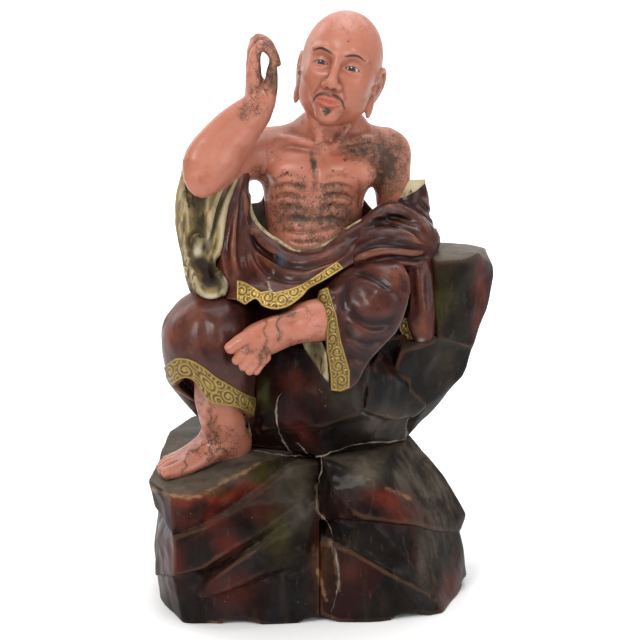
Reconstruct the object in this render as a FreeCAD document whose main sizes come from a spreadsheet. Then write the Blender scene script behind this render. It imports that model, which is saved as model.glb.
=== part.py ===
import FreeCAD, Part
import math
import os

# Carved and lacquered wood figure of a seated ascetic on a faceted rock, 401 mm tall.
# The figure is joined from carved blocks, as large carvings are: head, bare torso and arms,
# robe blocks, two leg blocks, feet, sleeves and four rock blocks. Round pins of bamboo hold
# the glued joints. All sizes are millimetres, +Z is up, the figure faces -Y, and the origin
# is the centre of the overall box on the standing plane.

os.makedirs("parts", exist_ok=True)
V = FreeCAD.Vector
doc = FreeCAD.newDocument("seated_ascetic")

# ---------------------------------------------------------------- driving dimensions
dims = doc.addObject("Spreadsheet::Sheet", "dims")
points = doc.addObject("Spreadsheet::Sheet", "points")
_rows = {"dims": 0, "points": 0}


def cell(sheet, alias, value):
    _rows[sheet.Name] += 1
    r = _rows[sheet.Name]
    sheet.set("A%d" % r, alias)
    sheet.set("B%d" % r, "%.4f" % value)
    sheet.setAlias("B%d" % r, alias)
    return alias


GENERAL = {
    "origin_shift_x": -2.95,   # from the layout frame to the centre of the overall box
    "origin_shift_y": 2.05,
    "seam_x": 1.0,             # upright glue seam between the two lower rock blocks
    "seam_z": 108.0,           # level glue seam between the lower rock and the seat rock
    "seat_z": 186.0,           # level top of the seat rock, under the robe
    "trunk_front_y": -18.0,    # upright glue plane between the trunk block and the leg blocks
    "right_leg_x": -48.0,      # glue plane between the right leg block and the lap block
    "left_leg_x": -2.0,        # glue plane at the inner side of the left leg block
    "lap_left_x": 20.0,        # glue plane at the far end of the lap block, above the left leg
    "right_shoulder_x": -34.0,
    "left_shoulder_x": 41.0,
    "big": 300.0,              # size of the cutting blocks
    "foot_notch_r": 24.0,      # shallow arches cut under the rock, so that it stands on feet
    "foot_notch_drop": 20.0,
    "pin_small_r": 2.0,
    "pin_mid_r": 3.0,
    "pin_large_r": 5.0,
}
for k, v in GENERAL.items():
    cell(dims, k, v)
SX, SY = GENERAL["origin_shift_x"], GENERAL["origin_shift_y"]


def at(x, y, z):
    return V(x + SX, y + SY, z)


# Sections of each carved form: centre x, y, z, then the two half-widths.
LOFTS = {
    "torso": ("Z", [
        (-4, 9, 230, 31, 24), (-5, 6, 246, 33, 27), (-3, 7, 262, 33.5, 26.5), (-2, 9, 276, 35, 27),
        (1, 11, 290, 40, 27), (4, 13, 302, 43, 25), (6, 14, 312, 36, 21), (8, 13, 319, 25, 19.5), (9, 12, 324, 20.5, 18.5)]),
    "neck": ("Z", [(9, 12, 324, 20.5, 18.5), (10, 9, 331, 20, 19), (12, 6, 340, 21, 22), (13, 4, 350, 21, 23)]),
    "right_ear": ("Z", [
        (-14.5, 3, 337, 1.6, 2.6), (-14, 3.5, 341, 3.4, 4.6), (-13.2, 5, 350, 4.4, 7.6), (-12, 6, 360, 4.4, 8.6), (-10.6, 6, 367, 3.2, 6), (-10, 6, 370, 1.6, 2.8)]),
    "left_ear": ("Z", [
        (41, 3, 326.5, 1.6, 2.6), (41.6, 3.5, 330.5, 3.4, 4.6), (43, 5, 340, 4.4, 7.6), (44.6, 6, 350, 4.4, 8.6), (45.6, 6, 357, 3.2, 6), (46, 6, 360, 1.6, 2.8)]),
    "right_upper_arm": ("path", [
        (-30, 13, 303, 15, 16), (-42, 9, 302, 15.5, 16), (-56, -6, 299, 14, 15), (-70, -24, 295, 13.5, 14.5), (-76, -32, 293, 12, 13)]),
    "right_forearm": ("path", [
        (-81, -43, 285.5, 8, 9), (-77.5, -40.5, 290, 14.5, 15), (-72.5, -37, 296.5, 16.8, 17.2), (-62.5, -31, 310.5, 15.6, 16), (-51, -25, 323.5, 13.8, 14.2), (-41.5, -20, 332.5, 12, 12.5), (-37.5, -18, 336.5, 11.5, 12)]),
    "right_palm": ("path", [
        (-36, -17, 331, 11, 11), (-35.5, -17, 340, 9.5, 12.5), (-37, -17, 350, 8, 14), (-40.5, -17, 360, 6, 14), (-42, -17, 366, 4.6, 13)]),
    "left_upper_arm": ("Z", [
        (46, 14, 316, 5, 6), (47, 14, 312, 12, 12.5), (47.5, 14, 303, 14, 15), (48.5, 15, 290, 13, 14), (50, 17, 275, 11, 13), (51, 19, 262, 11, 12.5), (52, 19, 250, 11, 12)]),
    "trunk": ("Z", [
        (-2, 20, 186, 62, 46), (-2, 18, 200, 65, 48), (-2, 15, 220, 63, 46), (-2, 12, 240, 57, 41), (-1, 11, 256, 51, 36), (-1, 11, 264, 47, 33)]),
    "drape": ("Z", [
        (-54, -4, 212, 16, 30), (-57, -5, 235, 12, 25), (-59, -6, 262, 9, 19), (-57, -5, 286, 7, 14), (-55, -4, 300, 4, 8)]),
    "lap": ("Y", [
        (-8, -8, 238, 62, 29), (-12, -26, 236, 56, 27), (-16, -42, 231, 50, 22), (-20, -56, 226, 43, 17), (-23, -68, 221, 34, 12), (-24, -77, 218, 22, 5)]),
    "right_barrel": ("Z", [
        (-64, -47, 138, 21, 23), (-67, -48, 152, 25, 27), (-70, -50, 168, 29, 29.5), (-71.5, -51, 186, 30.5, 30.5), (-71, -48, 203, 29, 29), (-69, -43, 216, 23, 24), (-67, -38, 224, 13, 14)]),
    "right_thigh": ("Y", [(-50, -10, 206, 32, 24), (-58, -30, 205, 31, 24), (-66, -48, 203, 26, 22)]),
    "right_shin": ("Z", [
        (-67, -50, 158, 16, 17), (-66, -48, 146, 16, 17), (-64, -41, 131, 15.5, 16.5), (-62.5, -34, 118, 14.5, 15.5), (-60, -29, 108, 13, 14), (-59, -28, 98, 12, 13)]),
    "right_foot": ("path", [
        (-51, -22, 113, 10.5, 10), (-60, -28.5, 115, 12.5, 12), (-70, -35.5, 112, 14, 11), (-80, -42, 107.5, 15.5, 8.5), (-89, -47, 104, 16.5, 7), (-95, -50.5, 102, 15.5, 5), (-98, -52.5, 101, 11, 3.5)]),
    "left_thigh": ("Y", [(38, -10, 213, 30, 26), (41, -32, 215, 27, 24), (43, -48, 217, 22, 20), (43.5, -60, 217, 16, 15), (43.5, -68, 217, 6, 6)]),
    "left_fall": ("Z", [
        (15, -66, 156, 7, 6), (18, -64, 164, 13, 10), (22, -60, 178, 19, 15), (26, -56, 196, 27, 20), (29, -52, 212, 31, 22), (33, -48, 226, 26, 19), (37, -44, 235, 16, 12)]),
    "left_foot": ("path", [
        (6, -60, 204, 12, 14), (-9, -64, 203, 12, 13.5), (-22, -68, 199, 11, 12), (-35, -74, 195, 12, 14), (-47, -79, 191, 11.5, 12.5), (-55, -82, 188, 8, 8), (-58, -83, 187, 4, 4)]),
    "sleeve_arm": ("path", [
        (75, 14, 243, 10, 8), (69, 7, 244, 20, 12), (57, -6, 244, 24, 15.5), (44, -20, 243, 22, 16), (31, -31, 240, 17, 12), (22, -37, 236, 10, 7)]),
    "sleeve_cuff": ("Z", [(60, 10, 236, 15, 19), (61, 14, 256, 15, 18), (62, 16, 272, 14, 16), (63, 17, 284, 13.5, 14)]),
    "sleeve_tail": ("Z", [(68, -16, 244, 9, 9), (68, -23, 220, 9.5, 6), (69, -27, 200, 9, 5), (69.5, -28, 188, 6, 4), (69.5, -28, 181, 3, 2.5)]),
    "right_sleeve": ("Z", [
        (-76, -18, 294, 16, 16), (-80, -20, 276, 16, 19), (-80, -24, 252, 15, 19), (-77, -30, 232, 15, 17), (-72, -38, 217, 12.5, 11), (-70.5, -40, 211, 8, 7)]),
    "right_sleeve_hollow": ("Z", [
        (-76, -38, 300, 10, 20), (-80, -40, 276, 12, 24), (-80, -44, 252, 11, 24), (-76, -50, 232, 10.5, 20), (-71.5, -54, 219, 8, 14)]),
}
# Fingers and toes: runs of points with a radius at each.
CHAINS = {
    "little_finger": [(-42.5, -7, 362, 4.2), (-43.5, -7, 374, 3.7), (-42.5, -8, 385.5, 2.8)],
    "ring_finger": [(-42, -13, 364, 4.2), (-41.5, -15, 378, 3.8), (-34, -17, 380, 3.5), (-28, -18.5, 372, 3.1)],
    "middle_finger": [(-41.5, -21, 364, 4.3), (-40.5, -23, 378, 3.9), (-32, -24, 379, 3.6), (-24.5, -24, 368.5, 3.0)],
    "index_finger": [(-40.5, -27, 362, 4.2), (-39, -29, 375, 3.8), (-31.5, -29, 376.5, 3.5), (-27.5, -28, 368, 3.0)],
    "brow": [(-1, -23, 366, 3.4), (13, -29, 364.5, 4.0), (28, -26.5, 361, 3.6)],
    "nose": [(14, -27.5, 361, 3.0), (11.2, -33, 348.5, 4.3)],
    "thumb": [(-32, -27, 343, 5.2), (-28.5, -30, 354, 4.4), (-28, -29.5, 366, 3.4)],
    "toe_1": [(-90, -57.5, 102, 5.6), (-98.5, -62.5, 101, 4.7)],
    "toe_2": [(-94, -53, 102, 4.4), (-102, -56.6, 101, 3.7)],
    "toe_3": [(-95.5, -47.6, 102.4, 4.1), (-103.6, -50.4, 101.2, 3.5)],
    "toe_4": [(-96, -42.3, 103, 3.9), (-103.4, -44.2, 102, 3.3)],
    "toe_5": [(-95, -37, 104, 3.6), (-101.6, -38, 103, 3.0)],
    "left_toe_1": [(-48, -84, 196, 5.5), (-57.5, -86, 190, 4.8)],
    "left_toe_2": [(-46, -86, 188, 4.6), (-53.5, -88, 182.5, 3.9)],
    "left_toe_3": [(-42, -86, 184, 4.3), (-48.5, -88, 178.5, 3.6)],
    "left_toe_4": [(-38, -85, 182, 4.1), (-43.5, -87, 175.5, 3.4)],
}
# Round forms: centre, half-widths along x, y, z, then a lean about the y axis in degrees.
ROUNDS = {
    "cranium": (18.5, 2, 366, 27.5, 31, 34.5, 10),
    "face_mass": (12, -4, 347, 25, 27, 27, 10),
    "lips": (10, -29.5, 338.5, 7.5, 3.6, 3.2, 10),
    "chin": (9, -25, 329.5, 9, 6.5, 6, 10),
    "knee_left": (43.5, -50, 217, 21.5, 21, 21),
}
# Corner points of each faceted boulder, in order of block.
BOULDERS = {
    "L_step": [(-112.8, -58, 94.3), (-96.3, -88, 92.7), (-85.7, -91, 92.3), (-74.0, -90, 93.7), (-59.5, -78, 98.5), (-42.3, -60, 104.6), (-32.0, -46, 106.0), (-18.9, -26, 106.4), (-103, 20, 107), (-90, 52, 108), (-50, 70, 108), (6, 70, 108), (6, -10, 108), (-109.2, -58, 74.9), (-95.3, -80, 62.7), (-77.3, -82, 69.6), (-54.8, -70, 76.0), (-31.3, -50, 89.1), (-106, 30, 66), (-50, 70, 60), (6, 70, 60)],
    "L_ledge2": [(-95.0, -84, 63.3), (-76.4, -87, 70.5), (-54.4, -80, 78.5), (-31.1, -60, 92.2), (-16.7, -45, 100.1), (6, -35, 100), (-94.9, -82, 35.0), (-78.7, -87, 40.9), (-66.1, -89, 50.6), (-49.7, -87, 60.2), (-30.8, -80, 70.3), (-11.8, -68, 80.9), (6, -50, 52), (-110.3, -40, 46.4), (-110.9, -38, 20.0), (-108, 40, 80), (-110, 40, 20), (6, 60, 100), (6, 60, 20)],
    "L_ledge3": [(-72.4, -85, 32.6), (-47.7, -88, 51.6), (-36.6, -86, 58.5), (-19.7, -78, 62.0), (-9.9, -64, 76.8), (0.1, -58, 80.4), (6, -52, 72), (-77.7, -86, 20.4), (-44.6, -89, 35.4), (-34.0, -88, 41.3), (-20.3, -82, 42.6), (-9.8, -76, 50.2), (6, -60, 30), (-100, -30, 30), (-100, 30, 10), (6, 50, 10), (6, 50, 70)],
    "L_foot": [(-107, -34, 0), (-88.5, -76, 0), (-72, -75, 0), (-38, -78, 0), (-24, -76, 0), (6, -73, 0), (-112, 10, 0), (-104, 60, 0), (-70, 84, 0), (6, 88, 0), (-113.5, -10, 30), (-112, 40, 60), (-98, -66, 36), (-66, -80, 34), (-30, -80, 34), (6, -66, 50), (-84, 76, 84), (-40, 86, 92), (6, 88, 96), (-108, 20, 84)],
    "R_top": [(2.1, -50, 108.6), (26.2, -38, 113.4), (62.7, 0, 109.5), (-4, -20, 108), (40, -20, 108), (10.0, -66, 90.6), (37.0, -68, 98.8), (53.8, -40, 94.4), (54.5, -64, 73.3), (34.3, -76, 72.4), (25.8, -75, 75.5), (88.5, 0, 77.9), (103.4, 0, 51.8), (99.0, -6, 41.4), (88.9, -26, 46.0), (64.8, -58, 63.0), (48, 44, 108), (74, 50, 82), (92, 44, 54), (96, 46, 38), (-4, 60, 108), (-4, 60, 40), (-4, -50, 64)],
    "R_mid": [(13.4, -60, 72.7), (34.6, -66, 68.4), (65.2, -50, 59.6), (98.2, -8, 42.1), (101.3, -6, 31.2), (104.1, 0, 6.4), (87.2, -42, 2.0), (80.4, -52, 9.3), (60.8, -62, 39.8), (47.3, -68, 34.2), (18.7, -68, 50.3), (95, 44, 34), (101, 44, 8), (-4, 50, 70), (-4, 50, 10), (-4, -50, 40)],
    "R_low": [(9.4, -66, 49.6), (20.0, -71, 50.6), (47.2, -72, 34.2), (80.1, -58, 10.8), (-4, -60, 52), (86, -55, 0), (76, -61.5, 0), (40, -73, 0), (20, -75, 0), (-4, -72, 0), (102, -10, 0), (104, 20, 0), (99, 60, 0), (70, 80, 0), (-4, 88, 0), (92, 60, 36), (84, 58, 58), (52, 78, 88), (-4, 88, 96)],
    "S_seat": [(-48, -40, 186), (-40, -50, 150), (-52, -20, 150), (-50, -20, 112), (-58, 40, 186), (-56, 44, 108), (66, -20, 186), (62, -36, 150), (60, -10, 108), (70, 50, 186), (62, 50, 108), (-40, 70, 186), (-36, 72, 108), (48, 72, 186), (44, 70, 108), (30, -50, 186), (20, -40, 108), (-30, -30, 108), (-20, -56, 180)],
    "S_front": [(-39.7, -46, 165.3), (-37.4, -42, 124.3), (-25.0, -56, 132.4), (-11.7, -67, 138.9), (0.7, -74, 134.7), (28.2, -72, 143.6), (33.4, -64, 173.3), (7.9, -72, 157.1), (-8.4, -60, 183.7), (-40, -20, 186), (40, -20, 186), (46, -20, 120), (-40, -20, 116), (-32.9, -50, 181.3), (17.1, -70, 158.0)],
    "S_under": [(-32.2, -34, 115.0), (-11.9, -46, 113.6), (3.4, -48, 108.7), (26.2, -38, 114.1), (62.7, 0, 109.1), (62.3, -6, 118.3), (28.4, -62, 139.5), (0.7, -66, 131.1), (-11.8, -58, 132.9), (-32.0, -40, 127.2), (-36, 20, 108), (56, 20, 108), (-36, 20, 140), (56, 20, 140), (-20, -30, 108), (40, -25, 108)],
    "S_wedge": [(33.5, -62, 172.7), (48.9, -52, 163.4), (63.0, -34, 148.4), (73.9, -18, 133.6), (65.5, -26, 129.2), (50.7, -46, 132.0), (29.5, -70, 144.4), (39.6, -50, 179.9), (40, -20, 170), (70, -6, 160), (60, 10, 120), (30, 10, 120)],
    "O_top": [(70, 60, 229), (77, 22, 239.8), (107, 26, 237.6), (76, -30, 238), (100, -30, 238), (106.5, -22, 240.8), (108, 56, 222), (115.9, 24, 235.8), (119.4, 4, 226.7), (119.2, 0, 218.5), (114.7, -2, 198.1), (108.7, -4, 179.8), (105.2, -8, 171.7), (106, 60, 200), (92, 62, 160), (80.0, -32, 185.1), (70, 60, 160), (75.8, -30, 210.6), (78.1, -32, 236.7), (93.2, -33, 238.3)],
    "O_low": [(80.1, -30, 184.6), (105.3, -6, 171.9), (101.0, -2, 163.2), (100.4, -2, 154.7), (99.1, -2, 151.2), (90.3, -2, 139.9), (74.7, -4, 124.1), (62.6, 0, 109.8), (49.3, -40, 162.4), (63.2, -28, 147.5), (74.1, -14, 133.2), (54.3, -44, 179.8), (67.7, -40, 182.2), (60, 10, 180), (60, 60, 190), (96, 56, 190), (88, 56, 140), (62, 50, 109), (50, 50, 109), (50, 0, 109)],
}
# Pins: node name, radius cell, then the two ends of each pin.
PINS = {
    "neck_pin": ("pin_large_r", [((9, 11, 300), (11, 7, 348))]),
    "right_shoulder_pin": ("pin_mid_r", [((-18, 13, 302), (-50, 7, 301))]),
    "left_shoulder_pin": ("pin_mid_r", [((24, 14, 302), (54, 14.5, 301))]),
    "elbow_pin": ("pin_mid_r", [((-56, -9, 298), (-76, -36, 294))]),
    "wrist_pin": ("pin_small_r", [((-46, -22, 325), (-37, -17.5, 346))]),
    "torso_pins": ("pin_mid_r", [((-18, 10, 216), (-18, 10, 246)), ((12, 10, 216), (12, 10, 246))]),
    "leg_pins": ("pin_mid_r", [((-60, -2, 206), (-60, -34, 206)), ((-24, -2, 220), (-24, -34, 220)), ((38, -2, 212), (38, -34, 212))]),
    "right_shin_pin": ("pin_mid_r", [((-64.5, -43, 128), (-68, -49, 176))]),
    "right_foot_pin": ("pin_small_r", [((-70, -36, 109), (-92, -50, 103))]),
    "left_foot_pin": ("pin_small_r", [((14, -58, 204), (-22, -68, 200))]),
    "right_sleeve_pins": ("pin_small_r", [((-84, -8, 262), (-56, -6, 262)), ((-80, -12, 236), (-56, -8, 236))]),
    "left_sleeve_pins": ("pin_small_r", [((52, 8, 244), (30, 10, 244)), ((40, -10, 236), (40, 10, 226))]),
    "seat_pins": ("pin_mid_r", [((-30, 24, 168), (-30, 24, 204)), ((26, 24, 168), (26, 24, 204))]),
    "outcrop_pins": ("pin_mid_r", [((50, 22, 150), (84, 22, 152)), ((50, 36, 130), (80, 36, 134))]),
    "rock_joint_pins": ("pin_large_r", [((-30, 0, 90), (-30, 0, 126)), ((36, 0, 90), (36, 0, 126)), ((0, 50, 90), (0, 50, 126))]),
    "lower_rock_pins": ("pin_large_r", [((-20, -30, 60), (22, -30, 60)), ((-20, 40, 60), (22, 40, 60))]),
}

for n, (how, rows) in LOFTS.items():
    for i, (x, y, z, a, b) in enumerate(rows):
        for tag, value in zip(("cx", "cy", "cz", "ra", "rb"), (x, y, z, a, b)):
            cell(dims, "%s_%s_%s" % (n, tag, "abcdefghijkl"[i]), value)
for n, rows in CHAINS.items():
    for i, (x, y, z, r) in enumerate(rows):
        for tag, value in zip(("px", "py", "pz", "pr"), (x, y, z, r)):
            cell(dims, "%s_%s_%s" % (n, tag, "abcdefgh"[i]), value)
for n, row in ROUNDS.items():
    for tag, value in zip(("cx", "cy", "cz", "rx", "ry", "rz", "lean"), row):
        cell(dims, "%s_%s_e" % (n, tag), value)
for n, pts in BOULDERS.items():
    for i, p in enumerate(pts):
        for tag, value in zip("xyz", p):
            cell(points, "%s_%s_%s%s" % (n, tag, "abcdefghijklmnopqrstuvwxyz"[i], "_"), value)
doc.recompute()


def size(alias):
    return float(getattr(dims, alias))


# ---------------------------------------------------------------- shape makers
def basis(normal, across=None):
    """Rotation whose z axis is normal and whose x axis is level, or along across."""
    n = V(normal).normalize()
    if across is None:
        up = V(0, 0, 1) if abs(n.z) < 0.9 else V(0, -1, 0)
        x = up.cross(n)
    else:
        x = V(across) - n * n.dot(across)
    x.normalize()
    y = n.cross(x)
    m = FreeCAD.Matrix(x.x, y.x, n.x, 0, x.y, y.y, n.y, 0, x.z, y.z, n.z, 0, 0, 0, 0, 1)
    return FreeCAD.Rotation(m)


def loft(name):
    how, rows = LOFTS[name]
    sections = []
    for i, (x, y, z, a, b) in enumerate(rows):
        if how == "Z":
            rot = basis(V(0, 0, 1), V(1, 0, 0))
        elif how == "Y":
            rot = basis(V(0, -1, 0), V(1, 0, 0))
        elif how == "X":
            rot = basis(V(1, 0, 0), V(0, 1, 0))
        else:
            p, q = rows[max(i - 1, 0)], rows[min(i + 1, len(rows) - 1)]
            rot = basis(V(q[0] - p[0], q[1] - p[1], q[2] - p[2]))
        e = doc.addObject("Part::Ellipse", "%s_section_%s" % (name, "abcdefghijkl"[i]))
        k = "abcdefghijkl"[i]
        major, minor = ("ra", "rb") if a >= b else ("rb", "ra")
        if a < b:
            rot = rot.multiply(FreeCAD.Rotation(V(0, 0, 1), 90))
        e.Placement = FreeCAD.Placement(at(x, y, z), rot)
        e.setExpression("MajorRadius", "dims.%s_%s_%s" % (name, major, k))
        e.setExpression("MinorRadius", "dims.%s_%s_%s" % (name, minor, k))
        e.setExpression("Placement.Base.x", "dims.%s_cx_%s + dims.origin_shift_x" % (name, k))
        e.setExpression("Placement.Base.y", "dims.%s_cy_%s + dims.origin_shift_y" % (name, k))
        e.setExpression("Placement.Base.z", "dims.%s_cz_%s" % (name, k))
        sections.append(e)
    o = doc.addObject("Part::Loft", name + "_form")
    o.Sections = sections
    o.Solid = True
    o.Ruled = False
    o.Closed = False
    return o


def fuse(name, *parts):
    o = doc.addObject("Part::MultiFuse", name)
    o.Shapes = list(parts)
    o.Refine = False
    return o


def cut(name, base, *tools):
    tool = tools[0] if len(tools) == 1 else fuse(name + "_tools", *tools)
    o = doc.addObject("Part::Cut", name)
    o.Base = base
    o.Tool = tool
    o.Refine = False
    return o


def chain(name):
    """A finger or toe: balls at the points, with tapered rounds between them."""
    rows = CHAINS[name]
    parts = []
    for i, (x, y, z, r) in enumerate(rows):
        k = "abcdefgh"[i]
        s = doc.addObject("Part::Sphere", "%s_ball_%s" % (name, k))
        s.Placement.Base = at(x, y, z)
        s.setExpression("Radius", "dims.%s_pr_%s" % (name, k))
        parts.append(s)
        if i:
            px, py, pz, pr = rows[i - 1]
            d = V(x - px, y - py, z - pz)
            c = doc.addObject("Part::Cone", "%s_run_%s" % (name, k))
            c.Placement = FreeCAD.Placement(at(px, py, pz), basis(d))
            c.setExpression("Radius1", "dims.%s_pr_%s * 0.96" % (name, "abcdefgh"[i - 1]))
            c.setExpression("Radius2", "dims.%s_pr_%s * 0.96" % (name, k))
            c.Height = d.Length
            parts.append(c)
    return fuse(name, *parts)


def round_form(name):
    row = ROUNDS[name]
    o = doc.addObject("Part::Ellipsoid", name + "_round")
    lean = row[6] if len(row) > 6 else 0
    o.Placement = FreeCAD.Placement(at(*row[:3]), FreeCAD.Rotation(V(0, 1, 0), lean))
    o.setExpression("Radius2", "dims.%s_rx_e" % name)
    o.setExpression("Radius3", "dims.%s_ry_e" % name)
    o.setExpression("Radius1", "dims.%s_rz_e" % name)
    return o


def block(name, low, high):
    """A cutting block between two corners."""
    o = doc.addObject("Part::Box", name)
    o.Length, o.Width, o.Height = (high[0] - low[0], high[1] - low[1], high[2] - low[2])
    o.Placement.Base = at(*low)
    return o


def slab(name, point, normal):
    """A cutting block that fills the side of a plane that its normal points to."""
    big = size("big")
    o = doc.addObject("Part::Box", name)
    o.Length, o.Width, o.Height = big, big, big
    rot = basis(normal)
    o.Placement = FreeCAD.Placement(at(*point) + rot.multVec(V(-big / 2, -big / 2, 0)), rot)
    return o


def hull(name):
    """A faceted boulder: the convex solid round its corner points."""
    letters = "abcdefghijklmnopqrstuvwxyz"
    pts = []
    for i in range(len(BOULDERS[name])):
        x, y, z = (float(getattr(points, "%s_%s_%s_" % (name, t, letters[i]))) for t in "xyz")
        pts.append(at(x, y, z))
    n = len(pts)
    faces, seen = [], []
    for i in range(n):
        for j in range(i + 1, n):
            for k in range(j + 1, n):
                normal = (pts[j] - pts[i]).cross(pts[k] - pts[i])
                if normal.Length < 1e-6:
                    continue
                normal.normalize()
                d = [normal.dot(p - pts[i]) for p in pts]
                if max(d) > 1e-4 and min(d) < -1e-4:
                    continue
                if max(d) > 1e-4:
                    normal = normal * -1
                on = frozenset(m for m in range(n) if abs(d[m]) <= 1e-4)
                if on in seen:
                    continue
                seen.append(on)
                centre = V(0, 0, 0)
                for m in on:
                    centre = centre + pts[m]
                centre = centre * (1.0 / len(on))
                x = (pts[min(on)] - centre).normalize()
                y = normal.cross(x)
                ring = sorted(on, key=lambda m: math.atan2((pts[m] - centre).dot(y), (pts[m] - centre).dot(x)))
                # a corner in the middle of an edge or face is left out of the outline
                keep = []
                for q in range(len(ring)):
                    a, b, c = pts[ring[q - 1]], pts[ring[q]], pts[ring[(q + 1) % len(ring)]]
                    if (b - a).cross(c - b).dot(normal) > 1e-5:
                        keep.append(b)
                faces.append(Part.Face(Part.makePolygon(keep + [keep[0]])))
    shell = Part.makeShell(faces)
    solid = Part.makeSolid(shell)
    if solid.Volume < 0:
        solid.reverse()
    o = doc.addObject("Part::Feature", name)
    o.Shape = solid
    return o


def pins(node):
    """Turned bamboo pins, each a padded circle in a body of its own."""
    radius, runs = PINS[node]
    bodies = []
    for i, (a, b) in enumerate(runs):
        d = V(*b) - V(*a)
        length = cell(dims, "%s_len_%s" % (node, "abcdef"[i]), d.Length)
        body = doc.addObject("PartDesign::Body", "%s_body_%s" % (node, "abcdef"[i]))
        sketch = body.newObject("Sketcher::SketchObject", "%s_circle_%s" % (node, "abcdef"[i]))
        plane = [f for f in body.Origin.OriginFeatures if f.Role == "XY_Plane"][0]
        sketch.AttachmentSupport = [(plane, "")]
        sketch.MapMode = "FlatFace"
        sketch.addGeometry(Part.Circle(V(0, 0, 0), V(0, 0, 1), size(radius)), False)
        sketch.addConstraint(Sketcher.Constraint("Coincident", 0, 3, -1, 1))
        c = sketch.addConstraint(Sketcher.Constraint("Radius", 0, size(radius)))
        sketch.setExpression("Constraints[%d]" % c, "dims.%s" % radius)
        pad = body.newObject("PartDesign::Pad", "%s_pad_%s" % (node, "abcdef"[i]))
        pad.Profile = sketch
        pad.Length = d.Length
        pad.setExpression("Length", "dims.%s" % length)
        body.Placement = FreeCAD.Placement(at(*a), basis(d))
        body.Tip = pad
        bodies.append(body)
    return bodies


import Sketcher  # noqa: E402

pin_bodies = {n: pins(n) for n in PINS}
doc.recompute()

# ---------------------------------------------------------------- raw forms
big = size("big")
B = {n: hull(n) for n in BOULDERS}
L = {n: loft(n) for n in LOFTS}
C = {n: chain(n) for n in CHAINS}
R = {n: round_form(n) for n in ROUNDS}
doc.recompute()

seam_x, seam_z, seat_z = size("seam_x"), size("seam_z"), size("seat_z")
front_y, right_x, left_x = size("trunk_front_y"), size("right_leg_x"), size("left_leg_x")

# cutting blocks
right_of_seam = block("right_of_seam", (seam_x, -big, -big), (big, big, big))
left_of_seam = block("left_of_seam", (-big, -big, -big), (seam_x, big, big))
above_seam = block("above_seam", (-big, -big, seam_z), (big, big, big))
below_seam = block("below_seam", (-big, -big, -big), (big, big, seam_z))
above_seat = block("above_seat", (-big, -big, seat_z), (big, big, big))
below_seat = block("below_seat", (-big, -big, 60), (big, big, seat_z))
front_of_trunk = block("front_of_trunk", (-big, -big, 0), (big, front_y, 260))
behind_front = block("behind_front", (-big, front_y, -big), (big, big, big))
left_of_right_leg = block("left_of_right_leg", (right_x, -big, -big), (big, big, big))
right_of_right_leg = block("right_of_right_leg", (-big, -big, -big), (right_x, big, big))
beyond_left_leg = block("beyond_left_leg", (left_x, -big, -big), (big, big, big))
before_left_leg = block("before_left_leg", (-big, -big, -big), (left_x, big, big))
beyond_lap = block("beyond_lap", (size("lap_left_x"), -big, -big), (big, big, big))
right_shoulder = block("right_shoulder", (-big, -big, 270), (size("right_shoulder_x"), big, big))
right_inner = block("right_inner", (size("right_shoulder_x"), -big, 0), (big, big, big))
left_shoulder = block("left_shoulder", (size("left_shoulder_x"), -big, 240), (big, big, big))
left_inner = block("left_inner", (-big, -big, 0), (size("left_shoulder_x"), big, big))
hem_side = slab("hem_side", (-70, -60, 152), V(-0.26, -0.12, -1))
toe_side = slab("toe_side", (-81, -43, 108), V(-0.83, -0.56, 0))
heel_side = slab("heel_side", (-81, -43, 108), V(0.83, 0.56, 0))
notches = []
for i, x in enumerate((-51.0, 0.0, 61.0)):
    c = doc.addObject("Part::Cylinder", "foot_notch_%s" % "abc"[i])
    c.setExpression("Radius", "dims.foot_notch_r")
    c.Height = 60
    c.Placement = FreeCAD.Placement(at(x, -40, -size("foot_notch_drop")), FreeCAD.Rotation(V(1, 0, 0), 90))
    notches.append(c)

# ---------------------------------------------------------------- rock blocks
rock_left = fuse("rock_left_form", B["L_step"], B["L_ledge2"], B["L_ledge3"], B["L_foot"])
rock_right = fuse("rock_right_form", B["R_top"], B["R_mid"], B["R_low"])
rock_seat = fuse("rock_seat_form", B["S_seat"], B["S_front"], B["S_under"], B["S_wedge"])
rock_outcrop = fuse("rock_outcrop_form", B["O_top"], B["O_low"])

nodes = {}


def node(name, base, *tools):
    tools = list(tools)
    for n, bodies in pin_bodies.items():
        if name in PIN_HOLDERS[n]:
            tools += bodies
    o = cut(name + "_cut", base, *tools) if tools else base
    o.Label = name
    nodes[name] = o
    return o


PIN_HOLDERS = {
    "neck_pin": ("torso", "head"),
    "right_shoulder_pin": ("torso", "right_upper_arm"),
    "left_shoulder_pin": ("torso", "left_upper_arm"),
    "elbow_pin": ("right_upper_arm", "right_forearm"),
    "wrist_pin": ("right_forearm", "right_hand"),
    "torso_pins": ("torso", "robe_trunk"),
    "leg_pins": ("robe_trunk", "right_leg", "robe_lap", "left_leg"),
    "right_shin_pin": ("right_leg", "right_shin"),
    "right_foot_pin": ("right_shin", "right_foot"),
    "left_foot_pin": ("left_leg", "left_foot"),
    "right_sleeve_pins": ("robe_trunk", "right_sleeve"),
    "left_sleeve_pins": ("robe_trunk", "left_sleeve"),
    "seat_pins": ("robe_trunk", "rock_seat"),
    "outcrop_pins": ("rock_seat", "rock_outcrop"),
    "rock_joint_pins": ("rock_seat", "rock_foot_block", "rock_right_block"),
    "lower_rock_pins": ("rock_foot_block", "rock_right_block"),
}

node("rock_foot_block", rock_left, right_of_seam, above_seam, notches[0], notches[1])
node("rock_right_block", rock_right, left_of_seam, above_seam, notches[1], notches[2])
outcrop_kept = cut("outcrop_kept", rock_outcrop, below_seam)
node("rock_seat", rock_seat, below_seam, rock_outcrop)
node("rock_outcrop", outcrop_kept)

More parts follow.
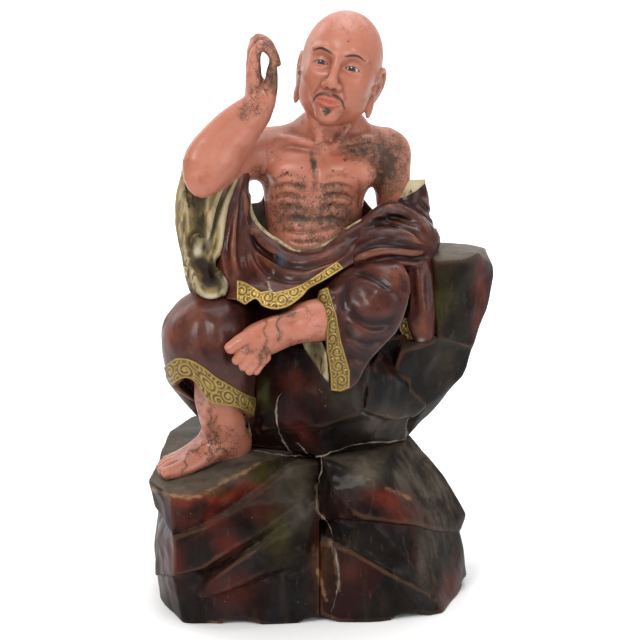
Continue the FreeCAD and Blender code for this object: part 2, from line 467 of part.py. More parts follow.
# ---------------------------------------------------------------- bare figure
arm_right = L["right_upper_arm"]
forearm = L["right_forearm"]
hand = fuse("hand_form", L["right_palm"], C["little_finger"], C["ring_finger"], C["middle_finger"], C["index_finger"], C["thumb"])
head = fuse("head_form", R["cranium"], R["face_mass"], L["right_ear"], L["left_ear"], C["brow"], C["nose"], R["lips"], R["chin"], L["neck"])
node("torso", L["torso"], right_shoulder, left_shoulder)
node("head", head)
node("right_upper_arm", arm_right, right_inner, forearm)
node("right_forearm", forearm)
node("right_hand", hand, forearm)
node("left_upper_arm", L["left_upper_arm"], left_inner)

shin = cut("shin_back", fuse("shin_whole", L["right_shin"], L["right_foot"]), toe_side)
toes = fuse("right_foot_whole", L["right_foot"], C["toe_1"], C["toe_2"], C["toe_3"], C["toe_4"], C["toe_5"])
left_foot_form = fuse("left_foot_whole", L["left_foot"], C["left_toe_1"], C["left_toe_2"], C["left_toe_3"], C["left_toe_4"])
left_foot_kept = cut("left_foot_kept", left_foot_form, beyond_left_leg)

# ---------------------------------------------------------------- robe blocks
robe_form = fuse("robe_form", cut("trunk_back", L["trunk"], front_of_trunk), L["drape"])
barrel = cut("barrel_hemmed", L["right_barrel"], hem_side)
right_leg_form = fuse("right_leg_form", barrel, cut("thigh_front", L["right_thigh"], behind_front))
node("robe_trunk", robe_form, below_seat, L["torso"], arm_right, L["left_upper_arm"], left_foot_kept, right_leg_form)
node("right_leg", right_leg_form, left_of_right_leg, left_foot_form, rock_seat)
node("right_shin", shin, barrel, rock_left)
node("right_foot", toes, heel_side, rock_left)
left_leg_form = fuse("left_leg_form", L["left_thigh"], L["left_fall"], R["knee_left"])
sleeve_form = fuse("left_sleeve_form", L["sleeve_arm"], L["sleeve_cuff"], L["sleeve_tail"])
left_leg_kept = cut("left_leg_kept", left_leg_form, before_left_leg)
node("robe_lap", L["lap"], behind_front, right_of_right_leg, beyond_lap, L["torso"], left_foot_form, right_leg_form, L["drape"], left_leg_kept, sleeve_form)
node("left_leg", left_leg_kept, behind_front, sleeve_form, rock_seat, rock_outcrop, L["torso"])
node("left_foot", left_foot_kept, rock_seat)
node("left_sleeve", sleeve_form, L["left_upper_arm"], L["trunk"], L["torso"], rock_outcrop)
node("right_sleeve", L["right_sleeve"], L["right_sleeve_hollow"], forearm, arm_right, right_leg_form, L["drape"])
doc.recompute()

# ---------------------------------------------------------------- checks and export
for o in doc.Objects:
    bad = [s for s in o.State if s in ("Invalid", "Error")]
    if bad:
        raise RuntimeError("%s (%s) is %s" % (o.Name, o.Label, bad))


def solids_of(shape):
    """The solids, without crumbs that a cut leaves behind."""
    kept = [s for s in shape.Solids if s.Volume > 40]
    return kept


summary = {}
for name, o in nodes.items():
    shape = o.Shape
    if shape.isNull() or not shape.isValid():
        raise RuntimeError("%s has no valid shape" % name)
    kept = solids_of(shape)
    kept.sort(key=lambda s: -s.Volume)
    if len(kept) > 1:
        print("note: %s has solids of %s mm3" % (name, [round(s.Volume) for s in kept]))
    out = kept[0]
    summary[name] = out
for name, bodies in pin_bodies.items():
    shapes = [b.Shape for b in bodies]
    for s in shapes:
        if s.isNull() or not s.isValid():
            raise RuntimeError("%s has no valid shape" % name)
    summary[name] = shapes[0] if len(shapes) == 1 else Part.makeCompound(shapes)

low, high = V(1e9, 1e9, 1e9), V(-1e9, -1e9, -1e9)
for name, shape in sorted(summary.items()):
    shape.exportStep("parts/%s.step" % name)
    bb = shape.BoundBox
    low = V(min(low.x, bb.XMin), min(low.y, bb.YMin), min(low.z, bb.ZMin))
    high = V(max(high.x, bb.XMax), max(high.y, bb.YMax), max(high.z, bb.ZMax))
    print("%-20s volume %10.1f  box %7.1f %7.1f %7.1f  %7.1f %7.1f %7.1f" % (name, shape.Volume, bb.XMin, bb.YMin, bb.ZMin, bb.XMax, bb.YMax, bb.ZMax))
print("overall", [round(v, 2) for v in (low.x, low.y, low.z, high.x, high.y, high.z)])
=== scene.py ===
import math
import bpy
import numpy as np
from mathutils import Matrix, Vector


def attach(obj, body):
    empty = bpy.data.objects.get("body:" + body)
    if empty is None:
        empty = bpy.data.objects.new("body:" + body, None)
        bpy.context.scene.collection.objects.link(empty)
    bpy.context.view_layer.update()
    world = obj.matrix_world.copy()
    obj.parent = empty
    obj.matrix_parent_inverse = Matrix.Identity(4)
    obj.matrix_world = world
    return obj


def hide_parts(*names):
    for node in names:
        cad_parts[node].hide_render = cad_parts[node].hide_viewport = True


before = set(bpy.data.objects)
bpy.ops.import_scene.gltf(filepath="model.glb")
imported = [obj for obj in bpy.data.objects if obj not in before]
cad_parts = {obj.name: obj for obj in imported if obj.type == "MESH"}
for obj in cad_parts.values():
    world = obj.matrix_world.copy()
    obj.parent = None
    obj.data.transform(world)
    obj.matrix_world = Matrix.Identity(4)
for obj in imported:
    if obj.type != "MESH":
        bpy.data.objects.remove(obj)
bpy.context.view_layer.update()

# Carved and lacquered figure of a seated ascetic on a faceted rock, about 400 mm tall.
# Every carved form is a distance field in millimetres, meshed on a grid, so that the
# forms flow into each other as they do in a carving. The layout has its origin near the
# middle of the base; the row frame is SHIFT away from it.
DETAIL = 0.8
SHIFT = np.array([-2.95, 2.05, 0.0])
F4 = np.float32

# ------------------------------------------------------------------ viewing numbers
PITCH = math.radians(13.0)
DIST = 1500.0
FOC = DIST / 0.68
CAM = np.array([1.4, -DIST * math.cos(PITCH), 190.0 + DIST * math.sin(PITCH)])
FWD = np.array([0.0, math.cos(PITCH), -math.sin(PITCH)])
UPV = np.array([0.0, math.sin(PITCH), math.cos(PITCH)])


def to_px(P):
    x, y, z = P[0] - CAM[0], P[1] - CAM[1], P[2] - CAM[2]
    dep = y * FWD[1] + z * FWD[2]
    return 320 + FOC * x / dep, 320 - FOC * (y * UPV[1] + z * UPV[2]) / dep


def at_depth(px, py, Y):
    a, b = (px - 320) / FOC, (320 - py) / FOC
    d = np.array([a, FWD[1] + b * UPV[1], FWD[2] + b * UPV[2]])
    t = (Y - CAM[1]) / d[1]
    return CAM + d * t


# ------------------------------------------------------------------ field tools
def smin(a, b, k):
    if k <= 0:
        return np.minimum(a, b)
    h = np.maximum(k - np.abs(a - b), 0) * (1.0 / k)
    return np.minimum(a, b) - h * h * (k * 0.25)


def smax(a, b, k):
    return -smin(-a, -b, k)


def spline(pts, n):
    """Catmull-Rom through the rows of pts, n rows between each pair."""
    p = np.asarray(pts, float)
    if len(p) < 3:
        t = np.linspace(0, 1, n + 1)[:, None]
        return p[0] + (p[-1] - p[0]) * t
    q = np.vstack([2 * p[0] - p[1], p, 2 * p[-1] - p[-2]])
    out = []
    for i in range(1, len(q) - 2):
        t = np.linspace(0, 1, n, endpoint=False)[:, None]
        a, b, c, d = q[i - 1], q[i], q[i + 1], q[i + 2]
        out.append(0.5 * (2 * b + (c - a) * t + (2 * a - 5 * b + 4 * c - d) * t * t + (3 * b - a - 3 * c + d) * t ** 3))
    out.append(p[-1:])
    return np.vstack(out)


class Prim:
    """A distance function with the box that holds its negative side."""

    def __init__(self, f, lo, hi):
        self.f, self.lo, self.hi = f, np.asarray(lo, float), np.asarray(hi, float)


def loft_axis(rows, axis=2, cap=4.0):
    """Elliptic sections across the z axis (axis 2) or the y axis (axis 1)."""
    r = np.asarray(rows, float)
    key = r[:, axis]
    if key[0] > key[-1]:
        r = r[::-1]
        key = r[:, axis]
    m = 260
    s = np.linspace(key[0], key[-1], m)
    dense = spline(r, 12)
    cols = [np.interp(s, dense[:, axis], dense[:, j]).astype(F4) for j in range(5)]
    other = 1 if axis == 2 else 2
    k0, k1 = float(key[0]), float(key[-1])
    step = (m - 1) / (k1 - k0)
    ca, cb = cols[0], cols[other]
    ra, rb = np.maximum(cols[3], 0.6), np.maximum(cols[4], 0.6)

    def f(P):
        w = P[axis]
        u = np.clip((w - k0) * step, 0, m - 1.001)
        i = u.astype(np.int32)
        t = (u - i).astype(F4)
        a = ra[i] * (1 - t) + ra[i + 1] * t
        b = rb[i] * (1 - t) + rb[i + 1] * t
        dx = P[0] - (ca[i] * (1 - t) + ca[i + 1] * t)
        dy = P[other] - (cb[i] * (1 - t) + cb[i + 1] * t)
        e0 = np.sqrt((dx / a) ** 2 + (dy / b) ** 2)
        e1 = np.sqrt((dx / (a * a)) ** 2 + (dy / (b * b)) ** 2) + 1e-6
        d = e0 * (e0 - 1) / e1
        return smax(d, np.maximum(k0 - w, w - k1), cap)

    big = np.array([ra.max(), rb.max()])
    lo, hi = np.zeros(3), np.zeros(3)
    lo[0], hi[0] = ca.min() - big[0], ca.max() + big[0]
    lo[other], hi[other] = cb.min() - big[1], cb.max() + big[1]
    lo[axis], hi[axis] = k0, k1
    return Prim(f, lo, hi)


def loft_path(rows, cap=4.0):
    """Elliptic sections square to a path."""
    r = np.asarray(rows, float)
    length = np.sum(np.linalg.norm(np.diff(r[:, :3], axis=0), axis=1))
    n = max(4, int(length / 1.3 / (len(r) - 1)))
    d = spline(r, n)
    C = d[:, :3]
    Tn = np.gradient(C, axis=0)
    Tn /= np.linalg.norm(Tn, axis=1)[:, None]
    X = np.cross(np.array([0, 0, 1.0]), Tn)
    bad = np.linalg.norm(X, axis=1) < 0.3
    X[bad] = np.cross(np.array([0, -1.0, 0]), Tn[bad])
    X /= np.linalg.norm(X, axis=1)[:, None]
    Y = np.cross(Tn, X)
    ra, rb = np.maximum(d[:, 3], 0.6), np.maximum(d[:, 4], 0.6)
    da = np.gradient(ra) / np.maximum(np.linalg.norm(np.gradient(C, axis=0), axis=1), 1e-6)
    db = np.gradient(rb) / np.maximum(np.linalg.norm(np.gradient(C, axis=0), axis=1), 1e-6)
    C, Tn, X, Y, ra, rb, da, db = (v.astype(F4) for v in (C, Tn, X, Y, ra, rb, da, db))
    cc = (C ** 2).sum(1)
    last = len(C) - 1

    def f(P):
        Q = np.stack(P) if not isinstance(P, np.ndarray) else P
        Q = Q.astype(F4)
        i = np.argmin(cc[:, None] - 2 * (C @ Q), axis=0)
        v = Q - C[i].T
        s = (v * Tn[i].T).sum(0)
        lx = (v * X[i].T).sum(0)
        ly = (v * Y[i].T).sum(0)
        sc = np.clip(s, -1, 1)
        a = np.maximum(ra[i] + da[i] * sc, 0.4)
        b = np.maximum(rb[i] + db[i] * sc, 0.4)
        e0 = np.sqrt((lx / a) ** 2 + (ly / b) ** 2)
        e1 = np.sqrt((lx / (a * a)) ** 2 + (ly / (b * b)) ** 2) + 1e-6
        d = e0 * (e0 - 1) / e1
        end = np.where(i == 0, -s, np.where(i == last, s, -np.maximum(np.minimum(i, last - i), 1).astype(F4) * 0.8))
        return smax(d, end, cap)

    R = np.maximum(ra, rb)[:, None]
    return Prim(f, (C - R).min(0), (C + R).max(0))


def tube(pts, r=None, dense=0):
    """Balls along a line with tapered rounds between. pts rows are x, y, z, radius."""
    p = np.asarray(pts, float)
    if r is not None:
        p = np.hstack([p[:, :3], np.full((len(p), 1), float(r))])
    if dense:
        p = spline(p, dense)
    p = p.astype(F4)

    def f(P):
        best = None
        for i in range(len(p) - 1):
            ab = p[i + 1, :3] - p[i, :3]
            L = float(ab @ ab) + 1e-9
            x, y, z = P[0] - p[i, 0], P[1] - p[i, 1], P[2] - p[i, 2]
            h = np.clip((x * ab[0] + y * ab[1] + z * ab[2]) / L, 0, 1)
            d = np.sqrt((x - ab[0] * h) ** 2 + (y - ab[1] * h) ** 2 + (z - ab[2] * h) ** 2) - (p[i, 3] + (p[i + 1, 3] - p[i, 3]) * h)
            best = d if best is None else np.minimum(best, d)
        return best

    R = p[:, 3:4]
    return Prim(f, (p[:, :3] - R).min(0), (p[:, :3] + R).max(0))


def ball(c, r, axes=None):
    """An ellipsoid; axes is a 3 x 3 with its axes as rows."""
    c = np.asarray(c, float)
    r = np.asarray([r] * 3 if np.isscalar(r) else r, float)
    A = np.eye(3) if axes is None else np.asarray(axes, float)

    def f(P):
        v = [P[i] - c[i] for i in range(3)]
        q = [v[0] * A[j, 0] + v[1] * A[j, 1] + v[2] * A[j, 2] for j in range(3)]
        e0 = np.sqrt(sum((q[j] / r[j]) ** 2 for j in range(3)))
        e1 = np.sqrt(sum((q[j] / r[j] ** 2) ** 2 for j in range(3))) + 1e-6
        return e0 * (e0 - 1) / e1

    R = float(r.max())
    ext = np.sqrt(((A * r[:, None]) ** 2).sum(0))
    return Prim(f, c - ext, c + ext)


def hull_planes(pts):
    p = np.asarray(pts, float)
    n = len(p)
    I, J, K = np.array([(i, j, k) for i in range(n) for j in range(i + 1, n) for k in range(j + 1, n)]).T
    N = np.cross(p[J] - p[I], p[K] - p[I])
    L = np.linalg.norm(N, axis=1)
    ok = L > 1e-6
    N, I = N[ok] / L[ok][:, None], I[ok]
    D = N @ p.T - (N * p[I]).sum(1)[:, None]
    hi, lo = D.max(1), D.min(1)
    keep = (hi <= 1e-4) | (lo >= -1e-4)
    N, I, hi = N[keep], I[keep], hi[keep]
    N = np.where(hi[:, None] > 1e-4, -N, N)
    W = (N * p[I]).sum(1)
    key = np.round(np.hstack([N, W[:, None] * 0.01]), 3)
    _, first = np.unique(key, axis=0, return_index=True)
    return N[first], W[first]


def hull(pts, rnd=0.0):
    p = np.asarray(pts, float)
    N, W = hull_planes(p)
    N4, W4 = N.astype(F4), W.astype(F4)

    def f(P):
        Q = (np.stack(P) if not isinstance(P, np.ndarray) else P).astype(F4)
        D = N4 @ Q - W4[:, None]
        if rnd <= 0:
            return D.max(0)
        m = D.max(0)
        return m + rnd * np.log(np.exp((D - m) / rnd).sum(0))

    return Prim(f, p.min(0), p.max(0))


def wave(P, seed, size, amp):
    """Slow uneven surface left by hand work."""
    rng = np.random.RandomState(seed)
    out = 0
    for i in range(5):
        k = rng.normal(size=3)
        k = k / np.linalg.norm(k) * (2 * math.pi / (size * rng.uniform(0.7, 1.5)))
        out = out + np.sin(P[0] * F4(k[0]) + P[1] * F4(k[1]) + P[2] * F4(k[2]) + F4(rng.uniform(0, 6.28)))
    return out * (amp / 2.2)


class Field:
    def __init__(self):
        self.ops = []

    def add(self, prim, k=0.0):
        self.ops.append(("add", prim, k))
        return self

    def sub(self, prim, k=0.0):
        self.ops.append(("sub", prim, k))
        return self

    def keep(self, g, k=0.0):
        """Keeps what is on the negative side of g."""
        self.ops.append(("keep", g, k))
        return self

    def change(self, g):
        self.ops.append(("change", g, 0))
        return self

    def line(self, pts, amp, width, fade=True, sharp=False):
        """Raises (or sinks, with a negative amp) the surface along a line of points in space."""
        p = np.asarray(pts, float)
        n = len(p)
        w = np.full(n, float(width)) if np.isscalar(width) else np.interp(np.linspace(0, 1, n), np.linspace(0, 1, len(width)), width)
        a = np.full(n, float(amp)) if np.isscalar(amp) else np.interp(np.linspace(0, 1, n), np.linspace(0, 1, len(amp)), amp)
        if fade:
            s = np.linspace(0, 1, n)
            e = np.clip(np.minimum(s, 1 - s) / 0.22, 0, 1)
            e = e * e * (3 - 2 * e)
            a = a * e
            w = w * (0.55 + 0.45 * e)
        self.ops.append(("line", (p.astype(F4), w.astype(F4), a.astype(F4), sharp, p.min(0) - w.max(), p.max(0) + w.max()), 0))
        return self

    def __call__(self, P, lo=None, hi=None):
        if lo is None:
            lo = np.array([P[i].min() for i in range(3)])
            hi = np.array([P[i].max() for i in range(3)])
        d = np.full(P[0].shape, 60.0, F4)
        for kind, q, k in self.ops:
            if kind == "add":
                m = k + 8.0
                gap = np.maximum(np.maximum(q.lo - hi, lo - q.hi), 0)
                g = float(np.sqrt((gap ** 2).sum()))
                if g > m:
                    d = np.minimum(d, F4(g))
                    continue
                d = smin(d, q.f(P), k)
            elif kind == "sub":
                m = k + 3.0
                if np.any(q.lo - hi > m) or np.any(lo - q.hi > m):
                    continue
                d = smax(d, -q.f(P), k)
            elif kind == "keep":
                d = smax(d, q(P), k)
            elif kind == "change":
                d = q(P, d)
            elif kind == "line":
                p, w, a, sharp, blo, bhi = q
                if np.any(blo > hi) or np.any(lo > bhi):
                    continue
                bq = np.full(P[0].shape, 1.0, F4)
                ba = np.zeros(P[0].shape, F4)
                for i in range(len(p) - 1):
                    wm = max(w[i], w[i + 1])
                    if np.any(np.minimum(p[i], p[i + 1]) - wm > hi) or np.any(lo > np.maximum(p[i], p[i + 1]) + wm):
                        continue
                    ab = p[i + 1] - p[i]
                    L = float(ab @ ab) + 1e-9
                    x, y, z = P[0] - p[i, 0], P[1] - p[i, 1], P[2] - p[i, 2]
                    h = np.clip((x * ab[0] + y * ab[1] + z * ab[2]) / L, 0, 1)
                    dist = np.sqrt((x - ab[0] * h) ** 2 + (y - ab[1] * h) ** 2 + (z - ab[2] * h) ** 2)
                    qq = dist / (w[i] + (w[i + 1] - w[i]) * h)
                    up = qq < bq
                    bq = np.where(up, qq, bq)
                    ba = np.where(up, a[i] + (a[i + 1] - a[i]) * h, ba)
                if sharp:
                    d = d - ba * (1 - bq) ** 2 * (1 + 0.6 * bq)
                else:
                    d = d - ba * (1 - bq * bq) ** 2
        return d


def cast(F, pts, start=1380.0):
    """Points of the surface of F behind these picture points (nearest pass where the line misses)."""
    p = np.asarray(pts, float)
    a, b = (p[:, 0] - 320) / FOC, (320 - p[:, 1]) / FOC
    d = np.stack([a, FWD[1] + b * UPV[1], FWD[2] + b * UPV[2]])
    d /= np.linalg.norm(d, axis=0)
    t = np.full(len(p), start)
    bt, bv = t.copy(), np.full(len(p), 1e9)
    for i in range(110):
        P = CAM[:, None] + d * t
        v = F(P.astype(F4)).astype(float)
        up = np.abs(v) < bv
        bt, bv = np.where(up, t, bt), np.where(up, np.abs(v), bv)
        t = t + np.clip(v * 0.75, -3, 10)
    return (CAM[:, None] + d * bt).T


def cast_dir(F, pts, direction):
    """The same from any side: pts in space, moved along direction to the surface."""
    p = np.asarray(pts, float).T
    d = np.asarray(direction, float)[:, None]
    d = d / np.linalg.norm(d)
    t = np.zeros(p.shape[1])
    bt, bv = t.copy(), np.full(p.shape[1], 1e9)
    for i in range(90):
        P = p + d * t
        v = F(P.astype(F4)).astype(float)
        up = np.abs(v) < bv
        bt, bv = np.where(up, t, bt), np.where(up, np.abs(v), bv)
        t = t + np.clip(v * 0.75, -3, 10)
    return (p + d * bt).T


def px_poly(poly, smooth=0):
    """Signed distance in mm, across the picture plane, to a closed outline of picture points."""
    v = np.asarray(poly, float)
    if smooth:
        v = spline(np.vstack([v, v[:1]]), smooth)[:-1]
    n = len(v)

    def f(P):
        px, py = to_px(P)
        d = None
        s = np.ones(px.shape)
        for i in range(n):
            j = i - 1
            ex, ey = v[j, 0] - v[i, 0], v[j, 1] - v[i, 1]
            wx, wy = px - v[i, 0], py - v[i, 1]
            h = np.clip((wx * ex + wy * ey) / (ex * ex + ey * ey + 1e-9), 0, 1)
            dd = (wx - ex * h) ** 2 + (wy - ey * h) ** 2
            d = dd if d is None else np.minimum(d, dd)
            c1, c2, c3 = py >= v[i, 1], py < v[j, 1], ex * wy > ey * wx
            s = np.where((c1 & c2 & c3) | (~c1 & ~c2 & ~c3), -s, s)
        return (s * np.sqrt(d) * 0.68).astype(F4)

    return f


def px_near(P, pts, spread=1.0):
    """Distance in mm across the picture plane to an open line of picture points, and how far along it is (0..1)."""
    v = np.asarray(pts, float)
    px, py = to_px(P)
    best = np.full(px.shape, 1e9)
    along = np.zeros(px.shape)
    side = np.zeros(px.shape)
    cum = np.concatenate([[0], np.cumsum(np.linalg.norm(np.diff(v, axis=0), axis=1))])
    for i in range(len(v) - 1):
        ex, ey = v[i + 1] - v[i]
        wx, wy = px - v[i, 0], py - v[i, 1]
        L = ex * ex + ey * ey + 1e-9
        h = np.clip((wx * ex + wy * ey) / L, 0, 1)
        dd = (wx - ex * h) ** 2 + (wy - ey * h) ** 2
        up = dd < best
        best = np.where(up, dd, best)
        along = np.where(up, cum[i] + h * math.sqrt(L), along)
        side = np.where(up, np.sign(ex * wy - ey * wx), side)
    return np.sqrt(best) * 0.68, along * 0.68, side


# ------------------------------------------------------------------ meshing
def field_mesh(F, lo, hi, h):
    """Surface nets on a grid that is only filled near the surface. Gives points, quads and a sampler."""
    h = h / DETAIL
    lo = np.asarray(lo, float) - 2.5 * h
    hi = np.asarray(hi, float) + 2.5 * h
    nb = np.ceil((hi - lo) / (16 * h)).astype(int)
    nb += nb % 2
    n = nb * 16
    big = np.full(tuple(n), 9.0, F4)
    # coarse pass, a value at every fourth grid point
    cs = n // 4 + 1
    coarse = np.empty(tuple(cs), F4)
    for bi in range(0, n[0], 32):
        for bj in range(0, n[1], 32):
            for bk in range(0, n[2], 32):
                ax = [lo[q] + h * np.arange(b, min(b + 32, n[q]) + 1, 4) for q, b in enumerate((bi, bj, bk))]
                X, Y, Z = np.meshgrid(*ax, indexing="ij")
                P = np.stack([X.ravel(), Y.ravel(), Z.ravel()]).astype(F4)
                v = F(P, P.min(1), P.max(1)).reshape(X.shape)
                coarse[bi // 4:bi // 4 + v.shape[0], bj // 4:bj // 4 + v.shape[1], bk // 4:bk // 4 + v.shape[2]] = v
    near = np.abs(coarse) < 4 * h * 1.5
    sign = coarse < 0
    ones = np.arange(16)
    for bi in range(nb[0]):
        for bj in range(nb[1]):
            for bk in range(nb[2]):
                s = (slice(bi * 4, bi * 4 + 5), slice(bj * 4, bj * 4 + 5), slice(bk * 4, bk * 4 + 5))
                sg = sign[s]
                box = (slice(bi * 16, bi * 16 + 16), slice(bj * 16, bj * 16 + 16), slice(bk * 16, bk * 16 + 16))
                if not near[s].any() and (sg.all() or not sg.any()):
                    big[box] = -9.0 if sg[2, 2, 2] else 9.0
                    continue
                ax = [(lo[q] + h * (b * 16 + ones)).astype(F4) for q, b in enumerate((bi, bj, bk))]
                P = np.empty((3, 4096), F4)
                P[0] = np.repeat(ax[0], 256)
                P[1] = np.tile(np.repeat(ax[1], 16), 16)
                P[2] = np.tile(ax[2], 256)
                big[box] = F(P, P.min(1), P.max(1)).reshape(16, 16, 16)
    S = big < 0
    cnt = np.zeros(tuple(n - 1), np.int8)
    for dx in (0, 1):
        for dy in (0, 1):
            for dz in (0, 1):
                cnt += S[dx:n[0] - 1 + dx, dy:n[1] - 1 + dy, dz:n[2] - 1 + dz]
    cells = np.argwhere((cnt > 0) & (cnt < 8))
    if not len(cells):
        return np.zeros((0, 3)), np.zeros((0, 4), int), None
    corner = [(a, b, c) for a in (0, 1) for b in (0, 1) for c in (0, 1)]
    val = np.stack([big[cells[:, 0] + a, cells[:, 1] + b, cells[:, 2] + c] for a, b, c in corner], 1)
    acc = np.zeros((len(cells), 3))
    num = np.zeros(len(cells))
    for i in range(8):
        for j in range(i + 1, 8):
            ci, cj = np.array(corner[i]), np.array(corner[j])
            if np.abs(ci - cj).sum() != 1:
                continue
            a, b = val[:, i], val[:, j]
            m = (a < 0) != (b < 0)
            t = (a[m] / (a[m] - b[m]))[:, None]
            acc[m] += ci + (cj - ci) * t
            num[m] += 1
    loc = cells + acc / num[:, None]
    index = np.full(tuple(n - 1), -1, np.int32)
    index[cells[:, 0], cells[:, 1], cells[:, 2]] = np.arange(len(cells))
    quads = []
    for ax in range(3):
        u, v = (ax + 1) % 3, (ax + 2) % 3
        s0 = [slice(0, n[q] - 1) for q in range(3)]
        s1 = list(s0)
        s1[ax] = slice(1, n[ax])
        A, Bq = S[tuple(s0)], S[tuple(s1)]
        e = np.argwhere(A != Bq)
        e = e[(e[:, u] > 0) & (e[:, v] > 0)]
        du, dv = np.zeros(3, int), np.zeros(3, int)
        du[u], dv[v] = 1, 1
        q0 = index[tuple((e - du - dv).T)]
        q1 = index[tuple((e - dv).T)]
        q2 = index[tuple(e.T)]
        q3 = index[tuple((e - du).T)]
        inside = S[tuple(e.T)]
        q = np.stack([q0, q1, q2, q3], 1)
        q[~inside] = q[~inside][:, ::-1]
        quads.append(q)
    quads = np.vstack(quads)
    quads = quads[(quads >= 0).all(1)]

    def sample(G):
        """Value of the field at grid positions G (rows)."""
        g = np.clip(G, 0, n - 1.001)
        i = g.astype(int)
        t = g - i
        out = 0
        for a, b, c in corner:
            w = (t[:, 0] if a else 1 - t[:, 0]) * (t[:, 1] if b else 1 - t[:, 1]) * (t[:, 2] if c else 1 - t[:, 2])
            out = out + w * big[i[:, 0] + a, i[:, 1] + b, i[:, 2] + c]
        return out

    E = np.eye(3)
    for rep in range(2):
        g = np.stack([sample(loc + E[q] * 0.8) - sample(loc - E[q] * 0.8) for q in range(3)], 1) / (1.6 * h)
        gg = (g ** 2).sum(1) + 1e-6
        move = -sample(loc)[:, None] * g / gg[:, None] / h
        move = np.clip(move, -0.5, 0.5)
        move[gg < 0.09] = 0
        loc = loc + move
    g = np.stack([sample(loc + E[q]) - sample(loc - E[q]) for q in range(3)], 1)
    nrm = g / (np.linalg.norm(g, axis=1)[:, None] + 1e-9)

    def bend(size):
        """Above 0 on ridges and below 0 in hollows, at this scale in mm."""
        s = min(size / h, 5.0)
        v = 0
        for q in E:
            v = v + np.clip(sample(loc + q * s), -s * h, s * h) + np.clip(sample(loc - q * s), -s * h, s * h)
        return v / 6 / (s * h)

    return loc * h + lo, quads, (bend, nrm)


def largest(co, quads, least=60):
    """Leaves out loose crumbs."""
    n = len(co)
    lab = np.arange(n)
    a = np.concatenate([quads[:, 0], quads[:, 1], quads[:, 2], quads[:, 3]])
    b = np.concatenate([quads[:, 1], quads[:, 2], quads[:, 3], quads[:, 0]])
    for it in range(400):
        old = lab.copy()
        np.minimum.at(lab, a, lab[b])
        np.minimum.at(lab, b, lab[a])
        lab = lab[lab]
        if (lab == old).all():
            break
    cnt = np.bincount(lab, minlength=n)
    good = cnt[lab] >= least
    return good


PIECES = []


def make(name, F, lo, hi, h, mat, node_names=(), attrs=None, crumbs=True):
    lo, hi = np.asarray(lo, float), np.asarray(hi, float)
    co, quads, extra = field_mesh(F, lo, hi, h)
    if not len(co):
        raise RuntimeError("%s is empty" % name)
    bend, nrm = extra
    values = {"edge": bend(3 * h / DETAIL), "fold": bend(5 * h / DETAIL)}
    P = co.T.astype(F4)
    if attrs is not None:
        values.update(attrs(P, nrm.T))
    if crumbs:
        good = largest(co, quads)
        if not good.all():
            keepq = good[quads].all(1)
            quads = quads[keepq]
            new = np.cumsum(good) - 1
            co, nrm = co[good], nrm[good]
            values = {k: v[good] for k, v in values.items()}
            quads = new[quads]
    me = bpy.data.meshes.new(name)
    w = (co + SHIFT) * 0.001
    me.vertices.add(len(w))
    me.vertices.foreach_set("co", w.astype(F4).ravel())
    me.loops.add(4 * len(quads))
    me.loops.foreach_set("vertex_index", quads.astype(np.int32).ravel())
    me.polygons.add(len(quads))
    me.polygons.foreach_set("loop_start", np.arange(len(quads), dtype=np.int32) * 4)
    me.update(calc_edges=True)
    me.validate()
    me.shade_smooth()
    for k, v in values.items():
        at = me.attributes.new(k, "FLOAT", "POINT")
        at.data.foreach_set("value", np.ascontiguousarray(v, dtype=F4))
    ob = bpy.data.objects.new(name, me)
    bpy.context.scene.collection.objects.link(ob)
    me.materials.append(mat)
    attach(ob, "root")
    for nd in node_names:
        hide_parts(nd)
    PIECES.append(ob)
    print("%-26s %7d quads  %s %s" % (name, len(quads), np.round(co.min(0) + SHIFT, 1), np.round(co.max(0) + SHIFT, 1)))
    return ob


def spots(P, rows):
    """Sum of soft round patches; rows are x, y, z, radius, strength."""
    out = np.zeros(P[0].shape, F4)
    for x, y, z, r, s in rows:
        out += s * np.exp(-(((P[0] - x) ** 2 + (P[1] - y) ** 2 + (P[2] - z) ** 2) / (r * r)))
    return out


def px_spots(P, rows):
    """The same on the picture plane; rows are px, py, half-width, half-height, strength."""
    px, py = to_px(P)
    out = np.zeros(px.shape)
    for x, y, a, b, s in rows:
        out += s * np.exp(-(((px - x) / a) ** 2 + ((py - y) / b) ** 2))
    return out


def side_of(point, normal):
    n = np.asarray(normal, float)
    n = n / np.linalg.norm(n)
    c = float(n @ np.asarray(point, float))
    return lambda P: (P[0] * F4(n[0]) + P[1] * F4(n[1]) + P[2] * F4(n[2]) - F4(c))


def owned(F, g, cut_k=0.0):
    """The part of a shared form on the negative side of g, cut square."""
    def f(P, lo=None, hi=None):
        return smax(F(P, lo, hi), g(P), cut_k)
    return f


def under(F, g, deep=5.0, sink=0.45):
    """The part of a shared form on the negative side of g, with a tongue that runs on under its neighbour."""
    def f(P, lo=None, hi=None):
        q = g(P)
        return np.maximum(F(P, lo, hi) + sink * np.clip(q, 0, 1), q - deep)
    return f


def box_of(*prims):
    return np.min([p.lo for p in prims], 0), np.max([p.hi for p in prims], 0)

# ------------------------------------------------------------------ material tools
def new_material(name):
    m = bpy.data.materials.new(name)
    m.use_nodes = True
    nt = m.node_tree
    for n in list(nt.nodes):
        nt.nodes.remove(n)
    out = nt.nodes.new("ShaderNodeOutputMaterial")
    sh = nt.nodes.new("ShaderNodeBsdfPrincipled")
    nt.links.new(sh.outputs[0], out.inputs[0])
    return m, nt, sh


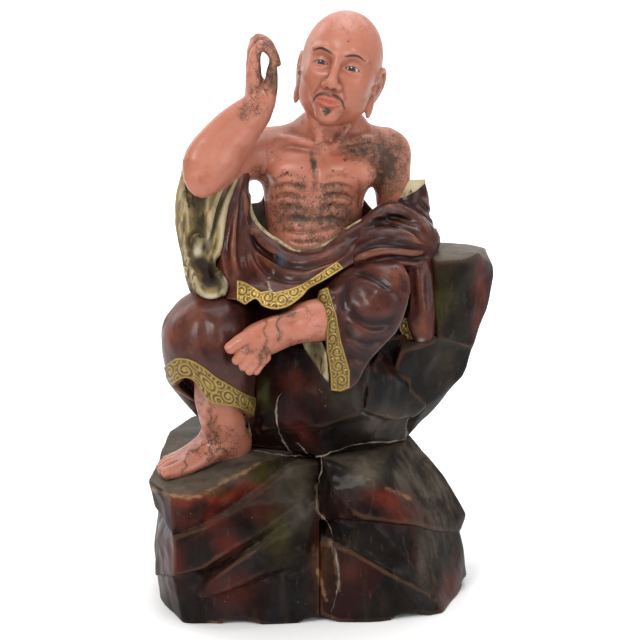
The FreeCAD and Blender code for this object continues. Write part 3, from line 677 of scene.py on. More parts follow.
class Mat:
    """Short ways to write a shader."""

    def __init__(self, name):
        self.m, self.nt, self.sh = new_material(name)
        tc = self.nt.nodes.new("ShaderNodeTexCoord")
        self.obj = tc.outputs["Object"]

    def link(self, a, b):
        self.nt.links.new(a, b)

    def put(self, sock, v):
        if hasattr(v, "links"):
            self.link(v, sock)
        else:
            sock.default_value = v

    def attr(self, name):
        n = self.nt.nodes.new("ShaderNodeAttribute")
        n.attribute_name = name
        return n.outputs["Fac"]

    def noise(self, scale, detail=4.0, rough=0.55, stretch=None, distort=0.0, colour=False):
        n = self.nt.nodes.new("ShaderNodeTexNoise")
        n.inputs["Scale"].default_value = scale
        n.inputs["Detail"].default_value = detail
        n.inputs["Roughness"].default_value = rough
        n.inputs["Distortion"].default_value = distort
        src = self.obj
        if stretch is not None:
            mp = self.nt.nodes.new("ShaderNodeMapping")
            mp.inputs["Scale"].default_value = stretch[:3]
            if len(stretch) > 3:
                mp.inputs["Rotation"].default_value = stretch[3:]
            self.link(src, mp.inputs["Vector"])
            src = mp.outputs["Vector"]
        self.link(src, n.inputs["Vector"])
        return n.outputs["Color"] if colour else n.outputs["Fac"]

    def voronoi(self, scale, feature="DISTANCE_TO_EDGE", warp=0.0):
        n = self.nt.nodes.new("ShaderNodeTexVoronoi")
        n.feature = feature
        n.inputs["Scale"].default_value = scale
        src = self.obj
        if warp:
            w = self.noise(scale * 1.7, 3.0, colour=True)
            mm = self.nt.nodes.new("ShaderNodeMix")
            mm.data_type = "VECTOR"
            mm.inputs[0].default_value = warp
            self.link(self.obj, mm.inputs[4])
            self.link(w, mm.inputs[5])
            src = mm.outputs[1]
        self.link(src, n.inputs["Vector"])
        return n.outputs["Distance"]

    def math(self, op, a, b=None, c=None, clamp=False):
        n = self.nt.nodes.new("ShaderNodeMath")
        n.operation = op
        n.use_clamp = clamp
        self.put(n.inputs[0], a)
        if b is not None:
            self.put(n.inputs[1], b)
        if c is not None:
            self.put(n.inputs[2], c)
        return n.outputs[0]

    def span(self, v, a, b, c=0.0, d=1.0, smooth=True):
        n = self.nt.nodes.new("ShaderNodeMapRange")
        n.interpolation_type = "SMOOTHSTEP" if smooth else "LINEAR"
        self.put(n.inputs[0], v)
        n.inputs[1].default_value = a
        n.inputs[2].default_value = b
        n.inputs[3].default_value = c
        n.inputs[4].default_value = d
        return n.outputs[0]

    def mix(self, f, a, b, mode="MIX"):
        n = self.nt.nodes.new("ShaderNodeMix")
        n.data_type = "RGBA"
        n.blend_type = mode
        self.put(n.inputs[0], f)
        self.put(n.inputs[6], tuple(a) + (1.0,) if isinstance(a, tuple) and len(a) == 3 else a)
        self.put(n.inputs[7], tuple(b) + (1.0,) if isinstance(b, tuple) and len(b) == 3 else b)
        return n.outputs[2]

    def bump(self, height, strength, distance=0.0006):
        n = self.nt.nodes.new("ShaderNodeBump")
        n.inputs["Strength"].default_value = strength
        n.inputs["Distance"].default_value = distance
        self.link(height, n.inputs["Height"])
        return n.outputs[0]

    def finish(self, colour, rough, normal=None, coat=0.0, coat_rough=0.15, metal=0.0, spec=0.5, sss=0.0):
        self.put(self.sh.inputs["Base Color"], tuple(colour) + (1.0,) if isinstance(colour, tuple) and len(colour) == 3 else colour)
        self.put(self.sh.inputs["Roughness"], rough)
        self.put(self.sh.inputs["Metallic"], metal)
        self.put(self.sh.inputs["Specular IOR Level"], spec)
        self.put(self.sh.inputs["Coat Weight"], coat)
        self.put(self.sh.inputs["Coat Roughness"], coat_rough)
        if normal is not None:
            self.link(normal, self.sh.inputs["Normal"])
        return self.m


def rock_material():
    M = Mat("rock_lacquer_paint")
    n1 = M.noise(38, 6, 0.6)
    n2 = M.noise(120, 5, 0.6)
    n3 = M.noise(14, 3, 0.5)
    tone = M.attr("tone")
    c = M.mix(M.span(n1, 0.35, 0.7), (0.0034, 0.0025, 0.0022), (0.0095, 0.0066, 0.0052))
    c = M.mix(M.math("MULTIPLY", M.span(tone, 0.45, 0.75, 0.0, 0.55), M.span(n3, 0.38, 0.66)), c, (0.026, 0.0050, 0.0044))
    c = M.mix(M.math("MULTIPLY", M.span(tone, 0.35, 0.1, 0.0, 0.5), M.span(n1, 0.3, 0.65)), c, (0.0150, 0.0155, 0.0190))
    c = M.mix(M.math("MULTIPLY", M.attr("red"), M.span(n1, 0.28, 0.62)), c, (0.120, 0.0165, 0.0085))
    c = M.mix(M.math("MULTIPLY", M.attr("olive"), M.span(n1, 0.3, 0.65)), c, (0.036, 0.031, 0.0075))
    # paler grey-brown from the grey mask: dust on upward faces and painted highlights on lit facets
    c = M.mix(M.math("MULTIPLY", M.attr("grey"), M.span(n2, 0.2, 0.7, 0.45, 1.0)), c, (0.112, 0.090, 0.068))
    rub = M.noise(85, 5, 0.65, stretch=(1.0, 1.0, 0.22))
    c = M.mix(M.math("MULTIPLY", M.span(rub, 0.54, 0.66), 0.34), c, (0.030, 0.021, 0.016))
    c = M.mix(M.math("MULTIPLY", M.span(M.noise(150, 5, 0.6, stretch=(1.0, 1.0, 0.3)), 0.60, 0.68), 0.30), c, (0.060, 0.042, 0.028))
    # bare brown wood with its grain
    grain = M.noise(60, 5, 0.65, stretch=(1.0, 1.0, 0.12, 0.0, 0.5, 0.0))
    gcol = M.mix(M.span(grain, 0.35, 0.65), (0.010, 0.007, 0.005), (0.085, 0.065, 0.048))
    c = M.mix(M.math("MULTIPLY", M.attr("grain"), M.span(n1, 0.3, 0.55)), c, gcol)
    # rubbed edges
    e = M.span(M.math("ADD", M.attr("edge"), M.math("MULTIPLY", M.math("SUBTRACT", n2, 0.5), 0.10)), 0.055, 0.16)
    c = M.mix(M.math("MULTIPLY", e, M.span(n3, 0.44, 0.66, 0.05, 0.42)), c, (0.140, 0.066, 0.038))
    w = M.math("MULTIPLY", M.attr("worn"), M.span(n2, 0.36, 0.60, 0.16, 1.0))
    c = M.mix(M.math("MULTIPLY", w, 0.52), c, (0.34, 0.19, 0.090))
    # dust that lies in the hollows
    dust = M.math("MULTIPLY", M.span(M.attr("fold"), -0.02, -0.10), M.span(n2, 0.45, 0.75))
    c = M.mix(M.math("MULTIPLY", dust, 0.22), c, (0.11, 0.095, 0.075))
    # pinholes and tiny chips
    sp = M.span(M.voronoi(330, "F1"), 0.10, 0.05)
    chips = M.math("MULTIPLY", sp, M.span(M.noise(55, 2), 0.60, 0.68))
    c = M.mix(chips, c, (0.45, 0.34, 0.20))
    r = M.span(n2, 0.2, 0.8, 0.24, 0.46, smooth=False)
    r = M.math("ADD", r, M.math("MULTIPLY", M.attr("grain"), 0.22))
    r = M.math("ADD", r, M.math("MULTIPLY", M.attr("grey"), 0.18))
    h = M.math("ADD", M.math("MULTIPLY", n2, 0.5), M.math("MULTIPLY", M.math("MULTIPLY", grain, M.attr("grain")), 0.8))
    return M.finish(c, r, M.bump(h, 0.35, 0.0012), coat=0.09, coat_rough=0.14, spec=0.035)


def filler_material():
    M = Mat("seam_filler_paint")
    n = M.noise(160, 5, 0.6)
    c = M.mix(M.span(n, 0.35, 0.65), (0.05, 0.040, 0.030), (0.21, 0.175, 0.13))
    c = M.mix(M.span(M.noise(30, 3), 0.52, 0.66), c, (0.035, 0.026, 0.020))
    return M.finish(c, 0.65, M.bump(n, 0.4))


# ------------------------------------------------------------------ rock
BOULDERS = {
    "L_step": [(-112.8, -58, 94.3), (-96.3, -88, 92.7), (-85.7, -91, 92.3), (-74.0, -90, 93.7), (-59.5, -78, 98.5), (-42.3, -60, 104.6), (-32.0, -46, 106.0), (-18.9, -26, 106.4), (-103, 20, 107), (-90, 52, 108), (-50, 70, 108), (6, 70, 108), (6, -10, 108), (-109.2, -58, 74.9), (-95.3, -80, 62.7), (-77.3, -82, 69.6), (-54.8, -70, 76.0), (-31.3, -50, 89.1), (-106, 30, 66), (-50, 70, 60), (6, 70, 60)],
    "L_ledge2": [(-95.0, -84, 63.3), (-76.4, -87, 70.5), (-54.4, -80, 78.5), (-31.1, -60, 92.2), (-16.7, -45, 100.1), (6, -35, 100), (-94.9, -82, 35.0), (-78.7, -87, 40.9), (-66.1, -89, 50.6), (-49.7, -87, 60.2), (-30.8, -80, 70.3), (-11.8, -68, 80.9), (6, -50, 52), (-110.3, -40, 46.4), (-110.9, -38, 20.0), (-108, 40, 80), (-110, 40, 20), (6, 60, 100), (6, 60, 20)],
    "L_ledge3": [(-72.4, -85, 32.6), (-47.7, -88, 51.6), (-36.6, -86, 58.5), (-19.7, -78, 62.0), (-9.9, -64, 76.8), (0.1, -58, 80.4), (6, -52, 72), (-77.7, -86, 20.4), (-44.6, -89, 35.4), (-34.0, -88, 41.3), (-20.3, -82, 42.6), (-9.8, -76, 50.2), (6, -60, 30), (-100, -30, 30), (-100, 30, 10), (6, 50, 10), (6, 50, 70)],
    "L_foot": [(-107, -34, -4), (-88.5, -76, -4), (-72, -75, -4), (-38, -78, -4), (-24, -76, -4), (6, -73, -4), (-112, 10, -4), (-104, 60, -4), (-70, 84, -4), (6, 88, -4), (-113.5, -10, 30), (-112, 40, 60), (-98, -66, 36), (-66, -80, 34), (-30, -80, 34), (6, -66, 50), (-84, 76, 84), (-40, 86, 92), (6, 88, 96), (-108, 20, 84)],
    "R_top": [(2.1, -50, 108.6), (26.2, -38, 113.4), (62.7, 0, 109.5), (-4, -20, 108), (40, -20, 108), (10.0, -66, 90.6), (37.0, -68, 98.8), (53.8, -40, 94.4), (54.5, -64, 73.3), (34.3, -76, 72.4), (25.8, -75, 75.5), (88.5, 0, 77.9), (103.4, 0, 51.8), (99.0, -6, 41.4), (88.9, -26, 46.0), (64.8, -58, 63.0), (48, 44, 108), (74, 50, 82), (92, 44, 54), (96, 46, 38), (-4, 60, 108), (-4, 60, 40), (-4, -50, 64)],
    "R_mid": [(13.4, -60, 72.7), (34.6, -66, 68.4), (65.2, -50, 59.6), (98.2, -8, 42.1), (101.3, -6, 31.2), (104.1, 0, 6.4), (87.2, -42, 2.0), (80.4, -52, 9.3), (60.8, -62, 39.8), (47.3, -68, 34.2), (18.7, -68, 50.3), (95, 44, 34), (101, 44, 8), (-4, 50, 70), (-4, 50, 10), (-4, -50, 40)],
    "R_low": [(9.4, -66, 49.6), (20.0, -71, 50.6), (47.2, -72, 34.2), (80.1, -58, 10.8), (-4, -60, 52), (86, -55, -4), (76, -61.5, -4), (40, -73, -4), (20, -75, -4), (-4, -72, -4), (102, -10, -4), (104, 20, -4), (99, 60, -4), (70, 80, -4), (-4, 88, -4), (92, 60, 36), (84, 58, 58), (52, 78, 88), (-4, 88, 96)],
    "S_seat": [(-48, -40, 188), (-40, -50, 150), (-52, -20, 150), (-50, -20, 104), (-58, 40, 188), (-56, 44, 104), (66, -20, 188), (62, -36, 150), (60, -10, 104), (70, 50, 188), (62, 50, 104), (-40, 70, 188), (-36, 72, 104), (48, 72, 188), (44, 70, 104), (30, -50, 188), (20, -40, 104), (-30, -30, 104), (-20, -56, 180)],
    "S_front": [(-39.7, -46, 165.3), (-37.4, -42, 124.3), (-25.0, -56, 132.4), (-11.7, -67, 138.9), (0.7, -74, 134.7), (28.2, -72, 143.6), (33.4, -64, 173.3), (7.9, -72, 157.1), (-8.4, -60, 183.7), (-40, -20, 186), (40, -20, 186), (46, -20, 120), (-40, -20, 116), (-32.9, -50, 181.3), (17.1, -70, 158.0)],
    "S_under": [(-32.2, -34, 115.0), (-11.9, -46, 113.6), (3.4, -48, 106), (26.2, -38, 112), (62.7, 0, 107), (62.3, -6, 118.3), (28.4, -62, 139.5), (0.7, -66, 131.1), (-11.8, -58, 132.9), (-32.0, -40, 127.2), (-36, 20, 104), (56, 20, 104), (-36, 20, 140), (56, 20, 140), (-20, -30, 104), (40, -25, 104)],
    "S_wedge": [(33.5, -62, 172.7), (48.9, -52, 163.4), (63.0, -34, 148.4), (73.9, -18, 133.6), (65.5, -26, 129.2), (50.7, -46, 132.0), (29.5, -70, 144.4), (39.6, -50, 179.9), (40, -20, 170), (70, -6, 160), (60, 10, 120), (30, 10, 120)],
    "O_top": [(70, 60, 229), (77, 22, 239.8), (107, 26, 237.6), (76, -30, 238), (100, -30, 238), (106.5, -22, 240.8), (108, 56, 222), (115.9, 24, 235.8), (119.4, 4, 226.7), (119.2, 0, 218.5), (114.7, -2, 198.1), (108.7, -4, 179.8), (105.2, -8, 171.7), (106, 60, 200), (92, 62, 160), (80.0, -32, 185.1), (70, 60, 160), (75.8, -30, 210.6), (78.1, -32, 236.7), (93.2, -33, 238.3)],
    "O_low": [(80.1, -30, 184.6), (105.3, -6, 171.9), (101.0, -2, 163.2), (100.4, -2, 154.7), (99.1, -2, 151.2), (90.3, -2, 139.9), (74.7, -4, 124.1), (62.6, 0, 107.8), (49.3, -40, 162.4), (63.2, -28, 147.5), (74.1, -14, 133.2), (54.3, -44, 179.8), (67.7, -40, 182.2), (60, 10, 180), (60, 60, 190), (96, 56, 190), (88, 56, 140), (62, 50, 107), (50, 50, 107), (50, 0, 107)],
}
HULL = {n: hull(p, 0.35) for n, p in BOULDERS.items()}
PLANES = {n: hull_planes(p) for n, p in BOULDERS.items()}


def gradient(F, p, e=0.6):
    p = np.asarray(p, float)
    g = []
    for q in range(3):
        a, b = p.copy(), p.copy()
        a[q] += e
        b[q] -= e
        g.append(float(F(a[:, None].astype(F4))[0] - F(b[:, None].astype(F4))[0]))
    g = np.array(g)
    return g / (np.linalg.norm(g) + 1e-9)


class Scallops:
    """Shallow tool marks: round dishes with crisp rims where they meet."""

    def __init__(self, rows):
        self.p = np.array([r[0] for r in rows])
        self.r = np.array([r[1] for r in rows])
        self.d = np.array([r[2] for r in rows])

    def __call__(self, P, d):
        lo = np.array([P[i].min() for i in range(3)])
        hi = np.array([P[i].max() for i in range(3)])
        near = np.all((self.p + self.r[:, None] > lo) & (self.p - self.r[:, None] < hi), axis=1)
        add = None
        for i in np.nonzero(near)[0]:
            q = ((P[0] - F4(self.p[i, 0])) ** 2 + (P[1] - F4(self.p[i, 1])) ** 2 + (P[2] - F4(self.p[i, 2])) ** 2) * F4(1.0 / self.r[i] ** 2)
            v = np.maximum(1 - q, 0) * F4(self.d[i])
            add = v if add is None else np.maximum(add, v)
        return d if add is None else d + add


def rock_field(names, seed, count, blend=1.0):
    F = Field()
    for n in names:
        F.add(HULL[n], blend)
    lo, hi = box_of(*[HULL[n] for n in names])
    rng = np.random.RandomState(seed)
    mid, half = (lo + hi) / 2, (hi - lo) / 2
    scoops = []
    tries = 0
    while len(scoops) < count and tries < count * 3:
        tries += 1
        ang = rng.uniform(0, 2 * math.pi)
        d = np.array([math.cos(ang), math.sin(ang) * (1.0 if math.sin(ang) > 0 else 1.3), rng.uniform(-0.25, 0.45)])
        d /= np.linalg.norm(d)
        target = mid + half * rng.uniform(-0.85, 0.85, 3)
        p = cast_dir(F, [target + d * 190], -d)[0]
        if abs(float(F(p[:, None].astype(F4))[0])) > 0.4:
            continue
        scoops.append((p, rng.uniform(9, 19), rng.uniform(0.35, 1.1)))
    F.change(Scallops(scoops))
    F.change(lambda P, d: d + wave(P, seed + 5, 26, 0.28) + wave(P, seed + 6, 9, 0.09))
    return F


def notch(x):
    def f(P):
        w = np.sqrt((P[0] - x) ** 2 + (P[2] + 20.0) ** 2) - 24.0
        return np.maximum(w, np.maximum(-100.0 - P[1], P[1] + 40.0 + 0 * P[0]))
    return Prim(f, (x - 24, -100, -44), (x + 24, -40, 4))


OUT_MAIN = Field().add(HULL["O_top"], 1.2).add(HULL["O_low"], 1.2)
rock_left = rock_field(["L_step", "L_ledge2", "L_ledge3", "L_foot"], 11, 70)
rock_right = rock_field(["R_top", "R_mid", "R_low"], 23, 60)
rock_seat = rock_field(["S_seat", "S_front", "S_under", "S_wedge"], 37, 34)
rock_out = rock_field(["O_top", "O_low"], 41, 30, 1.6)
for F in (rock_left, rock_right):
    F.sub(notch(-51.0), 0.8).sub(notch(0.0), 0.8).sub(notch(61.0), 0.8)
    F.keep(lambda P: -P[2])
# small chips at the worn ledge and on the corners
for F, rows in ((rock_left, [(-97, -88, 92, 4), (-60, -79, 99, 3.4), (-35, -52, 105, 3), (-78, -87, 70, 3), (-48, -88, 52, 2.6)]),
                (rock_right, [(38, -68, 98, 3.4), (54, -64, 74, 4), (90, -26, 46, 4.5), (80, -56, 12, 3.5), (20, -71, 51, 2.5)]),
                (rock_out, [(102, -30, 240, 3.2), (80, -31, 187, 3)])):
    for x, y, z, r in rows:
        F.sub(ball((x - 1, y - r * 0.9, z + r * 0.5), (r, r * 0.8, r * 0.9)), 0.5)

SEAM_X, SEAM_Z, SEAT_Z = 1.0, 108.0, 186.0
ROCK_ALL = Field().add(Prim(lambda P: rock_left(P), (-120, -95, 0), (6, 92, 110)), 0)
ROCK_ALL.add(Prim(lambda P: rock_right(P), (-4, -80, 0), (108, 92, 114)), 0)
ROCK_ALL.add(Prim(lambda P: rock_seat(P), (-60, -75, 104), (76, 74, 188)), 0)
ROCK_ALL.add(Prim(lambda P: rock_out(P), (46, -46, 106), (120, 64, 242)), 0)

RED = [(182, 499, 15, 9, 1.0), (228, 495, 14, 6, 0.9), (212, 497, 24, 8, 1.0), (250, 484, 14, 8, 1.2), (262, 478, 8, 8, 0.7), (200, 520, 26, 16, 0.6), (228, 545, 14, 10, 0.5), (170, 560, 12, 30, 0.6), (262, 510, 20, 16, 0.35),
       (230, 590, 30, 20, 0.4), (385, 498, 26, 10, 1.0), (405, 515, 18, 12, 0.7), (452, 590, 10, 18, 0.9), (296, 380, 20, 14, 0.5), (300, 430, 14, 16, 0.6), (330, 360, 10, 10, 0.5),
       (482, 300, 8, 60, 0.9), (350, 570, 16, 10, 0.4), (318, 560, 8, 40, 0.5)]
OLIVE = [(266, 392, 7, 16, 1.0), (268, 470, 14, 12, 0.9), (285, 520, 16, 26, 0.8), (302, 470, 10, 18, 0.8), (276, 545, 18, 18, 0.5), (440, 300, 22, 34, 0.75), (318, 565, 10, 26, 0.6), (215, 492, 16, 5, 0.9),
         (255, 478, 12, 6, 0.9), (350, 400, 20, 12, 0.25), (445, 360, 12, 10, 0.5), (372, 470, 6, 14, 0.5)]
WORN = [[(186, 498), (203, 495), (224, 481), (245, 472), (259, 463)], [(152, 489), (165, 494), (186, 498)],
        [(386, 489), (396, 492), (410, 498)], [(317, 485), (318, 511), (324, 520)], [(330, 540), (336, 560), (339, 590)],
        [(209, 624), (227, 620)], [(318, 570), (326, 600)]]
GRAIN = [(425, 468, 24, 34, 1.2), (440, 500, 20, 22, 1.0), (440, 548, 22, 34, 0.85), (410, 445, 20, 14, 0.6), (400, 470, 10, 16, 0.8), (452, 380, 14, 24, 0.35), (425, 575, 16, 20, 0.5)]
# spots of painted highlight on lit facets: the step, the outcrop top and the right block
DUST_AND_LIT_FACETS = [(180, 462, 18, 22, 0.9), (172, 480, 22, 9, 0.8), (215, 478, 34, 7, 0.8), (245, 458, 14, 6, 0.6), (366, 472, 16, 14, 0.85), (456, 250, 26, 9, 1.2), (342, 380, 20, 22, 0.35), (290, 474, 14, 16, 0.45), (300, 505, 14, 22, 0.5), (388, 420, 30, 14, 0.4)]


def rock_attrs(names, seed):
    def f(P, n):
        best = np.full(P[0].shape, 1e9, F4)
        tone = np.zeros(P[0].shape, F4)
        Q = P.astype(F4)
        rng = np.random.RandomState(seed)
        for nm in names:
            N, W = PLANES[nm]
            D = N.astype(F4) @ Q - W.astype(F4)[:, None]
            i = D.argmax(0)
            m = D.max(0)
            tn = rng.uniform(0, 1, len(W)).astype(F4)
            up = m < best
            best = np.where(up, m, best)
            tone = np.where(up, tn[i], tone)
        front = np.clip(-n[1] * 3 + 0.6, 0, 1)
        worn = np.zeros(P[0].shape)
        for ln in WORN:
            dd, al, sd = px_near(P, ln)
            worn = np.maximum(worn, np.clip(1.45 - dd / (1.15 + 0.45 * np.sin(al * 0.9)), 0, 1))
        return {
            "tone": tone,
            "red": np.clip(px_spots(P, RED), 0, 1.2) * front,
            "olive": np.clip(px_spots(P, OLIVE), 0, 1) * front,
            "grain": np.clip(px_spots(P, GRAIN), 0, 1) * front,
            # painted highlight spots on lit facets, plus dust on the upward faces
            "grey": np.clip(np.clip(px_spots(P, DUST_AND_LIT_FACETS), 0, 1.1) * front + np.clip((n[2] - 0.72) * 4, 0, 1) * 0.55, 0, 1),
            "worn": worn * front,
        }
    return f


MAT_ROCK = rock_material()
MAT_FILLER = filler_material()
out_solid = Prim(lambda P: OUT_MAIN(P), (46, -46, 106), (120, 64, 242))


def cut_seat(P):
    return np.maximum(SEAM_Z - P[2], np.maximum(P[2] - SEAT_Z, -OUT_MAIN(P) - 0.8))


def build_rock():
    def joined(F, g):
        return lambda P, lo=None, hi=None: np.maximum(F(P, lo, hi), g(P))
    make("rock_foot_block_carved", joined(rock_left, lambda P: np.maximum(P[0] - SEAM_X, P[2] - SEAM_Z)), (-118, -94, -1), (2, 91, 109), 0.95, MAT_ROCK,
         ["rock_foot_block"], rock_attrs(["L_step", "L_ledge2", "L_ledge3", "L_foot"], 3))
    make("rock_right_block_carved", joined(rock_right, lambda P: np.maximum(SEAM_X - P[0], P[2] - SEAM_Z)), (0, -79, -1), (107, 91, 109), 0.95, MAT_ROCK,
         ["rock_right_block"], rock_attrs(["R_top", "R_mid", "R_low"], 7))
    make("rock_seat_carved", joined(rock_seat, cut_seat), (-60, -77, 107), (76, 75, 187), 0.95, MAT_ROCK,
         ["rock_seat"], rock_attrs(["S_seat", "S_front", "S_under", "S_wedge"], 13))
    make("rock_outcrop_carved", joined(rock_out, lambda P: SEAM_Z - P[2]), (45, -47, 107), (121, 65, 242), 0.95, MAT_ROCK,
         ["rock_outcrop"], rock_attrs(["O_top", "O_low"], 17))
    lines = [[(244, 448), (262, 452), (279, 455), (300, 456), (320, 456), (338, 450), (357, 444), (376, 442), (396, 441), (407, 438)],
             [(321, 456), (322, 468), (318, 485), (317, 498), (318, 511), (329, 524), (333, 538), (335, 550), (339, 576), (336, 596), (331, 612)],
             [(282, 392), (277, 402), (277, 419), (281, 436), (287, 447), (292, 453)], [(297, 442), (308, 454)]]
    F = Field()
    for i, ln in enumerate(lines):
        dense = spline(ln, 5)
        rng = np.random.RandomState(60 + i)
        dense = dense + rng.normal(size=dense.shape) * 0.35
        p = cast(ROCK_ALL, dense)
        s = np.linspace(0, 1, len(p))
        r = (0.62 + 0.22 * np.sin(s * 17 + i) + 0.1 * rng.normal(size=len(p))) * np.clip(np.minimum(s, 1 - s) / 0.12, 0.35, 1)
        keep = np.ones(len(p), bool)
        jump = np.linalg.norm(np.diff(p, axis=0), axis=1)
        run = []
        for q in range(len(p)):
            if q and jump[q - 1] > 12:
                if len(run) > 1:
                    F.add(tube(np.array(run)), 0.3)
                run = []
            run.append(list(p[q]) + [max(r[q], 0.35)])
        if len(run) > 1:
            F.add(tube(np.array(run)), 0.3)
    make("rock_seam_filler", F, (-60, -92, 2), (66, 0, 160), 0.4, MAT_FILLER, [], crumbs=False)

# ------------------------------------------------------------------ bare skin
def skin_material():
    M = Mat("skin_lacquer_paint")
    n1 = M.noise(22, 4, 0.5)
    n2 = M.noise(90, 6, 0.62)
    n3 = M.noise(260, 5, 0.6)
    c = M.mix(M.span(n1, 0.3, 0.7), (0.355, 0.116, 0.068), (0.42, 0.162, 0.108))
    c = M.mix(M.span(n2, 0.52, 0.75), c, (0.30, 0.088, 0.046))
    # convex edges a little paler: partly rubbed wear, partly painted highlight
    c = M.mix(M.math("MULTIPLY", M.span(M.attr("edge"), 0.02, 0.12), 0.14), c, (0.50, 0.235, 0.165))
    # painted shade: darker in the hollows and creases
    low = M.span(M.attr("fold"), -0.015, -0.11)
    c = M.mix(M.math("MULTIPLY", low, 0.55), c, (0.17, 0.046, 0.024))
    # grime mask: soiling, plus painted shade in grooves, under the chin, where the foot meets the rock and on the
    # hand's far side
    g = M.attr("grime")
    # crackle in the lacquer, dark lines that thicken where the grime mask is high
    cr = M.voronoi(210, "DISTANCE_TO_EDGE", 0.012)
    cr2 = M.voronoi(95, "DISTANCE_TO_EDGE", 0.02)
    line = M.math("MULTIPLY", M.span(cr, 0.055, 0.012), M.span(M.math("ADD", g, M.math("MULTIPLY", M.math("SUBTRACT", n2, 0.5), 1.2)), 0.28, 0.62))
    line2 = M.math("MULTIPLY", M.span(cr2, 0.035, 0.006), M.span(M.math("ADD", g, M.math("MULTIPLY", M.math("SUBTRACT", n1, 0.5), 0.9)), 0.22, 0.5))
    c = M.mix(M.math("MULTIPLY", M.math("MAXIMUM", line, line2), 0.8), c, (0.085, 0.032, 0.018))
    # soiling, and painted shade where the grime mask holds shade
    gm = M.span(M.math("ADD", M.math("MULTIPLY", g, 0.85), M.math("MULTIPLY", M.math("SUBTRACT", n2, 0.5), 1.5)), 0.30, 0.85)
    c = M.mix(M.math("MULTIPLY", gm, 0.78), c, (0.135, 0.062, 0.032))
    gd = M.span(M.math("ADD", M.math("MULTIPLY", g, 0.8), M.math("MULTIPLY", M.math("SUBTRACT", n3, 0.5), 1.6)), 0.62, 0.98)
    c = M.mix(M.math("MULTIPLY", gd, 0.85), c, (0.030, 0.016, 0.010))
    # fine wandering cracks
    v1 = M.math("ABSOLUTE", M.math("SUBTRACT", M.noise(75, 5, 0.62), 0.5))
    v2 = M.math("ABSOLUTE", M.math("SUBTRACT", M.noise(140, 5, 0.6), 0.5))
    vm = M.math("ADD", g, M.math("MULTIPLY", M.math("SUBTRACT", n1, 0.5), 0.9))
    vein = M.math("MULTIPLY", M.span(v1, 0.014, 0.004), M.span(vm, 0.10, 0.38))
    vein2 = M.math("MULTIPLY", M.span(v2, 0.022, 0.006), M.span(vm, 0.30, 0.60))
    vein = M.math("MAXIMUM", vein, vein2)
    c = M.mix(M.math("MULTIPLY", vein, 0.85), c, (0.045, 0.020, 0.012))
    # freckles of old dirt and small losses all over
    sp = M.math("MULTIPLY", M.span(M.voronoi(240, "F1", 0.01), 0.16, 0.08), M.span(M.noise(48, 3), 0.56, 0.66))
    c = M.mix(M.math("MULTIPLY", sp, 0.85), c, (0.10, 0.038, 0.02))
    # dark paint of brows, lids, moustache and goatee, cracks, worm holes, and painted shade in the nostrils
    c = M.mix(M.math("MULTIPLY", M.attr("dark"), M.span(n3, 0.18, 0.42, 0.6, 1.0)), c, (0.028, 0.017, 0.012))
    c = M.mix(M.attr("lip"), c, (0.42, 0.085, 0.058))
    # painted highlight: paler skin on the upward faces of the toe tips
    c = M.mix(M.attr("pale"), c, (0.52, 0.30, 0.23))
    r = M.span(n2, 0.25, 0.8, 0.27, 0.50, smooth=False)
    r = M.math("ADD", r, M.math("MULTIPLY", gm, 0.25))
    h = M.math("SUBTRACT", M.math("MULTIPLY", n3, 0.35), M.math("MAXIMUM", line, line2))
    return M.finish(c, r, M.bump(h, 0.35, 0.0005), coat=0.10, coat_rough=0.28, spec=0.36)


MAT_SKIN = skin_material()
TORSO = loft_axis([(-4, 9, 222, 31, 24), (-4, 9, 234, 31, 24.5), (-4, 7.5, 246, 32, 26), (-3, 8, 262, 32.8, 25.5), (-2, 9, 276, 34.5, 25.5), (1, 11, 290, 39, 25.5), (4, 13, 302, 42.5, 23.5), (6, 14, 312, 36, 19.5), (8, 13, 319, 25, 17), (9, 12, 324, 20, 16)], 2, 3)
NECK = loft_axis([(8, 12, 312, 22, 16), (9, 12, 324, 19.5, 17.5), (10, 9, 331, 19, 18), (12, 6, 340, 19.5, 20), (13, 4, 350, 19.5, 20)], 2, 5)
R_UPPER = loft_path([(-26, 13, 303, 14, 15), (-34, 12, 303, 15, 16), (-45, 6, 301.5, 15, 15.5), (-57, -8, 298, 13.6, 14.4), (-70, -24, 294, 13, 13.5), (-78, -34, 291, 11.5, 12.5)], 5)
R_FORE = loft_path([(-83.2, -45.6, 279.6, 3.4, 3.6), (-82.4, -44.6, 281.6, 8.2, 8.8), (-80.6, -42.6, 285.2, 12.4, 13.2), (-77.5, -40, 290.5, 15.4, 16.2), (-72.5, -37, 297.5, 16.4, 17), (-64, -32, 308.5, 15.8, 16), (-52, -25.5, 322.5, 13.4, 13.6), (-44.5, -21.2, 330.5, 11.0, 11.4), (-39.5, -18.6, 336.5, 9.6, 10.2), (-38.4, -18, 339, 6, 6.5)], 6)
L_UPPER = loft_axis([(44, 14, 318, 6, 7), (46, 14, 312, 12, 12.5), (47.5, 14, 303, 14, 15), (48.5, 15, 290, 13, 14), (50, 17, 275, 11.4, 13), (51, 19, 262, 11, 12.5), (52, 19, 248, 11, 12), (52, 18, 238, 10, 11)], 2, 5)

BODY = Field()
BODY.add(TORSO)
BODY.add(L_UPPER, 9)
BODY.add(R_UPPER, 10)
BODY.add(NECK, 7)
# slope from the neck to the shoulders
BODY.add(tube([(10, 13, 325, 10), (-14, 14, 314, 9.5), (-32, 13, 308, 9)]), 8)
BODY.add(tube([(12, 13, 325, 10), (30, 15, 313, 9), (42, 15, 309, 9)]), 8)
# chest
BODY.add(ball((-15, -7.5, 293), (17, 8.5, 10.5)), 7)
BODY.add(ball((21.5, -8.5, 292), (17.5, 8.5, 10.5)), 7)
BODY.add(ball((3, -8, 282), (9, 8, 12)), 8)
BODY.add(ball((-3, -13, 243), (20, 8, 13)), 9)
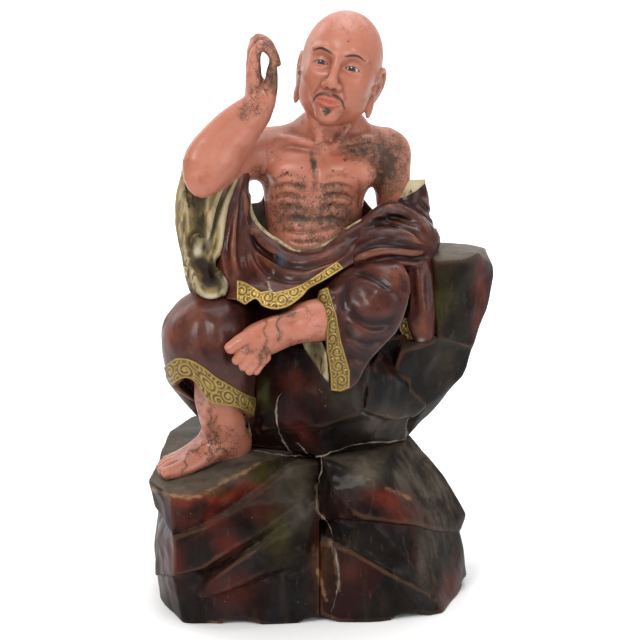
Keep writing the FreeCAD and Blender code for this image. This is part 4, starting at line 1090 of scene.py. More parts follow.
# collar bones and neck cords
BODY.add(tube([(4, -6.5, 311, 2.2), (-8, -6.5, 313, 2.6), (-20, -1.5, 314, 2.6), (-31, 4, 312, 2.4)], dense=3), 3.5)
BODY.add(tube([(11, -6.5, 311, 2.2), (22, -5.5, 313, 2.6), (32, 0, 313.5, 2.6), (42, 5, 311, 2.4)], dense=3), 3.5)
BODY.add(tube([(-6, 2, 338, 3.0), (-2, -4, 325, 2.8), (4, -6, 313, 2.2)], dense=3), 4)
BODY.add(tube([(27, 2, 336, 3.0), (20, -4, 324, 2.8), (12, -6, 312.5, 2.2)], dense=3), 4)
BODY.sub(ball((7.6, -10, 317), (4.6, 5, 5.5)), 4)
BODY.sub(ball((-14, -7, 320.5), (9, 5, 3.6)), 3.5)
BODY.sub(ball((27, -6, 320.5), (9, 5, 3.6)), 3.5)
# shoulder and arm muscle
BODY.add(ball((-38, 8, 304), (14, 14, 13)), 8)
BODY.add(ball((48.5, 12, 302), (12.5, 14, 14)), 7)
BODY.add(ball((51.5, 9, 284), (9, 10, 16)), 6)
ARM = Field().add(R_UPPER).add(R_FORE, 7)
ARM.add(ball((-66, -34, 305), (13, 13, 15)), 8)
ARM.add(ball((-80.5, -41.5, 290), (9.5, 9.5, 9.5)), 9)
ARM.change(lambda P, d: d + wave(P, 71, 22, 0.16))
elbow_outline = px_poly([(300, 10), (232, 10), (234, 88), (226, 103), (207, 123.5), (194, 138), (186, 149.5), (182, 160), (181.5, 168), (183, 180), (187.5, 190), (194, 196.5), (202, 199), (210, 197), (219, 191.5),
                         (228, 184), (236, 178), (246, 176), (320, 176), (320, 10)])
ARM.change(lambda P, d: smax(d, np.where(P[0] < -52, elbow_outline(P), -9.0).astype(F4), 3.0))
BODY.change(lambda P, d: d + wave(P, 72, 24, 0.18))


def chest(ln):
    return cast(BODY, spline(ln, 4))


# breastbone, ribs, belly creases
SKIN_LINES = [
    ([(311, 152), (314, 165), (315, 180), (313, 198)], -0.9, 3.2),
    ([(276, 187), (288, 184), (303, 186)], -0.9, 2.4), ([(273, 197), (287, 195), (304, 198)], -1.0, 2.6), ([(276, 208), (289, 206), (304, 209)], -0.9, 2.4), ([(281, 219), (293, 217), (305, 220)], -0.7, 2.2),
    ([(322, 186), (336, 184), (351, 187)], -0.9, 2.4), ([(321, 197), (336, 195), (352, 198)], -1.0, 2.6), ([(321, 208), (335, 206), (347, 209)], -0.9, 2.4), ([(321, 219), (332, 218), (343, 220)], -0.7, 2.2),
    ([(274, 179), (288, 175.5), (303, 178)], -0.8, 3.2), ([(323, 178), (338, 175), (353, 178)], -0.8, 3.2),
    ([(272, 192), (287, 189.5), (303, 192)], 0.55, 2.6), ([(274, 203), (288, 200.5), (304, 203.5)], 0.55, 2.6), ([(322, 192), (336, 189.5), (352, 192.5)], 0.55, 2.6), ([(322, 203), (335, 200.5), (350, 203.5)], 0.55, 2.6),
    ([(279, 229), (297, 232), (318, 231), (338, 226)], -1.1, 2.6), ([(288, 240), (303, 243), (322, 240)], -0.8, 2.2), ([(285, 224), (300, 226), (330, 223)], 0.5, 3.0),
    ([(268, 176), (267, 190), (266, 205), (268, 220)], -0.5, 4.0), ([(358, 178), (360, 192), (358, 206)], -0.5, 4.0),
]
SKIN_3D = [(chest(ln), a, w) for ln, a, w in SKIN_LINES]
for p, a, w in SKIN_3D:
    BODY.line(p, a, w)
# nipples; the navel point nv is found but not carved
nv = chest([(306, 236), (306.5, 237)])[0]
for x, y in ((285, 172), (345, 172)):
    q = cast(BODY, [(x, y)])[0]
    BODY.add(ball(q, (1.5, 1.2, 1.5)), 1.2)
# shoulder blades and spine
for ln in ([(6, 60, 316), (5, 60, 296), (3, 60, 276)],):
    BODY.line(cast_dir(BODY, spline(ln, 5), (0, -1, 0)), -1.6, 6)
for c in ((-18, 34, 298), (28, 35, 297)):
    BODY.add(ball(c, (13, 5.5, 15)), 6)
# beetle holes
HOLES = [(287, 173, 1.0), (345, 160, 0.8), (302, 168, 0.5), (333, 171, 0.6), (292, 181, 0.55), (258, 138, 0.6), (272, 152, 0.55), (330, 205, 0.7), (299, 226, 0.6), (351, 150, 0.6), (280, 160, 0.4), (325, 150, 0.45), (338, 214, 0.5)]
HOLE_3D = []
for x, y, r in HOLES:
    q = cast(BODY, [(x, y)])[0]
    HOLE_3D.append((q, r))
    BODY.sub(ball(q, (r, 2.6, r)), 0.15)

R_SHOULDER, L_SHOULDER = -34.0, 41.0
NECK_CUT = side_of((9, 12, 325), (-0.1, 0.25, -1.0))      # negative above: the head's side


def body_grime_and_shade(P, n):
    # soiled spots on the shoulders, chest and belly, painted shade along the carved grooves, and darker towards the
    # back
    g = 0.10 + 0.0 * P[0]
    g = g + px_spots(P, [(350, 150, 14, 12, 0.55), (372, 150, 20, 14, 0.75), (392, 160, 16, 24, 0.75), (385, 180, 12, 18, 0.7), (314, 166, 5, 13, 0.60), (300, 218, 28, 10, 0.75), (336, 206, 22, 16, 0.5),
                         (290, 205, 16, 8, 0.45), (268, 228, 8, 10, 0.5), (275, 150, 10, 8, 0.2), (260, 175, 8, 14, 0.45), (340, 222, 22, 8, 0.5), (318, 238, 26, 6, 0.25), (300, 186, 10, 4, 0.4), (330, 190, 18, 5, 0.35),
                         (322, 142, 14, 6, 0.35), (340, 136, 8, 6, 0.5)]) * np.clip(0.8 - 2 * n[1], 0.25, 1)
    for p, a, w in SKIN_3D:
        if a < 0:
            dd = np.full(P[0].shape, 1e9, F4)
            for i in range(0, len(p)):
                dd = np.minimum(dd, (P[0] - p[i, 0]) ** 2 + (P[1] - p[i, 1]) ** 2 + (P[2] - p[i, 2]) ** 2)
            g = g + 0.38 * np.exp(-dd / 3.2)
    dark = np.zeros(P[0].shape, F4)
    for q, r in HOLE_3D:
        dd = np.sqrt((P[0] - q[0]) ** 2 + (P[1] - q[1]) ** 2 + (P[2] - q[2]) ** 2)
        dark = np.maximum(dark, np.clip(1.6 - dd / r, 0, 1))
    back = np.clip(P[1] / 20, 0, 1) * 0.12
    return {"grime": np.clip(g + back, 0, 1.2), "dark": dark, "lip": np.zeros(P[0].shape), "pale": np.zeros(P[0].shape)}


# ------------------------------------------------------------------ head, in a frame of its own
TILT, YAW, NOD = math.radians(11.5), math.radians(8.0), math.radians(7.0)
_u = np.array([math.sin(TILT), 0, math.cos(TILT)])
_r = np.array([math.cos(TILT), 0, -math.sin(TILT)])
_f = np.array([0, -1.0, 0])
_f, _r = math.cos(YAW) * _f - math.sin(YAW) * _r, math.cos(YAW) * _r + math.sin(YAW) * _f
_f, _u = math.cos(NOD) * _f + math.sin(NOD) * _u, math.cos(NOD) * _u - math.sin(NOD) * _f
HEAD_O = np.array([15.0, -0.5, 362.0])
HEAD_AX = np.stack([_r, _f, _u])


def hp(x, f, u):
    """A point of the head: x to the figure's left, f forward, u up, from the middle of the head."""
    return HEAD_O + HEAD_AX.T @ np.array([x, f, u])


def hball(x, f, u, r, turn=0.0):
    A = HEAD_AX
    if turn:
        c, s = math.cos(turn), math.sin(turn)
        A = np.stack([c * HEAD_AX[0] + s * HEAD_AX[1], -s * HEAD_AX[0] + c * HEAD_AX[1], HEAD_AX[2]])
    return ball(hp(x, f, u), r, A)


def htube(rows, dense=3, mirror=1):
    return tube([list(hp(mirror * x, f, u)) + [r] for x, f, u, r in rows], dense=dense)


HEAD = Field()
HEAD.add(hball(0, -2.0, 6.2, (26.6, 30.2, 31.6)))
HEAD.add(hball(0, 3.0, -13.0, (22.0, 22.5, 25.0)), 9)
for s in (-1, 1):
    HEAD.add(hball(s * 11.5, 15.5, -9.0, (9, 8.5, 9)), 7)       # cheek
    HEAD.add(hball(s * 14.0, 4.0, -22.5, (7.5, 11, 9)), 7)      # jaw
HEAD.add(hball(0, 20.0, -21.5, (11, 7, 9)), 6)                  # round of the mouth
HEAD.add(hball(0, 20.5, -33.0, (7.5, 6.5, 5.8)), 6)             # chin
for s in (-1, 1):
    HEAD.add(htube([(3.5, 25.6, 7.0, 1.8), (9.5, 25.6, 9.6, 2.3), (16.5, 21.8, 8.4, 1.7)], mirror=s), 4)
    HEAD.sub(hball(s * 10.6, 30.0, 0.4, (8.4, 6.4, 5.2)), 4.5)  # eye hollow
    HEAD.add(hball(s * 10.4, 19.4, 0.2, (5.9, 5.9, 5.9)), 1.6)  # lids
HEAD.add(htube([(0, 25.0, 7.0, 2.6), (0, 27.4, 1.0, 2.3), (0, 29.4, -5.0, 2.6), (0, 31.4, -11.0, 3.5)]), 3.2)
HEAD.add(hball(0, 31.6, -12.2, (4.0, 3.9, 3.7)), 2.0)
for s in (-1, 1):
    HEAD.add(hball(s * 4.3, 28.6, -13.4, (2.7, 3.5, 2.7)), 1.4)
    HEAD.line(np.array([hp(s * 3.4, 31.6, -10.2), hp(s * 5.6, 29.8, -11.0), hp(s * 6.9, 27.4, -13.4)]), -0.7, 1.4)
    HEAD.sub(hball(s * 2.3, 31.0, -16.0, (1.25, 1.9, 1.5)), 0.5)
# lips
HEAD.add(htube([(-8.0, 25.4, -23.4, 0.8), (-4.0, 27.6, -22.3, 1.5), (-1.6, 28.5, -21.6, 1.7), (0, 28.3, -22.1, 1.5), (1.6, 28.5, -21.6, 1.7), (4.0, 27.6, -22.3, 1.5), (8.0, 25.4, -23.4, 0.8)]), 1.1)
HEAD.add(htube([(-6.8, 25.6, -24.6, 0.8), (-3.4, 27.5, -25.4, 1.7), (0, 28.1, -25.8, 2.0), (3.4, 27.5, -25.4, 1.7), (6.8, 25.6, -24.6, 0.8)]), 1.2)
mouth = spline([hp(-8.6, 26.2, -23.6), hp(-4.2, 28.8, -23.7), hp(0, 29.8, -24.0), hp(4.2, 28.8, -23.7), hp(8.6, 26.2, -23.6)], 6)
HEAD.line(mouth, -1.25, 1.15, fade=False, sharp=True)
HEAD.line(np.array([hp(0, 28.4, -16.8), hp(0, 28.6, -18.6), hp(0, 29.0, -20.6)]), -0.7, 1.6)
HEAD.line(spline([hp(-5, 26.0, -28.6), hp(0, 27.2, -29.4), hp(5, 26.0, -28.6)], 4), -0.7, 2.4)
for s in (-1, 1):
    HEAD.line(spline([hp(s * 7.2, 27.6, -13.6), hp(s * 9.8, 25.6, -18.0), hp(s * 11.4, 23.6, -23.0)], 4), -0.65, 2.8)
    # upper lid fold
    HEAD.line(spline([hp(s * 5.2, 24.6, 2.6), hp(s * 8.4, 26.0, 4.6), hp(s * 12.2, 25.2, 4.6), hp(s * 15.6, 21.8, 2.2)], 5), -0.55, 1.0, sharp=True)


def almond(s):
    """The opening between the lids: the overlap of two rounds across the face."""
    c = HEAD_O

    def f(P):
        v = [P[i] - F4(c[i]) for i in range(3)]
        x = (v[0] * _r[0] + v[1] * _r[1] + v[2] * _r[2]) * s - 10.4
        f_ = v[0] * _f[0] + v[1] * _f[1] + v[2] * _f[2]
        u = v[0] * _u[0] + v[1] * _u[1] + v[2] * _u[2]
        top = np.sqrt(x * x + (u + 6.9) ** 2) - 8.1
        bottom = np.sqrt(x * x + (u - 10.2) ** 2) - 11.5
        return np.maximum(np.maximum(top, bottom), np.maximum(19.0 - f_, f_ - 40))
    q = hp(s * 10.4, 25, 0)
    return Prim(f, q - 9, q + 9)


for s in (-1, 1):
    HEAD.sub(almond(s), 0.3)
# ears with long lobes
for s in (-1, 1):
    HEAD.add(hball(s * 25.2, -3.5, -8.0, (2.6, 7.6, 11.0), s * 0.35), 1.6)
    HEAD.add(hball(s * 24.6, -0.8, -21.5, (2.4, 4.2, 8.0), s * 0.25), 1.6)
    HEAD.add(htube([(25.2, 3.4, -4.0, 1.3), (26.6, 1.0, 1.6, 1.5), (27.6, -4.0, 4.2, 1.6), (28.6, -9.4, 1.6, 1.6), (28.8, -11.2, -5.0, 1.5), (27.6, -9.4, -12.0, 1.4), (26.0, -5.4, -17.5, 1.3)], mirror=s), 0.9)
    HEAD.add(htube([(26.4, -2.0, 0.0, 0.9), (27.4, -5.4, -3.0, 1.1), (27.2, -6.2, -8.0, 1.1), (26.2, -3.6, -14.0, 1.0)], mirror=s), 0.8)
    HEAD.sub(hball(s * 28.2, -1.4, -8.0, (2.4, 3.4, 5.0), s * 0.35), 1.0)
    HEAD.add(hball(s * 25.6, 2.6, -9.0, (1.5, 1.5, 2.0)), 0.9)
HEAD.add(NECK, 6)
HEAD.add(tube([(-6, 2, 340, 3.0), (-2, -4, 325, 2.8), (4, -6, 313, 2.2)], dense=3), 4)
HEAD.add(tube([(27, 2, 338, 3.0), (20, -4, 324, 2.8), (12, -6, 312.5, 2.2)], dense=3), 4)
HEAD.change(lambda P, d: d + wave(P, 73, 26, 0.12))
NECK_JOIN = Field().add(Prim(lambda P: BODY(P), (-60, -30, 222), (64, 42, 345))).add(Prim(lambda P: HEAD(P), (-24, -38, 312), (52, 38, 402)), 3)


def head_local(P):
    v = [P[i] - F4(HEAD_O[i]) for i in range(3)]
    return [v[0] * a[0] + v[1] * a[1] + v[2] * a[2] for a in HEAD_AX]


def flat_line(x, u, pts, w):
    """Soft painted stroke across the face plane; rows are x, u, half-width."""
    p = np.asarray(pts, float)
    best = np.zeros(x.shape)
    for i in range(len(p) - 1):
        ex, eu = p[i + 1, 0] - p[i, 0], p[i + 1, 1] - p[i, 1]
        h = np.clip(((x - p[i, 0]) * ex + (u - p[i, 1]) * eu) / (ex * ex + eu * eu + 1e-9), 0, 1)
        d = np.sqrt((x - p[i, 0] - ex * h) ** 2 + (u - p[i, 1] - eu * h) ** 2)
        ww = p[i, 2] + (p[i + 1, 2] - p[i, 2]) * h
        best = np.maximum(best, np.clip(0.5 + (ww - d) / w, 0, 1))
    return best


def head_attrs(P, n):
    x, f, u = head_local(P)
    front = np.clip((f - 12) / 4, 0, 1)
    dark = np.zeros(x.shape)
    lip = np.zeros(x.shape)
    for s in (-1, 1):
        dark = np.maximum(dark, flat_line(x, u, spline([(s * 4.4, 6.8, 0.3), (s * 8.0, 8.3, 0.8), (s * 12.6, 8.9, 0.8), (s * 17.6, 6.6, 0.2)], 5), 0.45) * front)
        dark = np.maximum(dark, flat_line(x, u, spline([(s * 5.4, -0.6, 0.15), (s * 7.8, 0.9, 0.35), (s * 10.6, 1.45, 0.42), (s * 13.4, 0.8, 0.35), (s * 16.0, -0.9, 0.2)], 5), 0.4) * front)
        dark = np.maximum(dark, 0.55 * flat_line(x, u, spline([(s * 6.0, -1.0, 0.08), (s * 10.4, -2.2, 0.1), (s * 14.6, -0.9, 0.08)], 5), 0.4) * front)
        m = flat_line(x, u, spline([(s * 1.6, -18.6, 0.6), (s * 5.0, -19.6, 1.0), (s * 8.6, -22.0, 0.9), (s * 10.8, -26.4, 0.35)], 5), 0.8)
        dark = np.maximum(dark, m * 0.92 * front)
    m = np.clip(1.2 - np.sqrt((x / (2.9 - 0.5 * np.clip(-30.0 - u, 0, 3))) ** 2 + ((u + 30.6) / 2.6) ** 2), 0, 1)
    dark = np.maximum(dark, np.clip(m * 2.2, 0, 0.9) * front)
    dark = np.maximum(dark, np.clip(flat_line(x, u, [(-7.6, -23.6, 0.05), (-4, -23.75, 0.1), (0, -24.0, 0.12), (4, -23.75, 0.1), (7.6, -23.6, 0.05)], 0.35), 0, 0.8) * front)
    # painted shade: nostrils darkened
    for s in (-1, 1):
        dark = np.maximum(dark, np.clip(1.5 - np.sqrt(((x - s * 2.3) / 1.2) ** 2 + ((u + 16.2) / 1.2) ** 2), 0, 1) * np.clip((f - 28.5) * 2, 0, 1))
    up = np.clip(1.5 - np.abs(u + 22.3 + 0.012 * x * x * 0 + np.abs(x) * 0.08) / 1.25, 0, 1) * np.clip((8.2 - np.abs(x)) / 1.5, 0, 1)
    dn = np.clip(1.5 - np.abs(u + 25.6 - 0.014 * x * x) / 1.7, 0, 1) * np.clip((7.2 - np.abs(x)) / 2, 0, 1)
    lip = np.clip(np.maximum(up, dn), 0, 1) * np.clip((f - 23.5), 0, 1) * 0.62
    # darker round the ears and beside the chin, and painted shade on the neck under the jaw
    g = 0.07 + 0.30 * np.exp(-((np.abs(x) - 26) / 3.5) ** 2) * np.exp(-((u + 10) / 12) ** 2) + spots(P, [(22, -6, 322, 9, 0.4), (9, -8, 318, 8, 0.35), (30, 2, 322, 9, 0.6), (-2, -6, 322, 6, 0.2)])
    g = g + 0.16 * np.exp(-((np.abs(x) - 10) / 4) ** 2 - ((u + 30) / 5) ** 2) * front
    # one small round loss high on the brow
    hd = np.sqrt((x - 4.2) ** 2 + (u - 17.0) ** 2)
    dark = np.maximum(dark, np.clip(1.5 - hd / 0.55, 0, 1) * front)
    return {"grime": np.clip(g, 0, 1), "dark": np.clip(dark, 0, 1), "lip": lip, "pale": np.zeros(x.shape)}


def eye_material():
    M = Mat("eye_paint")
    n = M.noise(300, 3)
    c = M.mix(M.span(n, 0.35, 0.7), (0.40, 0.31, 0.22), (0.56, 0.47, 0.37))
    # painted shade: the eyeball darkens towards its edge under the lids
    c = M.mix(M.span(M.attr("rim"), 0.0, 1.0, 0.0, 0.75), c, (0.16, 0.07, 0.04))
    c = M.mix(M.attr("iris"), c, (0.020, 0.011, 0.008))
    return M.finish(c, 0.14, coat=0.6, coat_rough=0.06)


MAT_EYE = eye_material()


def make_eye(s, name):
    c = hp(s * 10.4, 19.4, 0.2)
    R = 5.25
    nu, nv = 72, 40
    vs, iris, rim = [], [], []
    gaze = HEAD_AX.T @ np.array([-s * 0.02, 1.0, -0.16])
    gaze /= np.linalg.norm(gaze)
    a0 = np.cross(gaze, HEAD_AX[2])
    a0 /= np.linalg.norm(a0)
    b0 = np.cross(a0, gaze)
    for j in range(nv + 1):
        th = math.pi * j / nv
        for i in range(nu):
            ph = 2 * math.pi * i / nu
            v = c + R * (math.cos(th) * gaze + math.sin(th) * (math.cos(ph) * a0 + math.sin(ph) * b0))
            vs.append((v + SHIFT) * 0.001)
            d = R * th
            iris.append(min(max((2.75 - d) / 0.12 + 0.5, 0), 1))
            rim.append(min(max((d - 3.6) / 1.6, 0), 1))
    fs = []
    for j in range(nv):
        for i in range(nu):
            fs.append((j * nu + i, (j + 1) * nu + i, (j + 1) * nu + (i + 1) % nu, j * nu + (i + 1) % nu))
    me = bpy.data.meshes.new(name)
    me.from_pydata([tuple(v) for v in vs], [], fs)
    me.validate()
    me.shade_smooth()
    for k, v in (("iris", iris), ("rim", rim)):
        at = me.attributes.new(k, "FLOAT", "POINT")
        at.data.foreach_set("value", np.array(v, F4)[:len(me.vertices)])
    me.materials.append(MAT_EYE)
    ob = bpy.data.objects.new(name, me)
    bpy.context.scene.collection.objects.link(ob)
    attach(ob, "root")
    PIECES.append(ob)


# ------------------------------------------------------------------ right hand
HAND = Field()
HAND.add(tube([(-43.5, -21.5, 331.5, 10.0), (-39.2, -18.2, 340, 9.7), (-38.6, -17.8, 347, 8.2)], dense=4))
FINGERS = {
    "little": [(-42.6, -9.0, 362, 4.2), (-43.0, -8.6, 372, 3.7), (-40.8, -9.2, 379.6, 3.4), (-36.0, -10.2, 381.0, 3.0), (-31.6, -11.2, 376.6, 2.4)],
    "ring": [(-42.8, -14.4, 365, 4.3), (-42.2, -14.6, 375.5, 3.9), (-38.2, -15.6, 381.6, 3.6), (-32.6, -16.6, 379.2, 3.2), (-28.6, -17.6, 372.6, 2.6)],
    "middle": [(-42.4, -20.2, 366, 4.3), (-41.6, -20.8, 376.0, 3.9), (-37.2, -21.8, 381.2, 3.6), (-31.6, -22.6, 377.8, 3.3), (-27.6, -23.2, 370.6, 2.8), (-26.2, -23.4, 367, 2.2)],
    "index": [(-41.4, -26.0, 364, 4.2), (-40.4, -27.0, 374.0, 3.8), (-36.2, -27.8, 378.6, 3.5), (-31.2, -28.0, 375.4, 3.2), (-28.2, -27.8, 369.4, 2.7)],
}
for nm, rows in FINGERS.items():
    a = rows[0]
    HAND.add(tube([(-39.4, -18 + (a[1] + 17.5) * 0.55, 342, 5.6), (a[0] * 0.6 - 16.2, a[1] * 0.85 - 2.6, 353, 5.2), a], dense=4), 4)
for nm, rows in FINGERS.items():
    HAND.add(tube(rows, dense=4), 1.2)
HAND.add(tube([(-34.5, -23.0, 340, 6.2), (-31.5, -26.0, 349, 5.2), (-30.2, -27.6, 357, 4.2), (-29.8, -28.0, 363, 3.5), (-29.2, -27.6, 367.4, 2.6)], dense=4), 2.6)
HAND.add(ball((-35.5, -21.5, 343), (6.5, 6.5, 9)), 4)
HAND.add(ball((-36.5, -12.5, 345), (5, 4.5, 9)), 4)
# creases between the fingers, knuckle folds and two more creases
for a, b in (("little", "ring"), ("ring", "middle"), ("middle", "index")):
    A, B = np.array(FINGERS[a])[:, :3], np.array(FINGERS[b])[:, :3]
    m = (A[:2] + B[:2]) / 2
    m[:, 0] -= 3.2
    HAND.line(np.vstack([m[0] - [0, 0, 7], m]), -0.9, 2.0, fade=False)
for rows in FINGERS.values():
    r = np.array(rows)
    k = r[2]
    HAND.add(ball(k[:3] + [-0.8, 0, 0.8], (k[3] * 0.9, k[3] * 0.9, k[3] * 0.9)), 1.5)
HAND.line(spline([(-36.5, -29.5, 352), (-33.8, -30.2, 349), (-31.5, -31, 344)], 3), -0.7, 1.8)
HAND.line(spline([(-45.5, -9, 350), (-46.5, -17, 352), (-45.8, -25, 351)], 4), -0.25, 3.0)
HAND.change(lambda P, d: d + wave(P, 74, 14, 0.10))
FOREHAND = Field().add(Prim(lambda P: ARM(P), (-101, -62, 268), (-24, 32, 352))).add(Prim(lambda P: HAND(P), (-56, -36, 318), (-20, 0, 392)), 4)
# the fuller outer side of the forearm
FORE_ROWS = []
for x, y, r in ((254, 99.5, 6.5), (246, 106, 8.5), (239, 112.5, 10.5), (229, 122, 12.5), (218.5, 132, 13.5), (208, 142, 14), (199.5, 152, 14), (196, 161, 13)):
    q = cast(FOREHAND, [(x + 4, y + 5)])[0]
    FORE_ROWS.append(list(at_depth(x, y, q[1] + r * 0.68 * 0.95)) + [r * 0.68])
FOREHAND = Field().add(Prim(lambda P: ARM(P), (-101, -62, 268), (-24, 32, 352))).add(tube(FORE_ROWS, dense=3), 4).add(Prim(lambda P: HAND(P), (-56, -36, 318), (-20, 0, 392)), 4)
FOREHAND.change(lambda P, d: smax(d, np.where(P[0] < -52, elbow_outline(P), -9.0).astype(F4), 2.0))
HAND_SPLIT = side_of((-38.5, -18.5, 337), (0.62, 0.3, 0.78))     # negative on the forearm's side


def hand_attrs(P, n):
    g = 0.08 + px_spots(P, [(268, 70, 8, 14, 0.9), (266, 48, 8, 10, 0.6), (256, 42, 5, 12, 0.45), (254, 92, 6, 8, 0.55), (246, 108, 12, 9, 0.35), (262, 106, 12, 8, 0.3), (272, 82, 5, 12, 0.4), (262, 118, 14, 8, 0.2), (240, 116, 10, 6, 0.3)])
    # painted shade: the fingers darker on their faces turned away from the key light
    g = g + 0.5 * np.clip(n[0] * 1.2 - 0.1, 0, 1) * np.clip((P[2] - 345) / 10, 0, 1)
    return {"grime": np.clip(g, 0, 1), "dark": np.zeros(P[0].shape), "lip": np.zeros(P[0].shape), "pale": np.zeros(P[0].shape)}


# ------------------------------------------------------------------ feet
R_SHIN = loft_axis([(-69, -50, 172, 15, 15), (-67, -49.5, 158, 15.5, 16.5), (-66, -47.5, 146, 15.8, 17), (-64, -41, 131, 15.2, 16.5), (-62.3, -34, 118, 14.0, 15), (-60, -29, 108, 12.6, 14), (-58.5, -27, 98, 11.5, 13)], 2, 4)
R_FOOT = loft_path([(-50, -21, 110.5, 8.5, 8.6), (-55, -24.5, 112.5, 11.2, 11), (-62, -30, 113.5, 12, 11.5), (-71, -36, 111.2, 13.2, 10.4), (-80, -42, 107.2, 14.8, 8.4), (-89, -47.3, 103.8, 15.8, 6.7), (-95, -50.8, 102, 14.6, 5.0), (-98.5, -53, 101, 10, 3.4)], 4)
TOES_R = {
    1: [(-86, -55.5, 102.8, 5.6), (-93, -60, 101.6, 5.2), (-99.2, -63.2, 100.8, 4.5)],
    2: [(-91, -51.4, 103.2, 4.2), (-97.5, -54.6, 103.6, 3.7), (-103, -57, 100.4, 3.3)],
    3: [(-92, -46.6, 103.4, 4.0), (-98.4, -49, 103.9, 3.5), (-104.2, -50.8, 100.6, 3.1)],
    4: [(-92.5, -41.6, 103.8, 3.8), (-98.0, -43.2, 104.2, 3.3), (-103.8, -44.6, 101.4, 2.9)],
    5: [(-91.5, -36.8, 104.6, 3.6), (-96.8, -37.6, 104.6, 3.1), (-101.8, -38.3, 102.6, 2.7)],
}
FOOT_R = Field().add(R_SHIN).add(R_FOOT, 8)
FOOT_R.add(ball((-60, -41.5, 112.5), (4.2, 3.6, 4.4)), 3.5)
FOOT_R.add(ball((-71, -28, 115), (4, 3.6, 4.2)), 3.5)
FOOT_R.add(tube([(-66, -43, 122, 2.6), (-76, -44, 113, 2.6), (-86, -49, 108.5, 1.8)], dense=3), 4)
for k, rows in TOES_R.items():
    FOOT_R.add(tube(rows, dense=3), 1.0)
TOES_L = {
    1: [(-42.5, -80.6, 198.4, 5.5), (-49.5, -83.6, 195.2, 5.1), (-55.6, -85.0, 191.4, 4.2)],
    2: [(-41.6, -83.0, 192.0, 4.3), (-47.8, -85.6, 188.4, 3.8), (-52.0, -85.8, 183.4, 3.3)],
    3: [(-39.2, -83.2, 188.2, 4.0), (-44.6, -85.8, 184.2, 3.5), (-48.0, -85.6, 179.2, 3.0)],
    4: [(-36.4, -82.4, 185.4, 3.8), (-41.0, -85.2, 181.0, 3.2), (-43.9, -85.0, 176.0, 2.8)],
    5: [(-33.6, -80.0, 183.8, 3.5), (-37.4, -82.8, 179.4, 2.9), (-39.8, -82.8, 175.2, 2.5)],
}
L_FOOT = loft_path([(20, -58, 206, 13, 15), (6, -60, 204.5, 12.6, 14.4), (-9, -64, 203, 12.0, 13.4), (-21, -68, 199.6, 10.8, 11.6), (-33, -74, 195.8, 10.6, 11.8), (-42, -78, 193, 9.8, 10.8), (-48, -80.5, 190.6, 7, 7.6)], 4)
FOOT_L = Field().add(L_FOOT)
FOOT_L.add(ball((-8, -72.5, 201.5), (5.5, 4.2, 6)), 6)
FOOT_L.add(tube([(-10, -72, 212, 2.4), (-26, -77, 208, 2.4), (-42, -82, 201, 1.8)], dense=3), 4)
for k, rows in TOES_L.items():
    FOOT_L.add(tube(rows, dense=3), 1.0)
for F, T, out in ((FOOT_R, TOES_R, (-0.3, -0.25, 0.9)), (FOOT_L, TOES_L, (-0.4, -0.75, 0.5))):
    o = np.array(out) / np.linalg.norm(out)
    for k, rows in T.items():
        r = np.array(rows)
        d = r[2, :3] - r[1, :3]
        d /= np.linalg.norm(d)
        nl = r[2, :3] + o * (r[2, 3] * 0.78) + d * 0.2
        X = np.cross(o, d)
        X /= np.linalg.norm(X)
        A = np.stack([X, np.cross(X, d) * 0 + np.cross(d, X), d])
        F.add(ball(nl, (r[2, 3] * 0.62, 0.9, r[2, 3] * 0.78), A), 0.25)
        F.line(np.array([nl - d * r[2, 3] * 0.9 - X * r[2, 3] * 0.5, nl - d * r[2, 3] * 1.05, nl - d * r[2, 3] * 0.9 + X * r[2, 3] * 0.5]), -0.35, 0.9, fade=False)
# rings of cracked lacquer at the ankles
ANKLE_LINES = [[(209, 401), (212, 407), (209, 413), (212, 419), (208.5, 425), (211.5, 431), (208, 436), (210, 440), (206, 443.5), (201, 445.5), (197, 450), (192, 451)],
               [(208, 436), (212, 442), (209, 449), (213, 455), (210, 461)], [(211.5, 431), (217, 434), (215, 440), (219, 443)], [(216, 451), (221, 448), (227, 452)],
               [(189, 455), (185, 461), (187, 466), (182, 470)], [(196, 403), (200, 409), (197, 414)], [(208.5, 425), (214, 422), (217, 416)]]
ANKLE_R = [cast(FOOT_R, spline(ln, 7)) for ln in ANKLE_LINES]
for p in ANKLE_R:
    FOOT_R.line(p, -0.35, 0.8, sharp=True)
ANKLE_LINES_L = [[(263, 317), (266.5, 323), (263.5, 331), (267, 339), (264.5, 349)], [(276, 309), (279.5, 316), (276.5, 324), (280, 333), (278, 340)]]
ANKLE_L = [cast(FOOT_L, spline(ln, 7)) for ln in ANKLE_LINES_L]
for p in ANKLE_L:
    FOOT_L.line(p, -0.35, 0.8, sharp=True)
FOOT_R.change(lambda P, d: d + wave(P, 75, 18, 0.14))
FOOT_L.change(lambda P, d: d + wave(P, 76, 18, 0.14))
TOE_SPLIT = side_of((-81, -43, 108), (-0.83, -0.56, 0))          # positive on the toes' side


def near_lines(P, lines, r):
    d = np.full(P[0].shape, 1e9, F4)
    for p in lines:
        for i in range(len(p)):
            d = np.minimum(d, (P[0] - p[i, 0]) ** 2 + (P[1] - p[i, 1]) ** 2 + (P[2] - p[i, 2]) ** 2)
    return np.exp(-d / (r * r))


